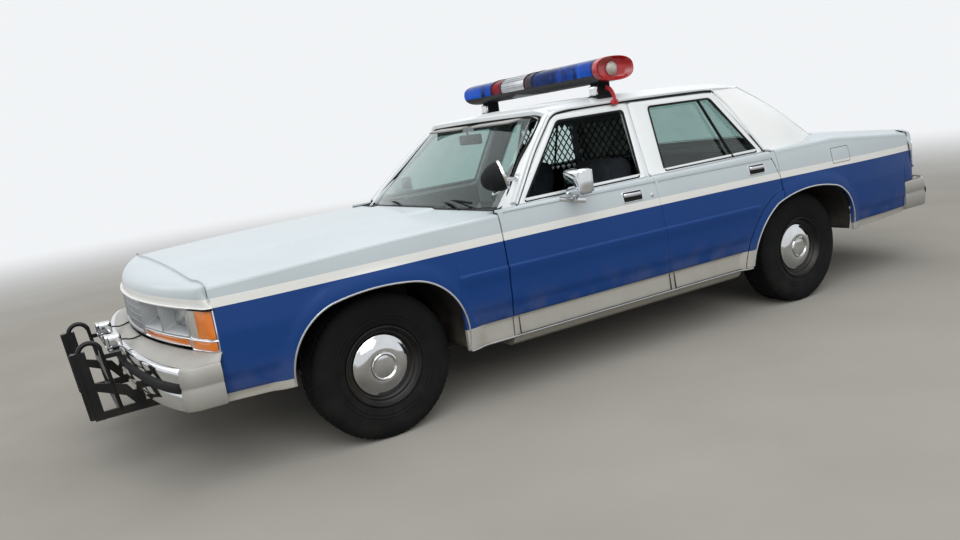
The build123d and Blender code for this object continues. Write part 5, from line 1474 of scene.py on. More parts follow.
def build_fillers(bumper, rear):
    """The sloped panels between the bumpers and the body, and the stays behind the bumpers."""
    t = np.linspace(0, 1, 10)
    u = np.linspace(0, 1, 100)
    inner = nose_place(u * (NOSE.s[-1] - 2), 619, 3)
    outer = bumper.at(u * bumper.s[-1], 589, -22 + 16 * rise((u - 0.8) / 0.12))
    fall = np.sin(t * math.pi / 2) ** 1.4
    p = blend(outer[:, None], inner[:, None], t[:, None])
    p[..., 2] = blend(outer[:, None, 2], inner[:, None, 2], fall)
    front = grid(rimmed(mirrored(p), 2, 12))
    piece("front_filler", front, "end_cap", "body", sharp=50)
    reach = float(np.interp(-4068, rear.xy[:, 0], rear.s))
    inner = TAIL.wide(u * (TAIL.s[-1] - 3), 612, -1)
    outer = rear.at(u * reach, 600, -34)
    p = blend(outer[:, None], inner[:, None], t[:, None])
    back = grid(rimmed(mirrored(p), 2, 12), flip=True)
    piece("rear_filler", back, "end_cap", "body", sharp=50)
    stays = [slab(x0, x1, 380, 440, z0, z0 + 90, 6) for x0, x1, z0 in ((700, 960, 430), (-4310, -3960, 440))]
    piece("bumper_stays", both(joined(*stays)), "under", "body")


# Light bar

BAR_X = -1660
BAR_Z = 1580
HOOK_ROUTE = ((640, 1486), (676, 1470), (700, 1436), (704, 1404), (694, 1392))


def oval_tube(half_x, half_z, stations, power=2.5, count=64, arc=(0, 360)):
    """Superelliptic rings along the bar: (distance across, scale) stations, over an arc in degrees."""
    closed = arc == (0, 360)
    t = np.radians(np.linspace(arc[0], arc[1], count, endpoint=not closed))
    shape = [np.sign(f(t)) * np.abs(f(t)) ** (2 / power) for f in (np.cos, np.sin)]
    y, k = np.array(stations, float).T[:, :, None]
    return outward(
        grid(placed(BAR_X + half_x * k * shape[0], y, BAR_Z + half_z * k * shape[1]), wrap_cols=closed)
    )


def build_light_bar():
    """Oval domes on a black tray, a pierced loudspeaker, red ends, turning lamps inside, and the feet."""
    near = [(122, 1), (300, 1), (500, 1), (712, 1)]
    piece("near_dome", oval_tube(136, 66, near), "dome_blue", "body", ["light_bar_lenses"])
    piece("clear_dome", oval_tube(135, 65, [(40, 1), (80, 1), (122, 1)]), "smoke", "body")
    piece("red_band", oval_tube(135, 65, [(-350, 1), (-290, 1), (-228, 1)]), "dome_red", "body")
    turn = np.linspace(0.2, 1.57, 6)
    rounded = [(-696 - 40 * math.sin(a), 1 - 0.3 * (1 - math.cos(a))) for a in turn]
    far = [(-350, 1), (-500, 1), (-696, 1)] + rounded + [(-736, 0)]
    piece("far_dome", oval_tube(136, 66, far[::-1]), "dome_blue", "body")
    edge = ((-5, 0.96), (-5, 1), (5, 1), (5, 0.96))
    rings = [oval_tube(138.5, 68.5, [(y + dy, k) for dy, k in edge]) for y in (38, -230, -350, 122)]
    piece("bar_seals", joined(*rings), "rubber", "body")
    sound = [(-228, 0.9), (-228, 0.985), (-222, 1), (-96, 1.006), (28, 1), (34, 0.985), (34, 0.9)]
    piece("speaker_shell", oval_tube(138, 68, sound), "pierced", "body", ["light_bar_speaker"])
    end = [
        (704, 1.01), (728, 1.0), (735, 0.98), (736, 0.95), (734, 0.92), (722, 0.86), (708, 0.7), (702, 0.4),
        (700, 0)
    ]
    piece("red_end", oval_tube(136, 67, end), "end_red", "body")
    lamp = turned([(38, -1), (38, 5), (35, 6), (28, 16), (15, 22), (0, 24)], (BAR_X, 703, BAR_Z), count=40)
    piece("end_lamp", lamp, "clear_side", "body")
    tray_rows = [(-700, 0.7), (-700, 1), (-690, 1.005), (690, 1.005), (702, 1), (702, 0.96)]
    tray = oval_tube(139, 67.5, tray_rows, arc=(200, 340), count=40)
    piece("bar_tray", tray, "black_steel", "body", ["light_bar_base"], solid=3)
    build_bar_inside()
    build_bar_feet()


def build_bar_inside():
    """A base plate, turning reflectors with their motors, and slanted mirrors between them."""
    plate = slab(BAR_X - 108, BAR_X + 108, -700, 690, 1530, 1536, 2)
    motor = [(0, 1536), (34, 1536), (34, 1552), (22, 1558), (0, 1558)]
    dish = [(6, -26), (24, -20), (36, -4), (40, 8), (37, 8), (33, -3), (22, -17), (6, -22)]
    bulb = [(0, 14), (7, 10), (8, 0), (6, -14), (0, -16)]
    motors, dishes, bulbs = [plate], [], []
    for y, aim in ((610, 0.6), (400, -0.7), (215, 1.1), (-440, 0.4), (-620, -0.9)):
        motors.append(turned(motor, (BAR_X, y, 0), (0, 0, 1), 32))
        way = (math.cos(aim), math.sin(aim), 0)
        dishes.append(turned(dish, (BAR_X, y, 1590), way, 32))
        bulbs.append(turned(bulb, (BAR_X, y, 1590), way, 20))
    for y, lean in ((505, 40), (308, -40), (-530, 40)):
        low = np.linspace((BAR_X - 84, y - lean, 1538), (BAR_X + 84, y + lean, 1538), 12)
        wall = np.stack([low, low + [0, 0, 78], low + [0, 3, 78], low + [0, 3, 0]], axis=1)
        dishes.append(grid(capped(wall), wrap_cols=True))
    piece("bar_motors", joined(*motors), "black_steel", "body")
    piece("bar_reflectors", joined(*dishes), "chrome", "body")
    piece("bar_bulbs", joined(*bulbs), "bulb", "body")


def build_bar_feet():
    """Black feet, bright clamps and the red hooks at the drip rail."""
    feet, clamps, hooks = [], [], []
    for sign in (1, -1):
        low, high = sorted((545 * sign, 640 * sign))
        feet.append(slab(BAR_X - 62, BAR_X + 62, low, high, 1416, 1448, 8))
        feet.append(slab(BAR_X - 44, BAR_X + 44, low + 10, high - 10, 1440, 1522, 10))
        clamps.append(slab(BAR_X + 44, BAR_X + 66, low + 24, high - 14, 1446, 1500, 6))
        route = [(BAR_X, sign * y, z) for y, z in HOOK_ROUTE]
        hooks.append(swept(smooth_line(route, 24), slab_profile(26, 7, 3), up=(1, 0, 0)))
        hooks.append(slab(BAR_X - 22, BAR_X + 22, sign * 702 - 8, sign * 702 + 8, 1384, 1412, 5))
    piece("bar_feet", joined(*feet), "rubber", "body")
    piece("bar_clamps", joined(*clamps), "chrome", "body")
    piece("bar_hooks", joined(*hooks), "hook_red", "body")


# Trim of the sides and windows

def ring_swept(path, profile, up=(0, 1, 0)):
    """A closed profile carried round a closed path."""
    path, profile = np.asarray(path, float), np.asarray(profile, float)
    along = unit(np.roll(path, -1, axis=0) - np.roll(path, 1, axis=0))
    return outward(grid(carried(path, profile, along, up), wrap_rows=True, wrap_cols=True))


def lean_path(points, proud=0.0, count=40):
    """A smooth line of (station, height) points on the leaning side, standing out by proud."""
    line = smooth_line(points, count)
    return placed(line[:, 0], glass_y(line[:, 1]) + proud, line[:, 1])


def on_doors(name, shell, finish, place, **more):
    """A piece and its twin that ride on the left and the right door."""
    for side, turn in SIDES:
        piece(f"door_{place}_{side}_{name}", turn(shell), finish, f"door_{place}_{side}", **more)


def build_side_trim():
    """Bright strips round the arches and along the sills."""
    strips = []
    for name in ("front", "rear"):
        line = ARCHES[name]
        path = side_place(line[:, 0], line[:, 1], 1)
        strips.append(swept(path, slab_profile(9, 7, 2.5, 3), up=(0, 1, 0)))
    piece("arch_strips", both(joined(*strips)), "bright_trim", "body")
    x = np.linspace(-402, -2340, 80)
    sill = swept(side_place(x, 335, -2), slab_profile(10, 9, 3, 3))
    piece("sill_strips", both(sill), "bright_trim", "body")


def build_belt_trim():
    """Bright belt strips, black seals round the glass, and the rear doors' dividing bars."""
    for place, x0, x1 in (("front", -806, -1664), ("rear", -1692, -2594)):
        x = np.linspace(x0, x1, 40)
        z = belt_z(x) + 2
        path = placed(x, glass_y(z) + 6, z)
        on_doors("belt_strip", swept(path, slab_profile(9, 8, 2.5, 3)), "bright_trim", place)
    for place, hole in (("front", FRONT_HOLE), ("rear", REAR_HOLE)):
        loop = resample_loop(hole, 120, 24)
        path = placed(loop[:, 0], glass_y(loop[:, 1]) + 1, loop[:, 1])
        on_doors("seal", ring_swept(path, slab_profile(13, 9, 3, 3)), "rubber", place)
    bar = lean_path([(-2350, 982), (-2322, 1160), (-2292, 1346)], 1)
    on_doors("window_bar", swept(bar, slab_profile(17, 10, 3, 3), up=(1, 0, 0)), "rubber", "rear")


def build_drip_rails():
    """A white gutter over the doors with a black strip under it, down both sides of the openings."""
    over = [
        (-800, 968), (-880, 1052), (-1010, 1190), (-1140, 1310), (-1215, 1370), (-1300, 1391),
        (-1500, 1399), (-1760, 1402), (-2100, 1402), (-2380, 1398), (-2440, 1380), (-2500, 1280),
        (-2560, 1130), (-2612, 1000),
    ]
    gutter = lean_path(over, 13, 120)
    gutter[:, 2] += 2
    piece("drip_rails", both(swept(gutter, slab_profile(9, 11, 3, 3))), "roof", "body")
    seal = lean_path([(x, z - 9) for x, z in over], 6, 120)
    piece("drip_seals", both(swept(seal, slab_profile(11, 12, 3, 3))), "rubber", "body")


def build_posts():
    """Posts and rails round the doors inside, and the linings of the roof and the rear pillars."""
    upper = lean_path([(-1682, 968), (-1722, 1170), (-1766, 1392)], -26, 24)
    lower = np.linspace((SHUT_SILL, 852, 345), (-1680, 868, 970), 16)
    posts = [swept(upper, slab_profile(74, 30, 6, 3), up=(0, 1, 0.5))]
    posts.append(swept(lower, slab_profile(96, 40, 6, 3), up=(0, 1, 0)))
    front = lean_path([(-812, 962), (-1010, 1176), (-1236, 1380)], -30, 24)
    posts.append(swept(front, slab_profile(40, 34, 6, 3), up=(0, 1, 0)))
    rail = lean_path([(-1240, 1388), (-1760, 1398), (-2430, 1392)], -34, 30)
    posts.append(swept(rail, slab_profile(44, 34, 8, 3), up=(0, 0, 1)))
    piece("inner_posts", both(joined(*posts)), "roof", "body")
    s, t = sheet(41, 40)
    x = -2750 + (-1190 + 2750) * t
    y = s * 640
    lining = placed(x, y, roof_z(x, y) - 30 - 14 * rise((np.abs(s) - 0.86) / 0.14))
    piece("roof_lining", grid(lining), "headliner", "body")
    inner_low = smooth_line([(-2640, 1000), (-2830, 990), (-3060, 986), (-3150, 1000)], 20)
    inner_high = smooth_line([(-2450, 1376), (-2540, 1384), (-2640, 1386), (-2706, 1382)], 20)
    panel, _ = pillar_sheet(inner_low, inner_high, 16, -40)
    piece("rear_pillar_lining", both(grid(panel)), "headliner", "body", solid=3)


def pillar_edge(count=40):
    """The rear pillar's edge beside the rear window, from the deck up to the roof."""
    w = np.linspace(0, 1, count)
    x = -3203 + 451 * w
    z = 1022 + 363 * w
    return placed(x, glass_y(z) + 8 - blend(pillar_in(x), tuck(-2742.0), w), z)


def build_rear_window():
    """
    The rear window: rows across the car between the two pillar edges, bulging to the rear and
    upwards with one minus the square of the place across, with its seal and bright reveal strip.
    """
    edge = pillar_edge()
    s = np.linspace(-1, 1, 61)
    bow = 1 - s ** 2
    t = np.linspace(0, 1, len(edge))[:, None]
    p = placed(edge[:, :1] + 5 - 34 * bow, (edge[:, 1:2] - 12) * s, edge[:, 2:] + (12 + 20 * t) * bow)
    piece("rear_window_pane", grid(p), "glass", "body", ["rear_window"], solid=4)
    around = np.concatenate([p[0], p[1:-1, -1], p[-1, ::-1], p[-2:0:-1, 0]])
    out = unit(around - p.mean(axis=(0, 1)))
    seal = ring_swept(around + [-3, 0, 2], slab_profile(22, 10, 4, 3), up=(1, 0, 1.2))
    strip = ring_swept(around + [-6, 0, 4] + out * 9, slab_profile(9, 8, 3, 3), up=(1, 0, 1.2))
    piece("rear_window_seal", seal, "rubber", "body")
    piece("rear_window_reveal", strip, "bright_trim", "body")


def build_glass_trim():
    """The windscreen's black seal and the wipers."""
    screen = [
        (-748, 0, 962), (-752, 420, 958), (-768, 790, 950), (-980, 700, 1160), (-1212, 602, 1370),
        (-1196, 300, 1392), (-1188, 0, 1400)
    ]
    seal = swept(smooth_line(screen, 90), slab_profile(16, 12, 4, 3), up=(1, 0, 1))
    piece("windscreen_seal", both(seal), "rubber", "body")
    wipers = []
    for y in (560, -120):
        arm = smooth_line([(-648, y + 40, 960), (-690, y - 120, 982), (-742, y - 330, 976)], 20)
        wipers.append(swept(arm, slab_profile(12, 6, 2, 3)))
        blade = smooth_line([(-716, y + 60, 984), (-736, y - 160, 990), (-748, y - 380, 976)], 24)
        wipers.append(swept(blade, slab_profile(7, 12, 2, 3)))
    piece("wipers", joined(*wipers), "rubber", "body")


def build_cowl():
    """The dark slotted panel between the hood and the windscreen."""
    s, t = sheet(161, 22)
    front = -604 - 100 * s ** 2
    rear = -760 - 50 * s ** 2
    x = rear + (front - rear) * t
    y = s * (840 - 30 * (1 - t))
    slots = 3.5 * (np.sin(y / 7) > 0.3) * rise((t - 0.25) / 0.1) * rise((0.8 - t) / 0.1) * (np.abs(y) < 640)
    z = hood_z(x, y) - 12 + 16 * (1 - t) ** 2 - slots
    piece("cowl_skin", grid(rimmed(placed(x, y, z), 2, 16)[::-1]), "dash", "body", ["cowl"])


# Fittings on the doors and quarters

def build_handles():
    """Pull handles over dark cups in bright frames, and the round locks beside them."""
    for place, x0, x1, z in (("front", -1570, -1432, 897), ("rear", -2534, -2396, 903)):
        rim = even((0, -4), (0, 2), (2, 3.5), (5, 3), (6, 0))
        surround = pocket(side_place, (x0, x1, z - 30, z + 30), rim, 9)
        hollow = [(0, 0, 0, 1.5), (4, 4, 4, 1.5), (26, 12, 12, 1), (50, 22, 22, 1)]
        cup = pocket(side_place, (x0 + 5, x1 - 5, z - 25, z + 25), hollow, 8, True)
        lift = 12 * np.sin(np.linspace(0, math.pi, 24)) ** 0.4 + 2
        pull = side_place(np.linspace(x0 + 12, x1 - 12, 24), np.full(24, z + 9.0), lift)
        shapes = [surround, swept(pull, slab_profile(8, 20, 4, 3))]
        if place == "front":
            lock = [(12, -3), (12, 3), (9, 5), (4, 5.5), (0, 4)]
            shapes.append(turned(lock, side_place(-1638, 882, 0), count=32))
        on_doors("handle", joined(*shapes), "chrome", place, sharp=50)
        on_doors("handle_cup", cup, "rubber", place)


def build_fuel_door():
    """The fuel filler's flap: a shut line round a slightly crowned panel."""
    x0, x1, z0, z1 = -3326, -3152, 838, 936
    line = pocket(side_place, (x0, x1, z0, z1), even((0, 0.6), (2.5, 0.6), (3.5, -1)), 10)
    piece("fuel_flap_line", line, "rubber", "body")
    flap = pane(side_place, (x0 + 3, x1 - 3, z0 + 3, z1 - 3), 1, 1.5, 10)
    piece("fuel_flap", flap, "paint", "body")


def build_mirrors():
    """Bright square mirrors: head, glass, stalk and foot on each front door."""
    head = slab(-1145, -1063, 947, 1097, 970, 1098, 20)
    rise_line = smooth_line([(-1120, 950, 938), (-1108, 982, 958), (-1104, 1014, 990)], 12)
    stalk = swept(rise_line, slab_profile(34, 20, 8, 4), up=(1, 0, 0))
    foot_line = side_place(np.linspace(-1036, -1192, 30), np.linspace(956, 924, 30), -2)
    foot = swept(foot_line, slab_profile(16, 26, 7, 4))
    glass = slab(-1148, -1144, 957, 1087, 980, 1088, 1.8)
    for side, turn in SIDES:
        body = f"door_front_{side}"
        piece(f"mirror_{side}_shell", turn(joined(head, stalk, foot)), "chrome", body, [f"mirror_{side}"])
        piece(f"mirror_{side}_glass", turn(glass), "mirror", body)


def build_spotlight():
    """The pillar's spotlight: a black shell, its bright rim and lens, and a chrome bracket."""
    centre = (-650, 880, 1098)
    shell = [
        (0, -14), (16, -12), (32, -4), (46, 10), (56, 26), (60, 28), (61, 34), (66, 44), (66, 47), (69, 58),
        (70, 61), (72, 76), (71, 79), (72, 94), (70, 98),
    ]
    rim = [(74, 92), (75, 98), (72, 105), (66, 107), (64, 101), (66, 96)]
    lens = [(65, 99), (50, 104), (30, 107), (12, 108), (0, 108)]
    axis = (-0.86, 0.44, 0.26)
    piece("spot_shell", turned(shell, centre, axis, 64), "rubber", "body", ["spotlight"])
    piece("spot_rim", turned(rim + rim[:1], centre, axis, 64), "chrome", "body")
    piece("spot_lens", turned(lens, centre, axis, 64), "clear", "body")
    arm = smooth_line([(-716, 846, 1092), (-790, 838, 1090), (-862, 816, 1086), (-908, 796, 1082)], 20)
    yoke = smooth_line([(-694, 876, 1036), (-740, 866, 1046), (-776, 852, 1078), (-800, 838, 1088)], 20)
    collar = turned([(0, -12), (22, -12), (24, 0), (20, 10), (0, 10)], (-904, 800, 1082), (0.6, 0.8, 0), 24)
    bracket = joined(swept(arm, disc_profile(10)), swept(yoke, disc_profile(7)), collar)
    piece("spot_bracket", bracket, "chrome", "body")


# Tail

LAMP_IN, LAMP_OUT, LAMP_LOW, LAMP_HIGH = 470, 878, 690, 864


def build_tail():
    """Tail panel, its upper corners, and the lamps with their frames and ribs."""
    end = TAIL.s[-1]
    s = np.linspace(-end, end, 120)
    inner, outer = TAIL.length_at(LAMP_IN), TAIL.length_at(LAMP_OUT)
    lower = TAIL.wide(s[:, None], np.linspace(560, LAMP_LOW - 1, 8)[None], 0)
    shells = [grid(rimmed(lower, 2, 12, "cd")[::-1])]
    beside = np.linspace(outer + 2, end, 10)[:, None]
    above = np.linspace(inner, TAIL.length_at(802), 30)[:, None]
    sides = [
        grid(TAIL.wide(beside, np.linspace(LAMP_LOW, LAMP_HIGH + 4, 8)[None], 0)[::-1]),
        grid(TAIL.wide(above, np.linspace(LAMP_HIGH, LAMP_HIGH + 16, 4)[None], -1)[::-1]),
    ]
    low = TAIL.at(np.linspace(TAIL.length_at(804), end, 30), LAMP_HIGH + 1)
    corner = [(TAIL_CORNER, y) for y in np.linspace(812, 888, 12)]
    deck = np.array([(x, 804) for x in np.linspace(-4168, -4062, 16)] + corner, float)
    heights = deck_z(deck[:, 0], deck[:, 1])
    side = float(side_y(TAIL_CORNER, 880))
    turn = np.radians(np.linspace(15, 90, 6))
    fall = np.linspace(heights[-1] - 22, LAMP_HIGH + 1, 8)[1:]
    path = np.concatenate([
        np.column_stack([deck, heights]),
        placed(TAIL_CORNER, side - 16 + 16 * np.sin(turn), heights[-1] - 22 + 22 * np.cos(turn)),
        placed(TAIL_CORNER, side_y(TAIL_CORNER, fall), fall),
    ])
    high = walked_to(path, np.linspace(0, walk(path)[-1], len(low)))
    sides.append(grid(arcs_up(low, high, 14)))
    shells.append(both(joined(*sides)))
    piece("tail_skin", joined(*shells), "paint", "body", ["tail_panel"], sharp=50)
    rect = (inner + 1, outer, LAMP_LOW, LAMP_HIGH)
    steps = [(0, 0, 0, -30), (0, 0, 0, 4), (3, 3, 3, 6), (9, 8, 8, 6), (11, 10, 10, 2), (12, 11, 11, -10)]
    surround = pocket(TAIL.wide, rect, steps, 8, per_side=16)
    bars = []
    for z in (748, 806):
        line = TAIL.at(np.linspace(inner + 10, outer - 10, 30), z, 7)
        bars.append(swept(line, slab_profile(6, 4, 1.5, 3)))
    piece("tail_lamp_frames", both(joined(surround, *bars)), "chrome", "body", ["tail_lamps"], sharp=50)
    split = inner + 104
    red = pane(TAIL.wide, (split, outer - 10, LAMP_LOW + 9, LAMP_HIGH - 9), 3, 3, 6)
    piece("tail_lamp_lenses", both(red), "red", "body")
    clear = pane(TAIL.wide, (inner + 11, split - 2, LAMP_LOW + 9, LAMP_HIGH - 9), 3, 3, 6)
    piece("reverse_lamp_lenses", both(clear), "clear_side", "body")


def build_deck():
    """The fixed strip between the rear window and the trunk lid."""
    s, t = sheet(81, 8)
    y = s * 768
    front = -3242 + 36 * s ** 2
    x = -3297 + (front + 3297) * t
    strip = grid(rimmed(placed(x, y, deck_z(x, y))[::-1], 2, 14, "cd"))
    piece("deck_skin", strip, "paint", "body", ["rear_deck"])


# Cabin

PAD_PRESSURE = 4.0
PAD_FRAMES = 20


def pad_shell(half, centre, lean, count, power=4.5):
    """A closed pillow: superelliptic rings from pole to pole across the car, leant about that line."""
    turn = np.linspace(0, 2 * math.pi, count, endpoint=False)
    fall = np.linspace(-math.pi / 2, math.pi / 2, count // 2)
    ring = [np.sign(f(turn)) * np.abs(f(turn)) ** (2 / power) for f in (np.cos, np.sin)]
    across = np.sign(np.sin(fall)) * np.abs(np.sin(fall)) ** (2 / power)
    scale = np.abs(np.cos(fall)) ** (2 / power)
    x = half[0] * scale[:, None] * ring[0]
    z = half[2] * scale[:, None] * ring[1]
    c, s = math.cos(lean), math.sin(lean)
    p = placed(c * x + s * z, half[1] * across[:, None], c * z - s * x) + centre
    return grid(p, wrap_cols=True, flip=True)


def evaluated(made):
    """Points and faces of an object after its modifiers."""
    mesh = made.evaluated_get(bpy.context.evaluated_depsgraph_get()).data
    points = np.empty(len(mesh.vertices) * 3, dtype=np.float32)
    mesh.vertices.foreach_get("co", points)
    faces = np.empty(len(mesh.polygons) * 4, dtype=np.int32)
    mesh.polygons.foreach_get("vertices", faces)
    return points.reshape(-1, 3).astype(float), faces.reshape(-1, 4)


def swollen(shell):
    """A closed shell made even by a voxel remesh and blown up as cloth, within a set reach."""
    scene = bpy.context.scene
    raw = plain_object("pad_raw", shell)
    remesh = raw.modifiers.new("even", "REMESH")
    remesh.mode = "VOXEL"
    remesh.voxel_size = size("pad_voxel") * MM
    points, faces = evaluated(raw)
    bpy.data.objects.remove(raw)
    start = (points - ORIGIN) / MM
    cushion = plain_object("pad_cloth", (start, faces))
    cloth = cushion.modifiers.new("cloth", "CLOTH")
    cloth.settings.use_pressure = True
    cloth.settings.uniform_pressure_force = PAD_PRESSURE
    cloth.settings.effector_weights.gravity = 0
    cloth.point_cache.frame_end = PAD_FRAMES
    for step in range(1, PAD_FRAMES + 1):
        scene.frame_set(step)
    points, _ = evaluated(cushion)
    bpy.data.objects.remove(cushion)
    scene.frame_set(1)
    move = (points - ORIGIN) / MM - start
    length = np.linalg.norm(move, axis=1, keepdims=True)
    return start + move * np.minimum(1, size("pad_swell") / np.maximum(length, 1e-6)), faces


def channelled(shell, middle, reach, pitch, lean, depth=8.0):
    """
    Sewn channels pressed into a pad: each groove is a bell curve across the car, deepest on the
    side that faces the sitter and gone at the panel's ends.
    """
    points, faces = shell
    y = points[:, 1] - middle[1]
    up = np.array([math.sin(lean), 0, math.cos(lean)])
    height = (points - middle) @ up
    place = (points - middle) @ np.array([math.cos(lean), 0, -math.sin(lean)])
    nearest = np.abs((y + pitch / 2) % pitch - pitch / 2)
    groove = np.exp(-(nearest / 9) ** 2) * (np.abs(y) < reach[0])
    rim = np.exp(-((np.abs(y) - reach[0]) / 9) ** 2)
    mask = rise((height - 10) / 20) * rise((reach[1] - np.abs(place)) / 26)
    return points - up * (np.maximum(groove, rim) * mask * depth)[:, None], faces


def sewn(half, middle, lean, reach, pitch, count=56):
    """A swollen pad with its sewn channels."""
    return channelled(swollen(pad_shell(half, middle, lean, count)), middle, reach, pitch, lean)


def pad(name, shell, replaces=()):
    """A padded piece with its smooth skin."""
    made = piece(name, shell, "seat", "body", replaces)
    smooth = made.modifiers.new("smooth", "SUBSURF")
    smooth.levels = 1
    smooth.render_levels = 1
    return made


def build_seats():
    """Two front seats and the rear bench: swollen pads with sewn channels on dark bases."""
    cushion = sewn((232, 288, 56), (-1378, 385, 556), 0.05, (196, 190), 78)
    back = sewn((238, 284, 42), (-1738, 385, 868), math.radians(76), (190, 200), 76)
    for side, turn in SIDES:
        pad(f"seat_{side}_cushion", turn(cushion), ["front_seats"])
        pad(f"seat_{side}_back", turn(back))
    pad("rear_bench_cushion", sewn((206, 592, 54), (-2336, 0, 566), 0.06, (470, 160), 94, 72), ["rear_seat"])
    pad("rear_bench_back", sewn((148, 592, 46), (-2664, 0, 782), math.radians(77), (470, 110), 94, 72))
    base = slab(-1640, -1200, 120, 650, 353, 500, 14)
    rails = [slab(-1700, -1170, y - 16, y + 16, 353, 372, 4) for y in (160, 610)]
    piece("seat_bases", both(joined(base, *rails)), "dash", "body", sharp=50)
    piece("rear_bench_base", slab(-2540, -2134, -606, 606, 370, 512, 16), "carpet", "body", sharp=50)


def build_dashboard():
    """The padded dashboard with its hooded dials, vents, radio and column."""
    outline = np.array([
        (-732, 640), (-732, 880), (-760, 902), (-860, 914), (-950, 917), (-980, 908), (-990, 888),
        (-984, 846), (-968, 800), (-962, 720), (-950, 668), (-916, 644),
    ], float)
    section = ring_line(outline, 48)
    y = np.concatenate([[-786], np.linspace(-780, 780, 60), [786]])
    scale = np.where(np.abs(y) > 781, 0.94, 1.0)
    middle = section.mean(axis=0)
    drawn = middle + (section - middle) * scale[:, None, None]
    pad_part = grid(capped(placed(drawn[..., 0], y[:, None], drawn[..., 1])), wrap_cols=True)
    hood = slab(-1010, -930, 176, 566, 784, 912, 22)
    console = slab(-1004, -940, -130, 150, 650, 850, 12)
    piece("dash_body", joined(pad_part, hood, console), "dash", "body", ["dashboard"], sharp=50)
    bright, dark, glow = [], [], []
    for low, high, z0, z1 in ((206, 536, 806, 888), (-112, 132, 668, 742)):
        rect = (low, high, z0, z1)
        bright.append(pocket(dash_place, rect, even((0, -4), (0, 3), (3, 4), (6, 3), (7, -6)), 8))
        dark.append(pane(dash_place, (low + 6, high - 6, z0 + 6, z1 - 6), -2, 0.5, 5))
    for centre in (290, 450):
        dial = [(0, 1), (30, 1), (33, 2), (35, 4), (37, 3), (38, 0)]
        glow.append(turned(dial, (-1012, centre, 847), (-1, 0, 0), 40))
    for centre in (-60, 10, 80):
        bright.append(turned([(0, 10), (7, 10), (9, 8), (9, -2)], (-1006, centre, 700), (-1, 0, 0), 20))
    for low in (-700, -420, 610):
        for step in range(5):
            bright.append(slab(-992, -984, low, low + 110, 820 + 9 * step, 823 + 9 * step, 1.2))
    piece("dash_bright", joined(*bright), "bright_trim", "body", sharp=50)
    piece("dash_faces", joined(*dark), "smoked", "body")
    piece("dash_dials", joined(*glow), "dial", "body")
    tube = [(-1010, 370, 776), (-1060, 370, 802), (-1108, 370, 828)]
    shroud = swept(smooth_line(tube, 12), slab_profile(76, 70, 24), up=(0, 1, 0))
    stalk = swept([(-1096, 340, 824), (-1092, 300, 834), (-1090, 250, 848)], disc_profile(4.5))
    lever = swept([(-1090, 400, 826), (-1084, 470, 840), (-1078, 556, 866)], disc_profile(5.5))
    knob = turned([(0, -12), (8, -10), (10, 0), (8, 12), (0, 14)], (-1077, 566, 869), (0, 1, 0.3), 24)
    piece("steering_column", joined(shroud, stalk, lever, knob), "dash", "body", sharp=50)


def dash_place(a, z, out):
    """A point on the dashboard's face for a place across, a height and a distance out of it."""
    return placed(-1008 - out, a, z)


def ring_line(corners, count):
    """A closed line through corner points, evenly divided and rounded by a running mean."""
    closed = np.concatenate([corners, corners[:1]])
    line = walked_to(closed, np.linspace(0, walk(closed)[-1], count, endpoint=False))
    return (np.roll(line, 1, axis=0) + 2 * line + np.roll(line, -1, axis=0)) / 4


def build_steering_wheel():
    """The wheel: a round rim, three spokes, a padded boss and the horn button, leant like the column."""
    rake = math.radians(118)
    axis = np.array([math.sin(rake), 0, math.cos(rake)])
    centre = np.array([-1150.0, 370.0, 850.0])
    t = np.linspace(0, 2 * math.pi, 17)
    rim = turned(np.stack([188 + 12 * np.cos(t), 12 * np.sin(t)], axis=1), centre, axis, 96)
    boss = turned([(0, -22), (30, -22), (44, -18), (52, -6), (50, 14), (38, 22), (0, 22)], centre, axis, 48)
    left = np.array([0.0, 1.0, 0.0])
    down = np.cross(axis, left)
    spokes = []
    for angle in (12, 168, 270):
        ray = math.cos(math.radians(angle)) * left - math.sin(math.radians(angle)) * down * np.sign(down[2])
        line = centre + np.linspace(30, 182, 10)[:, None] * ray + np.linspace(-10, 0, 10)[:, None] * axis
        spokes.append(swept(line, slab_profile(34, 10, 4), up=axis))
    whole = joined(rim, boss, *spokes)
    piece("steering_wheel_rim", whole, "dash", "steering_wheel", ["steering_wheel"], sharp=50)
    badge = turned([(0, -24), (18, -24), (22, -22), (22, -20)], centre, axis, 40)
    piece("horn_button", badge, "bright_trim", "steering_wheel")


def build_cabin_fittings():
    """The inner mirror, sun visors, rear shelf and the pedals."""
    visors = [slab(-1236, -1090, y0, y1, 1364, 1378, 6) for y0, y1 in ((70, 470), (-470, -70))]
    slope = 0.1
    visors = [(points - [0, 0, slope] * (points + [1160, 0, 0])[:, :1], faces) for points, faces in visors]
    piece("sun_visors", joined(*visors), "headliner", "body")
    mirror = slab(-1132, -1108, -120, 120, 1262, 1322, 10)
    arm = swept([(-1116, 0, 1300), (-1104, 0, 1330), (-1100, 0, 1352)], disc_profile(6))
    piece("inner_mirror", joined(mirror, arm), "dash", "body", sharp=50)
    piece("inner_mirror_glass", slab(-1134.5, -1131.5, -114, 114, 1268, 1316, 1.2), "mirror", "body")
    piece("rear_shelf", slab(-3196, -2764, -640, 640, 974, 986, 5), "carpet", "body", sharp=50)
    pedals, arms = [], []
    for y in (330, 436):
        pedals.append(slab(-770, -758, y, y + 66, 470, 520, 5))
        route = [(-752, y + 33, 500), (-720, y + 33, 600), (-700, y + 33, 680)]
        arms.append(swept(route, slab_profile(16, 8, 3)))
    piece("pedals", joined(*pedals, *arms), "rubber", "body", sharp=50)


# Guard, its lamps and the engine bay

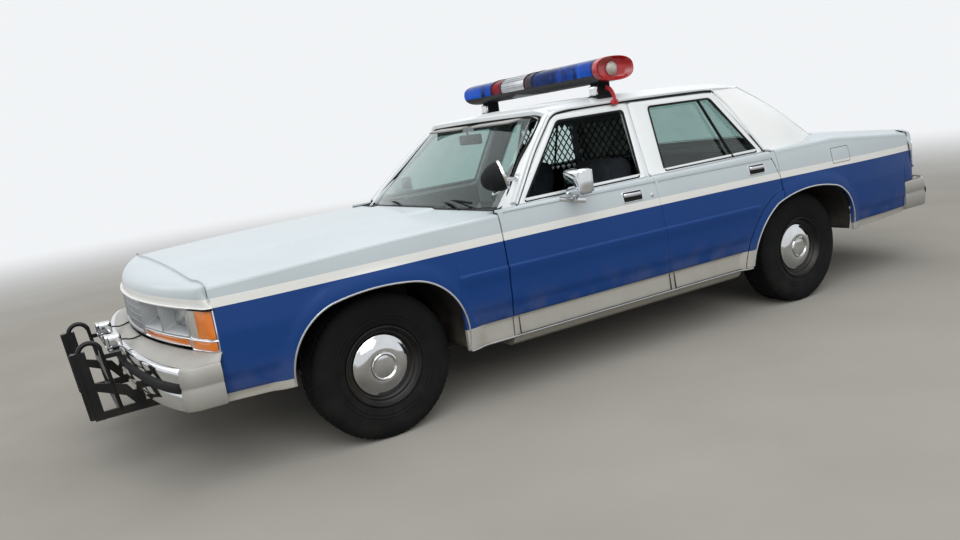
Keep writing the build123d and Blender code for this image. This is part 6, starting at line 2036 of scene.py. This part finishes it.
def build_guard_trim():
    """Ribbed rubber facings on the guard's posts and the two bumper lamps with their ribbed lenses."""
    facings = []
    for sign in (1, -1):
        line = np.linspace((1199, sign * 300, 312), (1226, sign * 300, 618), 40)
        line[:, 0] += 1.6 * (np.arange(40) % 2)
        facings.append(swept(line, slab_profile(11, 46, 3), up=(0, 1, 0)))
    piece("guard_facings", joined(*facings), "rubber", "body", sharp=60)
    steps = even((0, -6), (0, 5), (2, 6), (6, 5), (7, -2))
    shells, rims, lenses = [], [], []
    for y in (200, -200):
        shells.append(slab(1001, 1066, y - 34, y + 34, 591, 655, 12))
        rims.append(pocket(lamp_place, (y - 35, y + 35, 591, 656), steps, 9))
        lenses.append(pane(lamp_place, (y - 29, y + 29, 597, 650), 1, 2, 5))
    piece("bumper_lamp_shells", joined(*shells, *rims), "chrome", "body", ["bumper_lamps"], sharp=50)
    piece("bumper_lamp_lenses", joined(*lenses), "lamp_glass", "body")
    stud = [(0, 8), (7, 8), (8, 6), (8, -1)]
    spots = [(x, y, 590) for x in (1012, 1056) for y in (150, 250, -150, -250)]
    studs = [turned(stud, spot, (0, 0, 1), 6) for spot in spots]
    piece("lamp_studs", joined(*studs), "bright_trim", "body", sharp=30)


def lamp_place(a, z, out):
    """A point on a bumper lamp's face."""
    return placed(1066 + out, a, z)


def build_engine_bay():
    """
    What an open hood shows: air cleaner, valve covers, radiator with its hoses and fan, battery,
    washer bottle and inner fenders.
    """
    cleaner = [
        (0, 44), (30, 44), (34, 40), (150, 38), (168, 34), (172, 28), (172, -14), (166, -20), (60, -24),
        (0, -24),
    ]
    middle = (-40, 0, 836)
    round_top = turned(cleaner, middle, (0, 0, 1), 64)
    duct = smooth_line([(60, 120, 836), (200, 200, 834), (360, 260, 812)], 16)
    snout = swept(duct, slab_profile(70, 44, 16))
    piece("air_cleaner", joined(round_top, snout), "black_steel", "body", sharp=50)
    nut = turned([(0, 58), (8, 56), (10, 50), (4, 44), (0, 44)], middle, (0, 0, 1), 24)
    covers = [slab(-330, 190, y0, y1, 800, 832, 14) for y0, y1 in ((186, 292), (-292, -186))]
    piece("valve_covers", joined(*covers), "grey_panel", "body", sharp=50)
    tank = slab(560, 626, -360, 360, 470, 806, 14)
    rail = slab(540, 640, -420, 420, 806, 824, 6)
    piece("radiator", joined(tank, rail), "black_steel", "body", sharp=50)
    piece("radiator_core", slab(548, 566, -330, 330, 500, 780, 4), "fins", "body")
    upper = [(560, 180, 770), (470, 170, 800), (370, 110, 800), (300, 60, 780)]
    lower = [(560, -220, 540), (460, -200, 520), (360, -120, 540), (320, -100, 560)]
    hoses = [swept(smooth_line(way, 24), disc_profile(thick)) for way, thick in ((upper, 24), (lower, 26))]
    piece("coolant_hoses", joined(*hoses), "rubber", "body")
    battery = slab(330, 540, -600, -430, 600, 790, 8)
    posts = [turned([(0, 18), (9, 18), (10, 0)], (x, -560, 790), (0, 0, 1), 20) for x in (370, 500)]
    piece("battery", battery, "dash", "body", sharp=50)
    piece("battery_posts", joined(*posts, nut), "bright_trim", "body")
    piece("washer_bottle", slab(340, 520, 440, 590, 620, 790, 22), "plate", "body", sharp=50)
    blade = slab(392, 398, -206, 206, 640, 690, 2)
    hub = turned([(0, 12), (60, 12), (62, 0), (60, -12), (0, -12)], (400, 0, 660), (1, 0, 0), 32)
    piece("fan", joined(hub, blade), "black_steel", "body", sharp=50)
    x, z = np.meshgrid(np.linspace(-540, 690, 30), np.linspace(724, 852, 8), indexing="ij")
    wall = placed(x, 640 + 60 * rise((z - 720) / 120), z)
    piece("inner_fenders", both(grid(wall)), "under", "body", solid=3)


# CAD nodes that stay, with their finishes

NODE_FINISH = {
    "frame": "under", "front_frame": "under", "fuel_tank": "under", "floor_pan": "carpet",
    "sills": "rocker", "engine_block": "iron", "knuckle_left": "iron", "knuckle_right": "iron",
    "front_suspension": "iron", "rear_axle": "iron", "exhaust": "pipe", "partition": "black_steel",
    "push_guard": "black_steel", "windscreen": "glass", "glass_front_right": "glass",
    "glass_rear_left": "glass", "glass_rear_right": "glass",
}
SOFT_EDGES = {"push_guard": 2, "sills": 4, "fuel_tank": 10, "partition": 1}  # millimetres


def dress_nodes():
    """Gives each CAD node that stays its finish, with welded and rounded edges where they show."""
    for name, finish in NODE_FINISH.items():
        node = frame["nodes"][name]
        node.data.materials.clear()
        node.data.materials.append(finishes()[finish])
        width = SOFT_EDGES.get(name)
        if width:
            weld = node.modifiers.new("weld", "WELD")
            weld.merge_threshold = 1e-5
            edge = node.modifiers.new("edge", "BEVEL")
            edge.width = width * MM
            edge.segments = 3
            edge.limit_method = "ANGLE"
            edge.angle_limit = math.radians(30)
            edge.harden_normals = True


# Cords

LEAD_ROUTE = [
    # ahead of the front axle, across, above the floor
    (1000, 200, 622), (986, 200, 622), (972, 205, 616), (951, 211, 615), (930, 216, 621), (911, 219, 626),
    (893, 220, 626),
]
LEAD_DIAMETER = 0.007


def build_leads():
    """The two lamp leads, each a smooth line through its route."""
    for name, side in (("left", 1), ("right", -1)):
        curve = bpy.data.curves.new(f"lamp_lead_{name}_cord", "CURVE")
        curve.dimensions = "3D"
        line = curve.splines.new("NURBS")
        line.points.add(len(LEAD_ROUTE) - 1)
        for point, (x, y, z) in zip(line.points, LEAD_ROUTE):
            point.co = (x * MM + FRONT_AXLE, side * y * MM, z * MM, 1)
        line.order_u = 3
        line.use_endpoint_u = True
        line.resolution_u = 8
        curve.bevel_depth = LEAD_DIAMETER / 2
        curve.bevel_resolution = 3
        curve.use_fill_caps = True
        made = put(curve.name, curve)
        curve.materials.append(finishes()["rubber"])
        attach(made, "body")
        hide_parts(f"lamp_lead_{name}")


# Camera, floor, surround and lamps

CAMERA_PLACE = (1.327, 4.218, 1.366)
CAMERA_TURN = (-119.52, -10.07, -7.79)
FOCAL_PIXELS = 802.2
PHOTO_WIDTH = 960
SENSOR = 36.0
LIGHTS_AIM = (0, 0, 0.6)
SURROUND = (0.93, 0.95, 0.97, 1)


def build_camera():
    """The camera where the photograph was taken: place, bearing, tilt and roll."""
    data = bpy.data.cameras.new("photo_camera")
    data.sensor_width = SENSOR
    data.lens = SENSOR * FOCAL_PIXELS / PHOTO_WIDTH
    data.clip_end = 200
    made = put("photo_camera", data)
    az, el, roll = map(math.radians, CAMERA_TURN)
    forward = Vector((math.cos(az) * math.cos(el), math.sin(az) * math.cos(el), math.sin(el)))
    right = forward.cross(Vector((0, 0, 1))).normalized()
    up = right.cross(forward)
    right2 = math.cos(roll) * right + math.sin(roll) * up
    up2 = -math.sin(roll) * right + math.cos(roll) * up
    turn = Matrix((right2, up2, -forward)).transposed()
    made.matrix_world = Matrix.Translation(Vector(CAMERA_PLACE) + Vector((FRONT_AXLE, 0, 0))) @ turn.to_4x4()
    bpy.context.scene.camera = made


def area_light(name, place, extent, power):
    """A soft rectangular light that faces the car's middle."""
    data = bpy.data.lights.new(name, "AREA")
    data.shape = "RECTANGLE"
    data.size, data.size_y = extent
    data.energy = power
    made = put(name, data)
    made.location = place
    made.rotation_mode = "QUATERNION"
    made.rotation_quaternion = (Vector(LIGHTS_AIM) - Vector(place)).to_track_quat("-Z", "Y")


def seen_through(tree, ray):
    """One for rays that come from the camera, or by way of a glossy face or of glass, else zero."""
    seen = Value(tree, ray.outputs["Is Camera Ray"])
    for kind in ("Glossy", "Transmission"):
        seen = seen.math("MAXIMUM", Value(tree, ray.outputs[f"Is {kind} Ray"]))
    return seen


def floor_finish():
    """A pale matt floor that fades, for the camera and in reflections, into the surround."""
    f = Finish("studio_floor")
    x, y, _ = f.axes()
    far = (x * x + y * y).math("SQRT").between(5.0, 16.0)
    seen = seen_through(f.tree, f.node("ShaderNodeLightPath"))
    tone = f.noise(1.5, 3.0)
    shade = f.mix(tone, rgb(146, 143, 136), rgb(160, 157, 150))
    matt = f.node("ShaderNodeBsdfDiffuse", values={"Color": shade, "Roughness": 0.9})
    glow = f.node("ShaderNodeEmission", values={"Color": SURROUND, "Strength": 0.95})
    mixed = f.node("ShaderNodeMixShader", values={0: far * seen, 1: matt.outputs[0], 2: glow.outputs[0]})
    out = f.node("ShaderNodeOutputMaterial")
    f.tree.links.new(mixed.outputs[0], out.inputs[0])
    f.material.cycles.emission_sampling = "NONE"
    return f


def build_stage():
    """A pale floor, a pale surround and soft lights."""
    f = floor_finish()
    mesh = bpy.data.meshes.new("studio_floor")
    reach = size("floor_reach") * MM
    corners = [(-reach, -reach, 0), (reach, -reach, 0), (reach, reach, 0), (-reach, reach, 0)]
    mesh.from_pydata(corners, [], [(0, 1, 2, 3)])
    mesh.materials.append(f.material)
    put("studio_floor", mesh)
    world = bpy.data.worlds.new("studio")
    bpy.context.scene.world = world
    world.use_nodes = True
    tree = world.node_tree
    tree.nodes.clear()
    seen = seen_through(tree, tree.nodes.new("ShaderNodeLightPath"))
    background = tree.nodes.new("ShaderNodeBackground")
    background.inputs["Color"].default_value = SURROUND
    tree.links.new((0.55 + 0.4 * seen).socket, background.inputs["Strength"])
    out = tree.nodes.new("ShaderNodeOutputWorld")
    tree.links.new(background.outputs[0], out.inputs[0])
    area_light("key", (3.5, 7.0, 6.5), (9, 7), 450)
    area_light("fill", (6.5, -4.0, 5.5), (8, 6), 165)
    area_light("top", (-0.6, 0.0, 7.5), (11, 8), 345)
    bpy.context.scene.view_settings.view_transform = "Standard"


# Add-on

class SedanSizes(bpy.types.PropertyGroup):
    """Sizes that the pieces share."""

    panel_gap: FloatProperty(
        name="Panel gap", description="Half the gap between two panels", default=0.003, min=0.001,
        max=0.006, subtype="DISTANCE", unit="LENGTH",
    )
    edge_radius: FloatProperty(
        name="Edge radius", description="Radius of a panel's turned border", default=0.0025, min=0.001,
        max=0.006, subtype="DISTANCE", unit="LENGTH",
    )
    pad_voxel: FloatProperty(
        name="Pad voxel", description="Step of the voxel remesh of a pad", default=0.015, min=0.008,
        max=0.03, subtype="DISTANCE", unit="LENGTH",
    )
    pad_swell: FloatProperty(
        name="Pad swell", description="Furthest move of a pad's point under pressure", default=0.024,
        min=0.0, max=0.03, subtype="DISTANCE", unit="LENGTH",
    )
    floor_reach: FloatProperty(
        name="Floor reach", description="Half the width of the floor", default=60, min=20, max=100,
        subtype="DISTANCE", unit="LENGTH",
    )


class SedanColours(bpy.types.PropertyGroup):
    """Colours of the livery."""

    silver: FloatVectorProperty(
        name="Silver", description="Upper body", subtype="COLOR", default=rgb(180, 190, 194)[:3], min=0, max=1
    )
    stripe: FloatVectorProperty(
        name="Stripe", description="Stripe above the blue", subtype="COLOR", default=rgb(226, 226, 222)[:3],
        min=0, max=1,
    )
    blue: FloatVectorProperty(
        name="Blue", description="Sides", subtype="COLOR", default=rgb(8, 56, 118)[:3], min=0, max=1
    )
    low_band: FloatVectorProperty(
        name="Low band", description="Band along the sills", subtype="COLOR", default=rgb(168, 166, 158)[:3],
        min=0, max=1,
    )
    roof: FloatVectorProperty(
        name="Roof", description="Roof, pillars and window frames", subtype="COLOR",
        default=rgb(214, 219, 220)[:3], min=0, max=1,
    )
    vinyl: FloatVectorProperty(
        name="Vinyl", description="Covering of the rear pillars", subtype="COLOR",
        default=rgb(226, 228, 228)[:3], min=0, max=1,
    )


class PieceStep:
    """What the steps share: build the group, and stop with an error if it made nothing."""

    bl_options = {"REGISTER", "UNDO"}

    def execute(self, context):
        before = len(bpy.data.objects)
        self.build()
        if len(bpy.data.objects) <= before:
            raise RuntimeError(f"{self.bl_label}: no piece was made")
        return {"FINISHED"}


class SEDAN_OT_stage(bpy.types.Operator):
    """Camera, floor, surround and lamps."""

    bl_idname = "sedan.stage"
    bl_label = "Stage"
    bl_options = {"REGISTER", "UNDO"}

    def execute(self, context):
        build_camera()
        build_stage()
        if context.scene.camera is None:
            raise RuntimeError("Stage: there is no camera")
        return {"FINISHED"}


class SEDAN_OT_leads(PieceStep, bpy.types.Operator):
    """Both leads from the bumper lamps to the nose, as smooth curves through their routes."""

    bl_idname = "sedan.leads"
    bl_label = "Lamp leads"
    build = staticmethod(build_leads)


class SEDAN_OT_fenders(PieceStep, bpy.types.Operator):
    """Both front fenders: arch, side and the turn over the shoulder."""

    bl_idname = "sedan.fenders"
    bl_label = "Fenders"
    build = staticmethod(build_fenders)


class SEDAN_OT_doors(PieceStep, bpy.types.Operator):
    """Outer skins and linings of the four doors."""

    bl_idname = "sedan.doors"
    bl_label = "Doors"
    build = staticmethod(build_doors)


class SEDAN_OT_hood(PieceStep, bpy.types.Operator):
    """The crowned hood with its raised middle."""

    bl_idname = "sedan.hood"
    bl_label = "Hood"
    build = staticmethod(build_hood)


class SEDAN_OT_trunk_lid(PieceStep, bpy.types.Operator):
    """The lid with its drop between the lamps, the blank plate and the lock."""

    bl_idname = "sedan.trunk_lid"
    bl_label = "Trunk lid"
    build = staticmethod(build_trunk_lid)


class SEDAN_OT_quarters(PieceStep, bpy.types.Operator):
    """Both rear quarters and their strips ahead of the arches."""

    bl_idname = "sedan.quarters"
    bl_label = "Quarter panels"
    build = staticmethod(build_quarters)


class SEDAN_OT_roof(PieceStep, bpy.types.Operator):
    """The roof panel."""

    bl_idname = "sedan.roof"
    bl_label = "Roof"
    build = staticmethod(build_roof)


class SEDAN_OT_pillars(PieceStep, bpy.types.Operator):
    """Windscreen pillars and the vinyl rear pillars."""

    bl_idname = "sedan.pillars"
    bl_label = "Pillars"
    build = staticmethod(build_pillars)


class SEDAN_OT_window_frames(PieceStep, bpy.types.Operator):
    """Painted frames of the four doors."""

    bl_idname = "sedan.window_frames"
    bl_label = "Window frames"
    build = staticmethod(build_window_frames)


class SEDAN_OT_wheels(PieceStep, bpy.types.Operator):
    """Tyres, black steel wheels and bright caps."""

    bl_idname = "sedan.wheels"
    bl_label = "Wheels"
    build = staticmethod(build_wheels)


class SEDAN_OT_wheel_houses(PieceStep, bpy.types.Operator):
    """Dark liners inside the arches."""

    bl_idname = "sedan.wheel_houses"
    bl_label = "Wheel houses"
    build = staticmethod(build_wheel_houses)


class SEDAN_OT_front_end(PieceStep, bpy.types.Operator):
    """Header, grille, headlamps and corner lamps."""

    bl_idname = "sedan.front_end"
    bl_label = "Front end"
    build = staticmethod(build_front_end)


class SEDAN_OT_bumpers(PieceStep, bpy.types.Operator):
    """Bars, rubber strips, end caps, fillers and stays."""

    bl_idname = "sedan.bumpers"
    bl_label = "Bumpers"
    build = staticmethod(build_bumpers)


class SEDAN_OT_light_bar(PieceStep, bpy.types.Operator):
    """Domes, loudspeaker, tray, turning lamps and feet."""

    bl_idname = "sedan.light_bar"
    bl_label = "Light bar"
    build = staticmethod(build_light_bar)


class SEDAN_OT_side_trim(PieceStep, bpy.types.Operator):
    """Bright strips round the arches and along the sills."""

    bl_idname = "sedan.side_trim"
    bl_label = "Side trim"
    build = staticmethod(build_side_trim)


class SEDAN_OT_belt_trim(PieceStep, bpy.types.Operator):
    """Belt strips, window seals and the rear doors' bars."""

    bl_idname = "sedan.belt_trim"
    bl_label = "Belt trim"
    build = staticmethod(build_belt_trim)


class SEDAN_OT_drip_rails(PieceStep, bpy.types.Operator):
    """The gutters over the doors with their seals."""

    bl_idname = "sedan.drip_rails"
    bl_label = "Drip rails"
    build = staticmethod(build_drip_rails)


class SEDAN_OT_posts(PieceStep, bpy.types.Operator):
    """Inner posts, rails, the roof's lining and the rear pillars' lining."""

    bl_idname = "sedan.posts"
    bl_label = "Posts and lining"
    build = staticmethod(build_posts)


class SEDAN_OT_rear_window(PieceStep, bpy.types.Operator):
    """The bent rear window with its seal and reveal strip."""

    bl_idname = "sedan.rear_window"
    bl_label = "Rear window"
    build = staticmethod(build_rear_window)


class SEDAN_OT_glass_trim(PieceStep, bpy.types.Operator):
    """The windscreen's seal and the wipers."""

    bl_idname = "sedan.glass_trim"
    bl_label = "Windscreen trim"
    build = staticmethod(build_glass_trim)


class SEDAN_OT_cowl(PieceStep, bpy.types.Operator):
    """The slotted panel ahead of the windscreen."""

    bl_idname = "sedan.cowl"
    bl_label = "Cowl"
    build = staticmethod(build_cowl)


class SEDAN_OT_handles(PieceStep, bpy.types.Operator):
    """Pull handles, their cups and the locks."""

    bl_idname = "sedan.handles"
    bl_label = "Door handles"
    build = staticmethod(build_handles)


class SEDAN_OT_fuel_door(PieceStep, bpy.types.Operator):
    """The filler's flap and its shut line."""

    bl_idname = "sedan.fuel_door"
    bl_label = "Fuel door"
    build = staticmethod(build_fuel_door)


class SEDAN_OT_mirrors(PieceStep, bpy.types.Operator):
    """The bright square mirrors on the front doors."""

    bl_idname = "sedan.mirrors"
    bl_label = "Mirrors"
    build = staticmethod(build_mirrors)


class SEDAN_OT_spotlight(PieceStep, bpy.types.Operator):
    """The pillar's spotlight and its bracket."""

    bl_idname = "sedan.spotlight"
    bl_label = "Spotlight"
    build = staticmethod(build_spotlight)


class SEDAN_OT_tail(PieceStep, bpy.types.Operator):
    """Tail panel, its corners and the lamps."""

    bl_idname = "sedan.tail"
    bl_label = "Tail"
    build = staticmethod(build_tail)


class SEDAN_OT_deck(PieceStep, bpy.types.Operator):
    """The fixed strip behind the rear window."""

    bl_idname = "sedan.deck"
    bl_label = "Rear deck"
    build = staticmethod(build_deck)


class SEDAN_OT_seats(PieceStep, bpy.types.Operator):
    """Padded front seats and rear bench, blown up as cloth."""

    bl_idname = "sedan.seats"
    bl_label = "Seats"
    build = staticmethod(build_seats)


class SEDAN_OT_dashboard(PieceStep, bpy.types.Operator):
    """The padded dashboard, dials, vents, radio and column."""

    bl_idname = "sedan.dashboard"
    bl_label = "Dashboard"
    build = staticmethod(build_dashboard)


class SEDAN_OT_steering_wheel(PieceStep, bpy.types.Operator):
    """Rim, spokes, boss and horn button."""

    bl_idname = "sedan.steering_wheel"
    bl_label = "Steering wheel"
    build = staticmethod(build_steering_wheel)


class SEDAN_OT_cabin_fittings(PieceStep, bpy.types.Operator):
    """Inner mirror, visors, rear shelf and pedals."""

    bl_idname = "sedan.cabin_fittings"
    bl_label = "Cabin fittings"
    build = staticmethod(build_cabin_fittings)


class SEDAN_OT_guard_trim(PieceStep, bpy.types.Operator):
    """Rubber facings of the guard and the two bumper lamps."""

    bl_idname = "sedan.guard_trim"
    bl_label = "Guard trim"
    build = staticmethod(build_guard_trim)


class SEDAN_OT_engine_bay(PieceStep, bpy.types.Operator):
    """Air cleaner, radiator, hoses, battery and bottle."""

    bl_idname = "sedan.engine_bay"
    bl_label = "Engine bay"
    build = staticmethod(build_engine_bay)


class SEDAN_OT_nodes(bpy.types.Operator):
    """Finishes of the frame's own nodes that stay in view."""

    bl_idname = "sedan.nodes"
    bl_label = "Frame nodes"
    bl_options = {"REGISTER", "UNDO"}

    def execute(self, context):
        dress_nodes()
        bare = [name for name in NODE_FINISH if not frame["nodes"][name].data.materials]
        if bare:
            raise RuntimeError(f"Frame nodes without a finish: {bare}")
        return {"FINISHED"}


STEPS = (
    SEDAN_OT_stage, SEDAN_OT_leads, SEDAN_OT_fenders, SEDAN_OT_doors, SEDAN_OT_hood, SEDAN_OT_trunk_lid,
    SEDAN_OT_quarters, SEDAN_OT_roof, SEDAN_OT_pillars, SEDAN_OT_window_frames, SEDAN_OT_wheels,
    SEDAN_OT_wheel_houses, SEDAN_OT_front_end, SEDAN_OT_bumpers, SEDAN_OT_light_bar, SEDAN_OT_side_trim,
    SEDAN_OT_belt_trim, SEDAN_OT_drip_rails, SEDAN_OT_posts, SEDAN_OT_rear_window, SEDAN_OT_glass_trim,
    SEDAN_OT_cowl, SEDAN_OT_handles, SEDAN_OT_fuel_door, SEDAN_OT_mirrors, SEDAN_OT_spotlight,
    SEDAN_OT_tail, SEDAN_OT_deck, SEDAN_OT_seats, SEDAN_OT_dashboard, SEDAN_OT_steering_wheel,
    SEDAN_OT_cabin_fittings, SEDAN_OT_guard_trim, SEDAN_OT_engine_bay, SEDAN_OT_nodes,
)


class SEDAN_PT_steps(bpy.types.Panel):
    """The sizes, the colours and the steps in order."""

    bl_idname = "SEDAN_PT_steps"
    bl_label = "Patrol Sedan"
    bl_space_type = "VIEW_3D"
    bl_region_type = "UI"
    bl_category = "Sedan"

    def draw(self, context):
        for group in (context.scene.sedan_sizes, context.scene.sedan_colours):
            for name in group.__annotations__:
                self.layout.prop(group, name)
        for step in STEPS:
            self.layout.operator(step.bl_idname)


CLASSES = (SedanSizes, SedanColours, *STEPS, SEDAN_PT_steps)


def register():
    """Registers the classes and hangs the two property groups on the scene."""
    for made in CLASSES:
        bpy.utils.register_class(made)
    bpy.types.Scene.sedan_sizes = PointerProperty(type=SedanSizes)
    bpy.types.Scene.sedan_colours = PointerProperty(type=SedanColours)


def unregister():
    """Takes them away again."""
    del bpy.types.Scene.sedan_colours
    del bpy.types.Scene.sedan_sizes
    for made in reversed(CLASSES):
        bpy.utils.unregister_class(made)


def main():
    """Registers the add-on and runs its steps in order."""
    register()
    for step in STEPS:
        getattr(bpy.ops.sedan, step.bl_idname.split(".")[1])()


if __name__ == "__main__":
    main()
